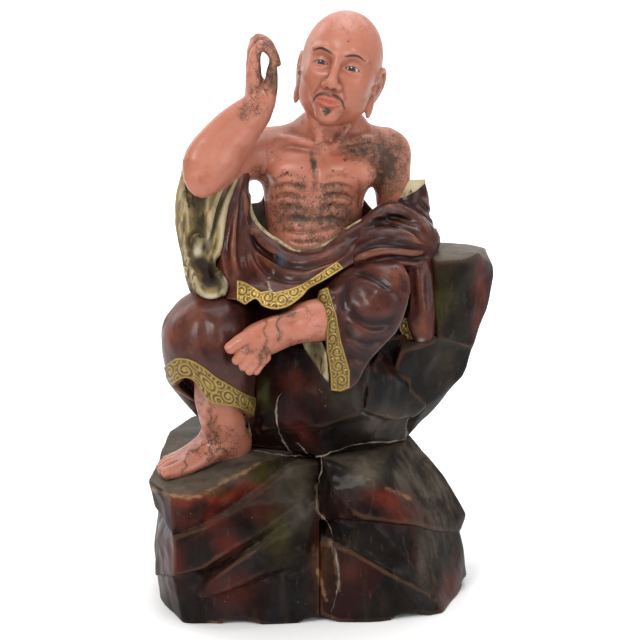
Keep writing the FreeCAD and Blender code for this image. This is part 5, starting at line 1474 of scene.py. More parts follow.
def foot_r_attrs(P, n):
    g = 0.14 + 0.30 * near_lines(P, ANKLE_R, 1.7) + px_spots(P, [(232, 438, 14, 10, 0.24), (190, 446, 12, 10, 0.16), (200, 400, 12, 8, 0.30), (216, 432, 10, 14, 0.18), (225, 455, 18, 8, 0.28)])
    # painted shade at the bottom of the foot, where it meets the rock
    g = g + np.clip((102 - P[2]) / 6, 0, 1) * 0.5
    # painted highlight on the upward faces of the toe tips
    pale = 0.35 * np.clip(near_lines(P, [np.array([hp_ for hp_ in [r[2][:3] for r in TOES_R.values()]])], 3.0), 0, 1) * np.clip(n[2], 0, 1)
    return {"grime": np.clip(g, 0, 1.1), "dark": np.clip(near_lines(P, ANKLE_R, 0.46) * 0.85, 0, 0.7), "lip": np.zeros(P[0].shape), "pale": pale}


def foot_l_attrs(P, n):
    g = 0.17 + 0.38 * near_lines(P, ANKLE_L, 2.2) + px_spots(P, [(247, 350, 6, 5, 0.7), (283, 312, 16, 5, 0.8), (262, 360, 6, 8, 0.4), (262, 352, 10, 6, 0.4), (300, 342, 14, 4, 0.4)])
    dark = near_lines(P, ANKLE_L, 0.5) * 0.75
    return {"grime": np.clip(g, 0, 1.1), "dark": dark, "lip": np.zeros(P[0].shape), "pale": np.zeros(P[0].shape)}


def split_arm(P):
    """Negative on the upper arm's side of the elbow."""
    return R_UPPER.f(P) + 3.0 - R_FORE.f(P)


def build_skin():
    h = 0.6
    Jb = Field().add(Prim(lambda P: BODY(P), (-60, -32, 215), (64, 42, 345)))
    make("head_carved", under(HEAD, lambda P: -NECK_CUT(P) * -1.0, 4.0, 0.3), (-22, -38, 318), (50, 38, 402), 0.45, MAT_SKIN, ["head"], head_attrs)
    both = Field().add(Prim(lambda P: BODY(P), (-60, -32, 215), (64, 42, 345)))
    make("torso_carved", under(owned(BODY, lambda P: np.maximum(228 - P[2], P[2] - 330)), lambda P: np.maximum(R_SHOULDER - P[0], P[0] - L_SHOULDER), 4.0, 0.2), (-44, -32, 226), (52, 42, 331), h, MAT_SKIN, ["torso"], body_grime_and_shade)
    arm_up = Field().add(Prim(lambda P: BODY(P), (-92, -50, 270), (64, 42, 345))).add(Prim(lambda P: ARM(P), (-100, -56, 272), (-24, 24, 345)), 2)
    make("right_upper_arm_carved", under(owned(arm_up, lambda P: P[0] - R_SHOULDER), split_arm, 4.0, 0.2), (-101, -58, 268), (-32, 32, 326), h, MAT_SKIN, ["right_upper_arm"], body_grime_and_shade)
    make("right_forearm_carved", under(owned(FOREHAND, lambda P: -split_arm(P)), HAND_SPLIT, 4.0, 0.3), (-101, -62, 270), (-26, -2, 350), h, MAT_SKIN, ["right_forearm"], hand_attrs)
    make("right_hand_carved", owned(FOREHAND, lambda P: -HAND_SPLIT(P)), (-54, -36, 324), (-22, 0, 391), 0.45, MAT_SKIN, ["right_hand"], hand_attrs)
    make("left_upper_arm_carved", owned(BODY, lambda P: np.maximum(L_SHOULDER - P[0], 240 - P[2])), (40, -4, 238), (64, 34, 322), h, MAT_SKIN, ["left_upper_arm"], body_grime_and_shade)
    make("right_shin_carved", under(owned(FOOT_R, lambda P: P[2] - 170), TOE_SPLIT, 4.0, 0.4), (-90, -68, 94), (-42, -10, 171), 0.55, MAT_SKIN, ["right_shin"], foot_r_attrs)
    make("right_foot_carved", owned(FOOT_R, lambda P: -TOE_SPLIT(P)), (-110, -70, 92), (-72, -28, 120), 0.45, MAT_SKIN, ["right_foot"], foot_r_attrs)
    make("left_foot_carved", owned(FOOT_L, lambda P: P[0] - 18), (-66, -92, 168), (19, -40, 226), 0.5, MAT_SKIN, ["left_foot"], foot_l_attrs)
    make_eye(-1, "right_eye_painted")
    make_eye(1, "left_eye_painted")

# ------------------------------------------------------------------ robe
def robe_material():
    M = Mat("robe_lacquer_paint")
    n1 = M.noise(26, 5, 0.55)
    n2 = M.noise(110, 6, 0.62)
    n3 = M.noise(330, 4, 0.6)
    c = M.mix(M.span(n1, 0.3, 0.7), (0.025, 0.0054, 0.0050), (0.044, 0.0098, 0.0080))
    c = M.mix(M.math("MULTIPLY", M.span(n2, 0.5, 0.72), 0.6), c, (0.085, 0.024, 0.015))
    # painted shade: darker in the fold hollows
    low = M.span(M.attr("fold"), -0.005, -0.10)
    c = M.mix(M.math("MULTIPLY", low, 0.8), c, (0.009, 0.0034, 0.0034))
    # painted highlight on the fold ridges
    high = M.span(M.math("ADD", M.attr("fold"), M.math("MULTIPLY", M.math("SUBTRACT", n2, 0.5), 0.12)), 0.03, 0.15)
    c = M.mix(M.math("MULTIPLY", high, 0.26), c, (0.125, 0.050, 0.038))
    w = M.math("MULTIPLY", M.attr("worn"), M.span(M.math("ADD", n1, M.math("MULTIPLY", M.math("SUBTRACT", n2, 0.5), 0.5)), 0.30, 0.62))
    c = M.mix(M.math("MULTIPLY", w, 0.85), c, (0.200, 0.050, 0.020))
    # dust-grey painted highlights on ridges and knees, from the grey mask
    g = M.math("MULTIPLY", M.attr("grey"), M.span(n2, 0.3, 0.65))
    c = M.mix(M.math("MULTIPLY", g, 0.6), c, (0.130, 0.095, 0.090))
    edge = M.span(M.math("ADD", M.attr("edge"), M.math("MULTIPLY", M.math("SUBTRACT", n3, 0.5), 0.16)), 0.13, 0.26)
    c = M.mix(M.math("MULTIPLY", edge, 0.5), c, (0.26, 0.10, 0.06))
    c = M.mix(M.attr("crack"), c, (0.40, 0.36, 0.31))
    c = M.mix(M.attr("blue"), c, (0.055, 0.075, 0.105))
    c = M.mix(M.attr("shade"), c, (0.0085, 0.0032, 0.0028))
    cr = M.math("MULTIPLY", M.span(M.voronoi(120, "DISTANCE_TO_EDGE", 0.02), 0.03, 0.006), M.span(n1, 0.56, 0.68))
    c = M.mix(M.math("MULTIPLY", cr, 0.55), c, (0.008, 0.004, 0.004))
    sp = M.math("MULTIPLY", M.span(M.voronoi(300, "F1"), 0.10, 0.05), M.span(M.noise(36, 2), 0.62, 0.70))
    c = M.mix(M.math("MULTIPLY", sp, 0.8), c, (0.40, 0.25, 0.16))
    r = M.span(n2, 0.25, 0.8, 0.27, 0.48, smooth=False)
    r = M.math("ADD", r, M.math("MULTIPLY", g, 0.2))
    h = M.math("SUBTRACT", M.math("MULTIPLY", n2, 0.5), M.math("MULTIPLY", cr, 0.6))
    return M.finish(c, r, M.bump(h, 0.22, 0.0008), coat=0.16, coat_rough=0.16, spec=0.17)


def lining_material():
    M = Mat("robe_lining_paint")
    n1 = M.noise(30, 5, 0.6)
    n2 = M.noise(130, 6, 0.65)
    c = M.mix(M.span(n1, 0.3, 0.7), (0.185, 0.122, 0.034), (0.30, 0.215, 0.085))
    # painted shade in the hollows, painted highlight on the edges
    c = M.mix(M.math("MULTIPLY", M.span(M.attr("fold"), 0.0, -0.14), 0.75), c, (0.066, 0.046, 0.010))
    c = M.mix(M.math("MULTIPLY", M.span(M.attr("fold"), -0.08, -0.26), 0.8), c, (0.018, 0.014, 0.008))
    c = M.mix(M.math("MULTIPLY", M.span(M.attr("edge"), 0.03, 0.14), 0.7), c, (0.46, 0.38, 0.24))
    # dirt mask: dirt, and painted shade in the sleeve's hollows
    d = M.math("MULTIPLY", M.attr("dirt"), M.span(n2, 0.30, 0.60))
    c = M.mix(M.math("MULTIPLY", d, 0.9), c, (0.044, 0.034, 0.008))
    s = M.span(n2, 0.55, 0.72)
    c = M.mix(M.math("MULTIPLY", s, 0.55), c, (0.095, 0.070, 0.030))
    stain = M.noise(95, 5, 0.62, stretch=(1.0, 1.0, 0.22))
    c = M.mix(M.math("MULTIPLY", M.span(M.math("ADD", stain, M.math("MULTIPLY", M.attr("dirt"), 0.10)), 0.53, 0.63), 0.72), c, (0.050, 0.036, 0.014))
    stain2 = M.noise(210, 4, 0.6, stretch=(1.0, 1.0, 0.30))
    c = M.mix(M.math("MULTIPLY", M.span(M.math("ADD", stain2, M.math("MULTIPLY", M.attr("dirt"), 0.08)), 0.60, 0.66), 0.85), c, (0.020, 0.013, 0.007))
    sp = M.math("MULTIPLY", M.span(M.voronoi(260, "F1", 0.01), 0.16, 0.08), M.span(M.noise(60, 2), 0.52, 0.62))
    c = M.mix(M.math("MULTIPLY", sp, 0.8), c, (0.05, 0.034, 0.02))
    # painted highlights: paler cream on the sleeve's tongue and rims
    c = M.mix(M.attr("bright"), c, (0.46, 0.41, 0.30))
    # painted shade: near-black under the sleeve's tongue and inside its loop
    c = M.mix(M.attr("umber"), c, (0.020, 0.012, 0.009))
    r = M.span(n2, 0.2, 0.8, 0.42, 0.68, smooth=False)
    return M.finish(c, r, M.bump(n2, 0.4, 0.0008), coat=0.08, coat_rough=0.3, spec=0.16)


def gilt_material():
    M = Mat("gilt_border_paint")
    n1 = M.noise(45, 5, 0.6)
    n2 = M.noise(190, 5, 0.6)
    rel = M.math("ADD", M.attr("relief"), M.math("MULTIPLY", M.math("SUBTRACT", n2, 0.5), 0.35))
    # dark in the low parts of the relief, gold on the raised parts
    c = M.mix(M.span(rel, 0.02, 0.34), (0.014, 0.0085, 0.003), (0.27, 0.170, 0.036))
    # painted highlight on the highest parts of the relief
    c = M.mix(M.math("MULTIPLY", M.span(rel, 0.60, 1.0), 0.6), c, (0.56, 0.40, 0.12))
    c = M.mix(M.math("MULTIPLY", M.span(n1, 0.55, 0.75), 0.5), c, (0.17, 0.10, 0.022))
    c = M.mix(M.math("MULTIPLY", M.attr("dull"), M.span(n1, 0.2, 0.6, 0.5, 1.0)), c, (0.050, 0.030, 0.012))
    c = M.mix(M.math("MULTIPLY", M.span(n2, 0.66, 0.78), 0.6), c, (0.10, 0.05, 0.02))
    mtl = M.span(rel, 0.1, 0.6, 0.2, 0.62)
    r = M.span(n2, 0.2, 0.8, 0.28, 0.46, smooth=False)
    return M.finish(c, r, M.bump(n2, 0.3, 0.0005), metal=mtl)


MAT_ROBE, MAT_LINING, MAT_GILT = robe_material(), lining_material(), gilt_material()

TRUNK = loft_axis([(-2, 20, 183, 60, 44), (-2, 20, 190, 62.5, 46), (-2, 18, 202, 65, 48), (-2, 15, 220, 63, 46), (-2, 12, 240, 56, 41), (-1.5, 11, 256, 47.5, 36), (-2, 12, 266, 37.5, 32), (-3, 13, 280, 33, 30), (-3, 14, 293, 31, 27)], 2, 3)
DRAPE = loft_axis([(-50, -20, 203, 20, 32), (-53, -17, 224, 18, 29), (-55.5, -12, 245, 13.5, 24), (-57, -9, 262, 10, 19), (-55.6, -9, 280, 9.6, 15), (-52.4, -10, 295, 7.4, 10), (-49.6, -12, 307, 3.4, 5)], 2, 2)
LAP = loft_axis([(-6, -4, 224, 62, 27), (-8, -18, 222, 58, 25), (-11, -32, 219, 52, 22.5), (-15, -46, 216, 46, 19), (-19, -58, 213.5, 40, 15.5), (-22, -67, 212, 33, 12.5), (-24, -74, 211, 24, 6)], 1, 3)
SWAG = tube([(-16, -34, 222, 13), (4, -34, 229, 13.5), (20, -30, 236, 13.5), (36, -20, 244, 13)], dense=3)
LOBE = tube([(-60, -4, 232, 10), (-58.5, -24, 229.5, 10.5), (-55, -40, 226.5, 10.5), (-49, -53, 222, 10), (-40, -60, 220, 9)], dense=4)
NECK_AT = [(249.5, 198, -8), (250.5, 212, -12), (256, 223, -17), (266, 233, -24), (277.5, 241, -30), (287, 247, -33), (297, 251, -35), (307, 251, -35.5), (320, 247.5, -35), (335, 238, -32), (348.7, 228, -28), (362.5, 220, -23)]
ROLL = tube([list(at_depth(x, y + 8.0, Y + 4.5)) + [5.6] for x, y, Y in NECK_AT], dense=3)
SIDE_RIM = tube([list(at_depth(x, y, Y)) + [q] for x, y, Y, q in ((247, 206, -10, 6), (250, 212, 0, 6.5), (256, 213, 10, 6.5), (264, 213, 18, 6))], dense=4)
UPPER0 = Field().add(TRUNK).add(LAP, 9).add(DRAPE, 10).add(SWAG, 8).add(LOBE, 8).add(ROLL, 5).add(SIDE_RIM, 6)
NECKLINE = [(251.5, 184), (251.2, 198), (251, 210), (256, 222), (266, 232), (277.5, 240), (287, 246), (295, 250.5), (305, 250.5), (320, 246.5), (335, 237), (348.7, 227), (362.5, 219), (371, 213), (381, 204), (391, 200.6), (400, 197)]
bare = px_poly(NECKLINE + [(402, 120), (249, 120), (248.5, 162)])
HEM_LOW = [(236, 300), (240, 302.5), (245, 305), (250, 302), (254.5, 299.5), (258, 301), (262.6, 306.5), (275, 310), (289, 306.5), (303, 296), (310, 288.5), (326, 280), (345, 268.5)]
HEM_TOP = [(337, 260.5), (320, 272), (312, 277.5), (300, 284.5), (289, 288.4), (275, 291.5), (268, 290), (261, 291.5), (254.5, 287), (245, 281.5), (236, 279)]
HEM_LOW = [tuple(q) for q in spline(HEM_LOW, 5)]
below_hem = px_poly([(214, 296), (226, 299)] + HEM_LOW + [(356, 262), (356, 350), (214, 350)])
lap_band = px_poly(HEM_LOW + HEM_TOP)


def cut_neck(P, d):
    r = np.maximum(bare(P), P[1] - 9)
    return smax(d, -r, 0.8)


def cut_back(P, d):
    lim = 258.5 + np.where(P[1] >= 10, 0.95 * (P[1] - 10), 2.6 * (10 - P[1]))
    lim = lim + 16 * np.clip((-32 - P[0]) / 8, 0, 1)
    return smax(d, ((P[2] - lim) * 0.6).astype(F4), 1.2)


FOLDS = [
    # amp, width, line
    (1.7, 5.0, [(244, 160), (240, 182), (236, 206), (233, 236), (233, 262), (239, 283)]),
    (-1.9, 3.8, [(246, 170), (243, 190), (240, 212), (239, 238), (241, 262), (248, 280)]),
    (1.7, 4.6, [(248, 178), (246, 200), (246, 226), (250, 250), (258, 270), (268, 285)]),
    (-1.6, 3.6, [(240, 182), (234, 204), (230, 228), (228, 252), (231, 275)]),
    (1.3, 4.2, [(238, 176), (231, 200), (226, 226), (223.5, 250), (226, 272), (232, 290)]),
    (2.3, 5.6, [(249, 214), (256, 234), (268, 247), (284, 256), (302, 259.5), (322, 256.5), (340, 246), (352, 238)]),
    (-2.6, 4.2, [(248, 224), (255, 243), (268, 256), (285, 264.5), (303, 267), (323, 262.5), (342, 252), (350, 246)]),
    (2.1, 5.4, [(248, 232), (256, 252), (270, 265), (287, 273), (306, 274.5), (325, 268.5), (342, 258)]),
    (-2.0, 3.8, [(249, 246), (260, 265), (276, 277), (294, 281.5), (312, 277.5), (330, 267)]),
    (1.0, 4.0, [(254, 268), (266, 280), (280, 285), (296, 286), (310, 281)]),
    (-1.0, 3.0, [(300, 271), (312, 268), (326, 262)]),
    (1.0, 3.0, [(288, 262), (300, 264), (312, 262)]),
]
FOLDS_P = [(cast(UPPER0, spline(ln, 4)), a, w) for a, w, ln in FOLDS]
UPPER = Field().add(Prim(lambda P: UPPER0(P), (-76, -80, 176), (62, 68, 310)))
for p, a, w in FOLDS_P:
    UPPER.line(p, a, w)
# folds over the back and sides
BACK = [(-2.4, 6, [(-34, 80, 262), (-38, 80, 236), (-30, 80, 206), (-10, 80, 190)]), (2.4, 7, [(-24, 80, 270), (-26, 80, 240), (-14, 80, 212), (10, 80, 200)]), (-2.4, 6, [(-14, 80, 274), (-12, 80, 246), (2, 80, 224), (26, 80, 212)]),
        (2.2, 7, [(-2, 80, 276), (2, 80, 252), (18, 80, 236), (40, 80, 226)]), (-2.2, 6, [(10, 80, 274), (18, 80, 256), (32, 80, 244), (48, 80, 238)]), (2.0, 6, [(20, 80, 272), (30, 80, 260), (44, 80, 252)]),
        (2.0, 7, [(-46, 80, 246), (-48, 80, 220), (-40, 80, 196)])]
for a, w, ln in BACK:
    UPPER.line(cast_dir(UPPER0, spline(ln, 5), (0, -1, 0)), a, w)
for s, a, w, ln in ((1, 2.0, 6, [(90, 0, 236), (90, 8, 216), (90, 14, 196)]), (1, -2.0, 5, [(90, 14, 240), (90, 22, 216), (90, 26, 196)]), (1, 2.0, 6, [(90, 28, 236), (90, 34, 214), (90, 38, 196)]),
                    (-1, 1.8, 6, [(-100, 12, 236), (-100, 16, 214), (-100, 22, 194)]), (-1, -1.8, 5, [(-100, 24, 240), (-100, 30, 216), (-100, 34, 194)])):
    UPPER.line(cast_dir(UPPER0, spline(ln, 5), (-s, 0, 0)), a, w)
UPPER.change(lambda P, d: d + wave(P, 81, 24, 0.28) + wave(P, 82, 9, 0.07))
UPPER.change(cut_back)
UPPER.change(cut_neck)
CRACK = cast(UPPER0, spline([(274, 249), (275, 256), (273.5, 265.5), (273, 273.5), (269.5, 277), (268, 281.5), (270, 289.6), (272, 292), (276, 303), (276.4, 309)], 5))
CRACK = CRACK + np.random.RandomState(5).normal(size=CRACK.shape) * 0.12
UPPER.line(CRACK, -0.7, 0.9, fade=False, sharp=True)
R_CUT = lambda P: np.maximum(below_hem(P), P[1] + 20)
LAP_F = Field().add(Prim(lambda P: UPPER(P), (-76, -80, 176), (62, 68, 310)))
LAP_F.change(lambda P, d: smax(d, -R_CUT(P), 0.8))

# right leg
R_BARREL = loft_axis([(-63, -46, 130, 19, 21), (-65, -47, 140, 22, 24), (-68, -48.5, 153, 26, 27.5), (-70.5, -50, 168, 29.4, 29.5), (-71.8, -51, 186, 30.6, 30.6), (-71, -49, 201, 28.8, 28.8), (-69.5, -45.5, 212, 23.5, 24.5), (-67, -40, 219.5, 14, 15)], 2, 3)
R_THIGH = loft_axis([(-46, 0, 200, 32, 20), (-50, -10, 200, 31.5, 20), (-57, -28, 199.5, 30, 19.5), (-63, -42, 199, 27, 18.5), (-66, -52, 198, 20, 15)], 1, 5)
R_FALL = loft_axis([(-68, -16, 124, 12, 6), (-70, -18, 130, 14.5, 8), (-76, -20, 142, 18, 10), (-80, -26, 156, 22, 14), (-78, -32, 170, 23, 18)], 2, 2)
RLEG0 = Field().add(R_BARREL).add(R_THIGH, 8)
low_edge = [(168, 388), (175, 384), (182.5, 378.5), (189.4, 378), (195, 381.4), (201, 389.4), (205.5, 398.6), (214.7, 404.3), (228.5, 406.6), (240, 409), (249, 414)]
up_edge = [(166, 366), (172, 360), (179, 357), (189.4, 358.4), (198.6, 363), (205.5, 367.6), (214.7, 375.6), (228.5, 383.6), (242, 391.7), (254, 397)]
AX_R = (-67.5, -48.5)


def round_angle(P):
    return np.arctan2(P[0] - AX_R[0], -(P[1] - AX_R[1]))


def edge_heights(edge, extra):
    p = cast(RLEG0, spline(edge, 3))
    th = np.arctan2(p[:, 0] - AX_R[0], -(p[:, 1] - AX_R[1]))
    z = p[:, 2]
    for t, h in extra:
        th = np.append(th, t)
        z = np.append(z, h)
    o = np.argsort(th)
    th, z = th[o], z[o]
    grid = np.linspace(-math.pi, math.pi, 181)
    v = np.interp(grid, th, z, period=2 * math.pi)
    for _ in range(2):
        v = np.convolve(np.r_[v[-4:], v, v[:4]], np.ones(5) / 5, "same")[4:-4]
    return lambda P: np.interp(round_angle(P), grid, v).astype(F4)


low_z = edge_heights(low_edge, [(2.4, 126), (3.0, 128), (-2.9, 134), (-2.3, 142)])
up_z = edge_heights(up_edge, [(2.4, 140), (3.0, 142), (-2.9, 150), (-2.3, 156)])
RLEG = Field().add(Prim(lambda P: RLEG0(P), (-104, -84, 126), (-16, 4, 232)))
for a, w, ln in [(1.3, 6, [(196, 300), (192, 325), (190, 345), (188, 356)]), (-1.3, 5, [(206, 300), (206, 325), (205, 350), (206, 366)]), (1.5, 6, [(216, 308), (218, 330), (219, 352), (220, 376)]),
                 (-1.6, 5, [(228, 316), (232, 340), (234, 362), (236, 386)]), (1.3, 5, [(240, 330), (244, 350), (246, 372), (248, 390)]), (-1.2, 5, [(178, 312), (175, 335), (177, 354)]),
                 (-1.0, 5.0, [(206, 306), (220, 309), (234, 314)])]:
    RLEG.line(cast(RLEG0, spline([(x, y + (12 if i == 0 else 0)) for i, (x, y) in enumerate(ln)], 4)), a * 0.45, w * 1.2)
for a, w, ln in [(1.6, 6, [(-140, -50, 212), (-140, -44, 186), (-140, -40, 160)]), (-1.6, 5, [(-140, -40, 214), (-140, -34, 188), (-140, -30, 160)]), (1.6, 6, [(-140, -28, 212), (-140, -22, 190), (-140, -20, 165)])]:
    RLEG.line(cast_dir(RLEG0, spline(ln, 5), (1, 0, 0)), a, w)
RLEG.change(lambda P, d: d + wave(P, 83, 22, 0.25) + wave(P, 84, 8, 0.06))


def hem_cut(P, d):
    hz = low_z(P)
    inner = d + 3.6
    d = smax(d, (hz - P[2]) * 0.95, 0.7)
    hollow = np.maximum(inner, P[2] - (hz + 26))
    return smax(d, -hollow, 0.8)


RLEG.change(hem_cut)
RLEG_ALL = Field().add(Prim(lambda P: RLEG(P), (-104, -84, 118), (-16, 4, 232)))
RLEG_ALL.add(R_FALL, 3)
RLEG_ALL.line(cast_dir(Field().add(R_FALL), spline([(-140, -18, 165), (-140, -17, 145), (-140, -16, 128)], 4), (1, 0, 0)), -1.4, 4)

# left leg
L_THIGH = loft_axis([(36, -4, 212, 30, 26), (38, -12, 213, 29.5, 25.5), (41, -32, 215, 26.5, 24), (43, -48, 217, 22.5, 20.5), (43.5, -60, 217, 17, 16), (43.5, -70, 217, 7, 7)], 1, 4)
L_FALL = loft_axis([(13, -68, 152, 9, 6), (15, -66, 160, 14, 10), (20, -62, 176, 20.5, 15), (25, -57, 194, 27.5, 20), (29, -52, 212, 31.5, 22), (33, -48, 226, 26, 19), (37, -44, 236, 16, 12)], 2, 3)
KNEE = ball((43.5, -50, 217.5), (21.5, 21.5, 21))
LLEG0 = Field().add(L_FALL).add(L_THIGH, 8).add(KNEE, 6)
# the cuff passes over the ankle
CUFF_ROWS = []
for x, y, r in ((326, 295, 4.6), (329.5, 303, 6.4), (334, 314, 7.2), (337, 328, 7.4), (339, 342, 7.0), (341, 356, 6.0)):
    q = cast(FOOT_L, [(min(x - 5, 329), min(max(y, 303), 330))])[0]
    CUFF_ROWS.append(list(at_depth(x, y, q[1] - 0.6 + r)) + [r])
LLEG0.add(tube(CUFF_ROWS, dense=4), 7)
leg_outline = px_poly([(309, 294), (315, 305), (320, 314), (324, 322), (325.5, 333), (326, 351), (328.5, 364), (330, 376), (330.5, 391), (341, 392), (350, 389), (358, 382), (365, 368), (370, 360), (379, 350), (388, 341),
                       (396, 333), (402, 322), (407, 306), (410.5, 290), (409.5, 277), (403.5, 265), (393, 257), (376, 250), (352, 254), (338, 264), (330, 280), (320, 289)])
cuff_band = px_poly([(309, 294), (315, 305), (320, 314), (324, 322), (325.5, 333), (326, 351), (328.5, 364), (330, 376), (330.5, 391), (341, 392), (350, 388), (350.5, 371), (347, 359), (342, 342), (338.5, 324), (337, 314), (333, 302), (328.5, 286)])
LLEG = Field().add(Prim(lambda P: LLEG0(P), (-10, -90, 150), (72, 0, 246)))
for a, w, ln in [(-2.6, 3.4, [(352, 274), (362, 274), (372, 277), (384, 284), (392, 292)]), (1.6, 4.6, [(347, 282), (360, 283), (372, 287), (382, 293)]), (1.8, 5.5, [(356, 266), (370, 265), (384, 268), (394, 276)]),
                 (-2.4, 4.2, [(350, 283), (345, 292), (343, 303), (345, 314)]), (1.8, 4.4, [(340, 282), (338, 296), (341, 310)]),
                 (-2.6, 4.2, [(350, 304), (356, 315), (366, 323), (378, 325), (390, 320), (399, 308)]), (2.0, 5.0, [(352, 294), (360, 306), (372, 313), (385, 312), (396, 302)]),
                 (2.2, 5.0, [(348, 314), (355, 326), (366, 333), (380, 334), (392, 327)]), (-2.6, 4.2, [(345, 322), (352, 335), (364, 343), (378, 341), (390, 333)]),
                 (2.2, 5.0, [(346, 334), (353, 345), (364, 351), (376, 348), (386, 341)]), (-2.2, 3.8, [(347, 346), (354, 356), (364, 360), (374, 355)]), (1.6, 4.0, [(351, 358), (356, 366), (364, 368)]),
                 (-1.6, 3.4, [(352, 370), (356, 377), (361, 378)]), (-1.4, 3.0, [(404, 268), (405, 285), (402, 300)])]:
    LLEG.line(cast(LLEG0, spline(ln, 4)), a * (0.8 if ln[0] == (352, 274) else 0.42), w * 1.2)
for a, w, ln in [(1.8, 6, [(120, -52, 212), (120, -34, 226), (120, -20, 230)]), (-1.8, 5, [(120, -48, 202), (120, -32, 214), (120, -16, 218)]), (1.8, 6, [(120, -44, 194), (120, -28, 202), (120, -10, 204)])]:
    LLEG.line(cast_dir(LLEG0, spline(ln, 5), (-1, 0, 0)), a, w)
LLEG.change(lambda P, d: d + wave(P, 85, 22, 0.25) + wave(P, 86, 8, 0.06))
LLEG.change(lambda P, d: smax(d, np.where(P[1] < -24, leg_outline(P), -9.0).astype(F4), 1.0))

# left sleeve
S_ARM = loft_path([(76, 12, 243, 9, 8), (69, 7, 244.5, 19, 13), (57, -6, 245, 23, 16.5), (44, -20, 243.5, 21.5, 16.5), (31, -31, 240, 16.5, 12.5), (21, -38, 236, 9, 7)], 5)
S_CUFF = loft_axis([(60, 10, 232, 15, 19), (60.5, 12, 246, 15.5, 19), (61, 14, 258, 15, 17.5), (62, 16, 272, 14, 15.5), (62.6, 17, 282, 13.2, 14), (63, 17, 287, 12, 13)], 2, 2)
S_TAIL = loft_axis([(67, -14, 246, 10.5, 10), (67.4, -22, 226, 11.6, 8.5), (68, -26, 206, 11.6, 7.6), (69, -28, 190, 9.5, 6), (70, -28.5, 181, 6, 4.2), (70, -28.5, 175, 2.4, 2)], 2, 1.5)
S_ROLL = tube([list(at_depth(x, y, Y)) + [q] for x, y, Y, q in ((360, 230, -21, 5), (371, 221.5, -17, 5.4), (381, 213.5, -12, 5.8), (391, 210.5, -8, 6.2), (401, 213, -5, 6.6), (411, 220, -5, 7), (420, 229, -7, 7), (427, 239, -9, 6.6))], dense=4)
S_WRAP = tube([(51.5, 18.5, 256, 13.5), (52, 18, 248, 15), (54, 15, 238, 15), (57, 8, 230, 12)], dense=3)
SLV0 = Field().add(S_ARM).add(S_CUFF, 8).add(S_WRAP, 4).add(S_TAIL, 5).add(S_ROLL, 5)
SLV = Field().add(Prim(lambda P: SLV0(P), (10, -48, 170), (90, 36, 292)))
for a, w, ln in [(2.4, 5.4, [(380, 210), (390, 207.5), (400, 210), (410, 214), (419, 220), (426, 229), (430, 240)]), (-3.0, 4.2, [(366, 222.5), (378, 221.5), (392, 223.5), (403, 228), (412, 233), (422, 240), (430, 245)]),
                 (2.6, 6.0, [(350, 245), (360, 238.5), (368, 233.5), (377, 231), (388, 231.5), (400, 233.5), (411, 236), (420, 241), (430, 246)]), (-2.4, 3.8, [(352, 256), (362, 249.5), (374, 245), (386, 243.5), (400, 244.5), (414, 247), (430, 248)]),
                 (2.2, 4.6, [(350, 262), (364, 256), (380, 252), (396, 251.5), (412, 253), (430, 251)]), (-2.0, 3.4, [(356, 265), (370, 261), (386, 258), (402, 258), (418, 259), (430, 256)]), (1.6, 3.6, [(380, 263), (396, 262.5), (412, 263), (428, 260)]),
                 (-1.8, 3.0, [(386, 217), (396, 217), (406, 221), (416, 227)]), (1.2, 2.6, [(388, 213.5), (398, 214), (408, 218)]),
                 (-1.6, 2.6, [(418, 200), (424, 206), (430, 214)]), (1.4, 2.6, [(414, 203), (421, 210), (428, 219)]), (1.2, 2.4, [(422, 196), (427, 203), (431, 212)]),
                 (0.8, 4.5, [(419, 264), (420, 288), (422, 312), (422, 332)]), (-0.8, 3.6, [(413, 265), (413, 288), (414, 308)]), (-0.7, 3.4, [(427, 268), (428, 290), (429, 312)])]:
    SLV.line(cast(SLV0, spline(ln, 4)), a, w)
for a, w, ln in [(1.8, 6, [(130, 4, 262), (130, 6, 246), (130, -4, 232)]), (-1.8, 5, [(130, 14, 264), (130, 14, 246), (130, 6, 232)]), (1.6, 5, [(130, 22, 266), (130, 24, 250), (130, 18, 236)])]:
    SLV.line(cast_dir(SLV0, spline(ln, 5), (-1, 0, 0)), a, w)
SLV.change(lambda P, d: d + wave(P, 87, 20, 0.22) + wave(P, 88, 8, 0.06))
tail_left = px_poly([(396, 268), (408, 270), (409, 283), (410.5, 297), (410, 308), (407, 319), (409, 331), (414, 341), (420, 346), (396, 350)])
SLV.change(lambda P, d: smax(d, -np.maximum(tail_left(P), P[2] - 232), 0.8))
above_collar = px_poly([(396, 150), (396, 200), (404, 190), (409.5, 180.5), (424.5, 180), (428.5, 194), (431, 210), (434, 228), (450, 228), (450, 150)])
SLV.change(lambda P, d: smax(d, -above_collar(P), 0.7))
collar = px_poly([(408, 180), (427, 178), (426, 182.5), (417, 190.5), (405, 197.5), (399, 198.5), (398, 190)])

# right sleeve, with its pale inside turned to the front
RS_BODY = loft_axis([(-78, -18, 296, 15, 15), (-80, -20, 284, 16.4, 18), (-81, -21.5, 270, 16.6, 19), (-80.6, -24, 252, 16, 19), (-78, -29.5, 233, 15.4, 17), (-73.5, -36, 219, 13.5, 12.5), (-71.5, -39, 211.5, 10.5, 9)], 2, 3)
RS_STRAP = tube([(-49.5, -13, 305, 3.4), (-54.5, -16, 296, 5.5), (-60, -19, 284, 8), (-64, -22, 268, 9.6), (-66, -25, 250, 9.6), (-67, -28, 236, 8.6), (-69, -33, 226, 7)], dense=3)
RS_LOOP = tube([list(at_depth(x, y, Y)) + [q] for x, y, Y, q in ((196, 262, -40, 6.5), (199, 274, -50, 7), (203, 284, -57, 7), (211, 289, -60, 6.6), (219, 286, -58, 6.2), (221, 278, -52, 5.5))], dense=4)
RS0 = Field().add(RS_BODY).add(RS_STRAP, 5).add(RS_LOOP, 4)
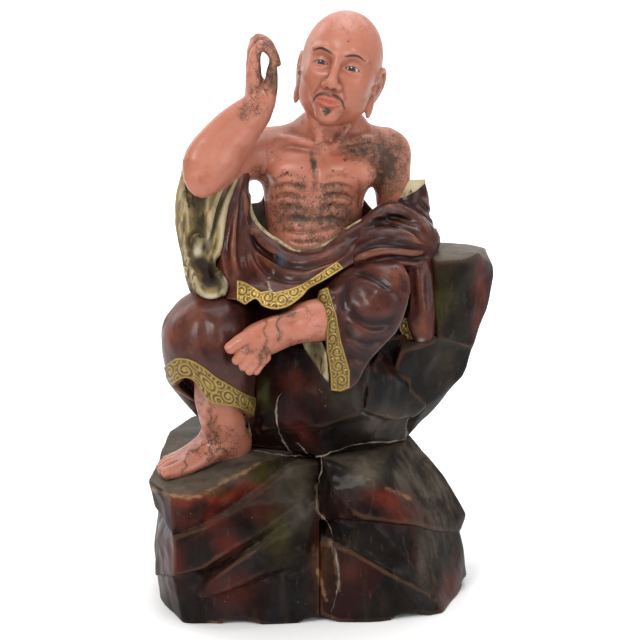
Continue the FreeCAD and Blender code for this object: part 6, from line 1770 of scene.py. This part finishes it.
RS = Field().add(Prim(lambda P: RS0(P), (-100, -70, 194), (-44, 2, 312)))
for a, w, ln in [(-10.0, 8.4, [(196, 180), (196.5, 196), (197, 212), (198, 226), (198, 240)]), (1.8, 3.6, [(184, 182), (180.5, 200), (180, 220), (182, 240), (187, 258), (190, 270)]),
                 (-1.2, 1.9, [(179, 190), (177.4, 210), (178.4, 232), (182, 252)]), (-1.4, 2.0, [(187, 205), (186, 222), (187.5, 240), (191, 254)]),
                 (2.8, 3.6, [(238, 166), (229, 177), (220, 190), (214.5, 204), (211, 218), (209, 232), (207.5, 246)]), (-3.4, 2.6, [(240, 168), (232, 181), (224, 195), (218.5, 209), (215, 222), (212, 236), (209, 250), (206, 258)]),
                 (2.4, 2.8, [(243.5, 157), (237, 172), (230, 190), (225, 205), (222.6, 220), (221.4, 236), (219, 249), (214.5, 257), (213, 266)]),
                 (-7.0, 8.6, [(200, 262), (204, 270), (208, 279), (211, 288)]), (2.0, 2.5, [(194, 272), (192.5, 284), (197, 295), (207, 300.5), (218, 299), (226, 291), (227.5, 280)]),
                 (-3.0, 3.4, [(188, 249), (193, 258), (199, 261), (206, 256)]), (1.4, 2.6, [(190, 262), (194, 272), (196, 284)])]:
    RS.line(cast(RS0, spline(ln, 4)), a, w, fade=abs(a) < 6)
sleeve_out = px_poly([(247, 150), (241.5, 170), (236, 185), (230, 201), (226.5, 217), (224, 233), (222.5, 247), (220.5, 255), (216, 260.5), (216, 266.6), (221.5, 271), (228.5, 283), (231, 293), (229, 303), (224, 310), (270, 312), (270, 150)])
RS.change(lambda P, d: smax(d, -np.maximum(sleeve_out(P), P[1] + 2), 0.8))
tongue_p = cast(RS0, [(197.5, 246)])[0]
RS.add(ball(tongue_p + [0, 5.0, 0.5], (6.4, 6.4, 7.2)), 1.2)
RS.sub(ball(cast(RS0, [(211, 287)])[0] + [0, -1.5, 1.0], (9.4, 7.5, 7.0)), 1.5)
sleeve_left = px_poly([(182.5, 160), (181, 174), (178.5, 184), (176, 195), (175, 207), (175, 222), (177.5, 238), (180.5, 252), (183.3, 266), (185.5, 279), (189.5, 291), (196, 300), (200, 320), (290, 320), (290, 120), (190, 120)])
# the back of the sleeve closes over its two pins
RS.add(tube([(-85, -8.1, 262, 3.6), (-72, -7.3, 262, 4.0), (-60, -6.4, 262, 3.6)], dense=3), 5).add(tube([(-82, -12.3, 236, 3.6), (-70, -10.4, 236, 4.0), (-60, -8.8, 236, 3.6)], dense=3), 5)
RS.change(lambda P, d: smax(d, sleeve_left(P), 2.0))
RS.change(lambda P, d: d + wave(P, 89, 16, 0.18) + wave(P, 90, 6, 0.06))
_zs = np.array([202, 212, 219, 233, 252, 276, 296, 308.0])
_ys = np.array([-44, -42, -35, -28, -22, -18.5, -16, -11.0])
rs_split = lambda P: (P[1] - np.interp(P[2], _zs, _ys)).astype(F4) * F4(0.95)      # negative in front


# ------------------------------------------------------------------ gilt borders
def scroll(u, v, L, p):
    i = np.round(u / L)
    s = np.where(i % 2 == 0, 1.0, -1.0)
    du, dv = u - i * L, v - s * 0.10 * L
    r = np.hypot(du, dv)
    th = np.arctan2(dv * s, du)
    a = 0.5 + 0.5 * np.cos(2 * math.pi * r / p - th)
    eye = np.clip(1.6 - r / (0.42 * p), 0, 1)
    a = np.maximum(a, eye)
    inside = np.clip((0.50 * L - r) / (0.10 * L), 0, 1)
    j = np.floor(u / L)
    c2 = u - (j + 0.5) * L
    q = np.hypot(c2, np.abs(v) - 0.50 * L)
    leaf = 0.5 + 0.5 * np.cos(2 * math.pi * q / (p * 0.95) + 0.6)
    return a * inside + leaf * (1 - inside)


def band_field(F, edge, uv, L, p, proud=0.75, height=0.75):
    """A border that stands proud of F inside an outline. edge is negative inside; uv gives its two directions in mm."""
    def f(P, lo=None, hi=None):
        e = edge(P)
        d = F(P, lo, hi)
        u, v = uv(P)
        rel = relief_of(e, u, v, L, p)
        out = d - proud - height * (rel - 0.5) * np.clip(-e / 0.8, 0, 1)
        return smax(smax(out, e + 0.15, 0.7), -(d + 1.6), 0)
    return f


def relief_of(e, u, v, L, p):
    rim = np.clip(1.25 - np.abs(-e - 0.95) / 0.75, 0, 1)
    gap = np.clip((-e - 1.6) / 0.5, 0, 1)
    return np.maximum(rim, scroll(u, v, L, p) * gap).astype(F4)


def gilt_attrs(edge, uv, L, p, dull=None):
    def f(P, n):
        e = edge(P)
        u, v = uv(P)
        return {"relief": relief_of(e, u, v, L, p) * np.clip(-e * 2, 0.2, 1), "dull": (dull(P) if dull else 0.0 * P[0]) + 0.0}
    return f


def line_uv(pts, shift=0.0):
    pts = spline(pts, 5)

    def f(P):
        d, a, s = px_near(P, pts)
        return a + shift, d * s
    return f


lap_mid = [(232, 291), (244, 292), (257, 293), (270, 299), (283, 298), (297, 291), (309, 283), (322, 276), (341, 264.5)]
cuff_mid = [(318, 288), (324, 303), (331, 318), (332.5, 334), (335, 350), (339, 364), (340, 377), (340.5, 392)]
patch_poly = px_poly([(397, 319), (399, 331), (406, 345), (417, 348), (417, 340), (410, 331), (407, 318), (402, 316)])
leg_edge = lambda P: np.maximum(np.maximum(low_z(P) - P[2], P[2] - up_z(P)), np.maximum((-2.6 - round_angle(P)) * 27, (round_angle(P) - 1.9) * 27)).astype(F4)


def leg_uv(P):
    m = (low_z(P) + up_z(P)) / 2
    return round_angle(P) * 27.0 + 3.0, P[2] - m


def zero(P, n):
    z = np.zeros(P[0].shape)
    return {"worn": z, "grey": z, "crack": z, "blue": z}


def upper_attrs(P, n):
    crack = near_lines(P, [CRACK], 0.62)
    worn = px_spots(P, [(300, 300, 30, 10, 0.3), (236, 262, 10, 20, 0.25), (262, 262, 10, 8, 0.3), (330, 258, 14, 8, 0.3)]) + 0.10
    # painted highlights along the fold ridges, greyed like dust
    grey = px_spots(P, [(297, 260, 16, 4, 0.9), (250, 240, 5, 16, 0.5), (240, 200, 4, 30, 0.4), (330, 250, 14, 4, 0.6), (266, 278, 8, 6, 0.4)])
    blue = px_spots(P, [(281.5, 258.5, 3.4, 6, 1.1)])
    front = np.clip(-n[1] * 3 + 0.5, 0, 1)
    return {"worn": np.clip(worn, 0, 1) * front, "grey": np.clip(grey, 0, 1) * front, "crack": np.clip(crack * 1.2 + px_spots(P, [(257, 212, 5, 13, 0.26), (265, 225, 6, 7, 0.30), (276, 237, 8, 4, 0.22)]) * np.clip((24 - P[1]) / 6, 0, 1), 0, 1), "blue": np.clip(blue, 0, 0.8) * front}


def rleg_attrs(P, n):
    worn = px_spots(P, [(172, 325, 9, 26, 1.0), (190, 312, 16, 14, 0.55), (215, 345, 20, 22, 0.35), (240, 380, 10, 14, 0.4), (200, 296, 20, 5, 0.5)])
    # painted highlight on the knee
    grey = px_spots(P, [(188, 305, 8, 10, 0.6), (222, 304, 14, 5, 0.4)])
    front = np.clip(-n[1] * 3 + 0.8, 0, 1)
    z = np.zeros(P[0].shape)
    shade = px_spots(P, [(246, 378, 8, 30, 0.6), (236, 318, 16, 6, 0.55), (214, 360, 22, 8, 0.3)])
    return {"shade": np.clip(shade, 0, 0.8) * front, "worn": np.clip(worn, 0, 1) * front, "grey": np.clip(grey, 0, 1) * front, "crack": z, "blue": z}


def lleg_attrs(P, n):
    worn = px_spots(P, [(399, 276, 9, 14, 1.1), (384, 270, 10, 6, 0.6), (362, 330, 9, 8, 0.5), (372, 300, 14, 8, 0.35), (356, 360, 6, 10, 0.4)])
    # painted highlight on the knee, with smaller ones below it
    grey = px_spots(P, [(384, 268, 5, 3.4, 1.1), (358, 334, 5, 5, 0.8), (372, 350, 8, 5, 0.4)])
    front = np.clip(-n[1] * 3 + 0.8, 0, 1)
    z = np.zeros(P[0].shape)
    shade = px_spots(P, [(368, 352, 16, 18, 0.75), (356, 374, 9, 14, 0.7), (388, 330, 14, 9, 0.5), (368, 320, 20, 4, 0.5), (352, 300, 5, 16, 0.45)])
    return {"shade": np.clip(shade, 0, 0.8) * front, "worn": np.clip(worn, 0, 1) * front, "grey": np.clip(grey, 0, 1) * front, "crack": z, "blue": z}


def slv_attrs(P, n):
    worn = px_spots(P, [(372, 256, 16, 6, 0.6), (425, 300, 8, 30, 0.55), (420, 330, 8, 10, 0.8), (400, 224, 20, 4, 0.3), (420, 240, 10, 6, 0.4)])
    # painted highlights along the ridges of the sleeve roll
    grey = px_spots(P, [(375, 231, 22, 3, 0.9), (391, 209, 14, 3, 0.8), (423, 204, 6, 4, 0.5)])
    front = np.clip(-n[1] * 3 + 0.8, 0, 1)
    chip = px_spots(P, [(421, 341, 3, 2.2, 1.2)])
    z = np.zeros(P[0].shape)
    return {"worn": np.clip(worn, 0, 1) * front, "grey": np.clip(grey, 0, 1) * front, "crack": np.clip(chip, 0, 1), "blue": z}


def lin_attrs(dirt_and_shade_rows, bright_rows=(), shade_rows=()):
    def f(P, n):
        return {"dirt": np.clip(px_spots(P, dirt_and_shade_rows), 0, 1), "bright": np.clip(px_spots(P, bright_rows), 0, 1) if bright_rows else np.zeros(P[0].shape),
                "umber": np.clip(px_spots(P, shade_rows), 0, 1) if shade_rows else np.zeros(P[0].shape)}
    return f


FRONT_Y = -18.0


def build_robe():
    h = 0.72
    make("robe_trunk_carved", under(owned(lambda P, lo=None, hi=None: UPPER(P, lo, hi), lambda P: 184.5 - P[2]), lambda P: FRONT_Y - P[1], 5.0, 0.45), (-78, -26, 183), (66, 68, 310), h, MAT_ROBE, ["robe_trunk"], upper_attrs)
    make("robe_lap_carved", owned(LAP_F, lambda P: np.maximum(P[1] - FRONT_Y, 196 - P[2])), (-74, -82, 195), (60, -17, 308), h, MAT_ROBE, ["robe_lap"], upper_attrs)
    make("right_leg_carved", RLEG_ALL, (-106, -86, 120), (-14, 5, 232), h, MAT_ROBE, ["right_leg"], rleg_attrs)
    make("left_leg_carved", LLEG, (-10, -89, 148), (72, 0, 246), h, MAT_ROBE, ["left_leg"], lleg_attrs)
    make("left_sleeve_carved", SLV, (8, -50, 170), (92, 38, 292), h, MAT_ROBE, ["left_sleeve"], slv_attrs)
    make("right_sleeve_carved", under(RS, lambda P: -rs_split(P), 3.0, 0.5), (-100, -70, 194), (-44, 2, 312), h, MAT_ROBE, ["right_sleeve"], zero)
    # pale linings
    # lining masks: dirt with painted shade, painted highlights, then painted shade in the loop and under the tongue
    make("right_sleeve_lining", owned(RS, rs_split), (-100, -72, 194), (-42, 0, 312), 0.6, MAT_LINING, [],
         lin_attrs([(197, 205, 8, 30, 0.9), (200, 232, 8, 10, 0.8), (186, 190, 6, 10, 0.7), (206, 266, 10, 9, 0.9), (220, 272, 7, 8, 0.8), (214, 286, 12, 7, 0.7), (212, 240, 4, 14, 0.5), (230, 184, 6, 14, 0.3)],
                   [(197.5, 251, 4.6, 4.4, 1.3), (226, 200, 3.5, 20, 0.4), (209, 297, 13, 2.6, 0.6), (226, 280, 2.2, 9, 0.6), (221, 232, 2.5, 18, 0.5), (208, 240, 2.5, 10, 0.5), (214, 299, 14, 3, 0.4)], [(211, 306, 20, 5, 1.3), (191, 294, 4, 8, 1.2), (231, 292, 5, 14, 1.2), (207, 269, 8, 6, 1.6), (210, 281, 9.5, 6.5, 1.7), (199, 262, 7, 4, 1.2), (192, 246, 2.6, 8, 0.8), (204, 248, 2.6, 9, 0.9), (196, 226, 6, 16, 0.35), (194, 200, 6, 14, 0.45)]))
    rim = cast(UPPER0, spline([(248.6, 197)] + [(x, y + 1.0) for x, y in NECKLINE[2:15]], 5))
    rows = []
    for i, q in enumerate(rim):
        s = i / (len(rim) - 1)
        rows.append(list(q + [0, 1.2, -0.2]) + [(1.8 - 0.6 * s) * (0.6 + 0.4 * min(1, s / 0.10, (1 - s) / 0.08))])
    NR = Field().add(tube(rows), 0).change(lambda P, d: d + wave(P, 91, 9, 0.16))
    make("neckline_lining", NR, (-60, -60, 225), (60, 20, 300), 0.5, MAT_LINING, [],
         lin_attrs([(258, 215, 6, 14, 0.7), (300, 250, 40, 6, 0.9), (340, 236, 22, 14, 0.95)], [(268, 232, 6, 8, 0.3), (288, 246, 8, 4, 0.4)]))

    def collar_f(P, lo=None, hi=None):
        d = SLV(P, lo, hi)
        return smax(smax(d - 0.6, -(d + 1.5), 0), np.maximum(collar(P), P[1] - 16), 0.5)
    make("collar_lining", collar_f, (44, -12, 255), (80, 22, 292), 0.5, MAT_LINING, [], lin_attrs([(404, 194, 6, 6, 0.6)], [(416, 184, 6, 4, 0.7)]))
    tri = [at_depth(x, y, Y) for x, y, Y in ((302, 342, -60), (321.6, 341, -66), (327, 353, -70), (330, 388, -70), (320, 377, -64), (311.5, 363, -60), (304, 350, -58))]
    T = Field().add(hull([tuple(p) for p in tri] + [tuple(p + [0, 3.0, 0]) for p in tri], 0.4))
    T.line(np.array([tri[0], (tri[1] + tri[4]) / 2, tri[3]]) + [0, -1, 0], -1.0, 3)
    make("left_cuff_lining", T, (-14, -76, 140), (16, -50, 186), 0.5, MAT_LINING, [], lin_attrs([(312, 352, 12, 12, 0.8), (322, 375, 10, 12, 0.6)], [(306, 348, 4, 5, 0.4)], [(316, 345, 10, 4, 0.5)]))
    back_edge = cast(Field().add(Prim(lambda P: RLEG_ALL(P), (-104, -84, 118), (-16, 4, 232))), [(254, 399)])[0]
    er = [at_depth(255, 397, -34), at_depth(253.5, 408, -32), at_depth(251, 423, -30), at_depth(249, 438, -28), at_depth(247.5, 450, -27)]
    E = Field().add(tube([list(p) + [r] for p, r in zip(er, (1.3, 1.5, 1.6, 1.5, 1.1))], dense=4))
    make("right_hem_lining", E, (-62, -44, 100), (-34, -16, 160), 0.45, MAT_LINING, [], lin_attrs([(250, 430, 6, 20, 0.4)]))
    # gilt borders
    make("lap_gilt_border", band_field(LAP_F, lap_band, line_uv(lap_mid, 3.0), 9.4, 2.3), (-66, -84, 196), (24, -18, 250), 0.4, MAT_GILT, [], gilt_attrs(lap_band, line_uv(lap_mid, 3.0), 9.4, 2.3))
    make("right_leg_gilt_border", band_field(RLEG, leg_edge, leg_uv, 12.2, 2.5), (-104, -84, 118), (-30, -18, 172), 0.42, MAT_GILT, [],
         gilt_attrs(leg_edge, leg_uv, 12.2, 2.5, lambda P: np.clip(0.30 + (-1.05 - round_angle(P)) * 2.5, 0.30, 1)))
    make("left_cuff_gilt_border", band_field(LLEG, cuff_band, line_uv(cuff_mid, 2.0), 9.6, 2.3), (-10, -90, 148), (30, -30, 232), 0.42, MAT_GILT, [],
         gilt_attrs(cuff_band, line_uv(cuff_mid, 2.0), 9.6, 2.3, lambda P: np.clip((159 - P[2]) / 4, 0.38, 1)))

    slab_pts = [at_depth(x, y, Y) for x, y, Y in ((396, 317, -24), (408, 317, -26), (411, 330, -28), (418, 340, -29), (417, 349, -29), (406, 346, -27), (399, 332, -25))]
    GS = hull([tuple(p) for p in slab_pts] + [tuple(p + [0, 3.5, 0]) for p in slab_pts], 0.5)
    make("left_sleeve_gilt_border", band_field(lambda P, lo=None, hi=None: GS.f(P), patch_poly, line_uv([(400, 316), (404, 332), (414, 346)]), 7.0, 2.2, 0.3, 0.6), (48, -36, 164), (74, -16, 200), 0.42, MAT_GILT, [],
         gilt_attrs(patch_poly, line_uv([(400, 316), (404, 332), (414, 346)]), 7.0, 2.2))
    for nm, poly, mid, box in (("right_sleeve_gilt_upper", [(182.5, 265), (187, 266.5), (192, 270), (193.5, 275), (190, 279), (184.5, 275)], [(184, 266), (190, 277)], ((-100, -50, 214), (-80, -20, 244))),
                               ("right_sleeve_gilt_lower", [(222, 292), (227, 289), (231, 293), (230, 300), (224, 303), (221, 298)], [(226, 288), (226, 303)], ((-72, -60, 196), (-52, -20, 226)))):
        pl = px_poly(poly)
        G = band_field(RS if "upper" in nm else RS, pl, line_uv(mid), 6.0, 2.0, 0.5, 0.5)
        make(nm, G, box[0], box[1], 0.42, MAT_GILT, [], gilt_attrs(pl, line_uv(mid), 6.0, 2.0))
build_rock()
build_skin()
build_robe()

# ------------------------------------------------------------------ pins inside the joints
def pin_material():
    M = Mat("bare_bamboo")
    n = M.noise(180, 4, 0.6, stretch=(1, 1, 0.15))
    c = M.mix(M.span(n, 0.3, 0.7), (0.42, 0.27, 0.12), (0.66, 0.50, 0.28))
    c = M.mix(M.span(M.noise(40, 3), 0.5, 0.75), c, (0.32, 0.19, 0.08))
    return M.finish(c, 0.6, M.bump(n, 0.3))


MAT_PIN = pin_material()
for node_name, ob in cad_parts.items():
    if node_name.endswith("_pin") or node_name.endswith("_pins"):
        if not ob.material_slots:
            ob.data.materials.append(MAT_PIN)
        for s in ob.material_slots:
            s.material = MAT_PIN


# ------------------------------------------------------------------ floor, light, camera
def stage_material():
    M = Mat("pale_stage")
    n = M.noise(6, 3, 0.5)
    c = M.mix(n, (0.90, 0.90, 0.90), (0.93, 0.93, 0.93))
    return M.finish(c, 0.8, spec=0.2)


me = bpy.data.meshes.new("stage_floor")
v = []
profile = [(-2.8, 0.0), (2.0, 0.0), (2.25, 0.03), (2.45, 0.12), (2.6, 0.3), (2.66, 0.6), (2.7, 3.2)]
for y, z in profile:
    v += [(-3.6, y, z), (3.6, y, z)]
me.from_pydata(v, [], [(2 * i, 2 * i + 1, 2 * i + 3, 2 * i + 2) for i in range(len(profile) - 1)])
me.shade_smooth()
floor = bpy.data.objects.new("stage_floor", me)
bpy.context.scene.collection.objects.link(floor)
me.materials.append(stage_material())


def area(name, loc, aim, size, power, colour=(1, 1, 1)):
    li = bpy.data.lights.new(name, "AREA")
    li.shape = "RECTANGLE"
    li.size, li.size_y = size
    li.energy = power
    li.color = colour
    ob = bpy.data.objects.new(name, li)
    ob.location = loc
    ob.rotation_euler = (Vector(aim) - Vector(loc)).to_track_quat("-Z", "Y").to_euler()
    bpy.context.scene.collection.objects.link(ob)
    return ob


area("key_light", (-0.55, -1.15, 1.15), (0, 0, 0.2), (0.55, 0.55), 13, (1.0, 0.975, 0.95))
area("fill_light", (0.95, -1.0, 0.65), (0, 0, 0.2), (0.8, 0.8), 6, (0.96, 0.98, 1.0))
area("top_light", (0.1, 0.1, 1.5), (0, 0, 0.2), (1.0, 0.8), 9)
area("backdrop_light", (0.0, 1.2, 1.5), (0, 2.0, 0.0), (2.4, 0.6), 34)
area("back_left", (-0.9, 0.55, 0.8), (0, 0, 0.25), (0.5, 0.9), 4)
world = bpy.data.worlds.new("studio")
bpy.context.scene.world = world
world.use_nodes = True
world.node_tree.nodes["Background"].inputs[0].default_value = (1, 1, 1, 1)
world.node_tree.nodes["Background"].inputs[1].default_value = 0.55

bpy.context.scene.view_settings.view_transform = "Standard"
bpy.context.scene.view_settings.look = "None"

cam = bpy.data.cameras.new("view")
cam.sensor_width = 36.0
cam.lens = FOC / 640.0 * 36.0
cam.clip_end = 20
cob = bpy.data.objects.new("view", cam)
cob.location = Vector((CAM + SHIFT) * 0.001)
cob.rotation_euler = Vector(FWD).to_track_quat("-Z", "Y").to_euler()
bpy.context.scene.collection.objects.link(cob)
bpy.context.scene.camera = cob
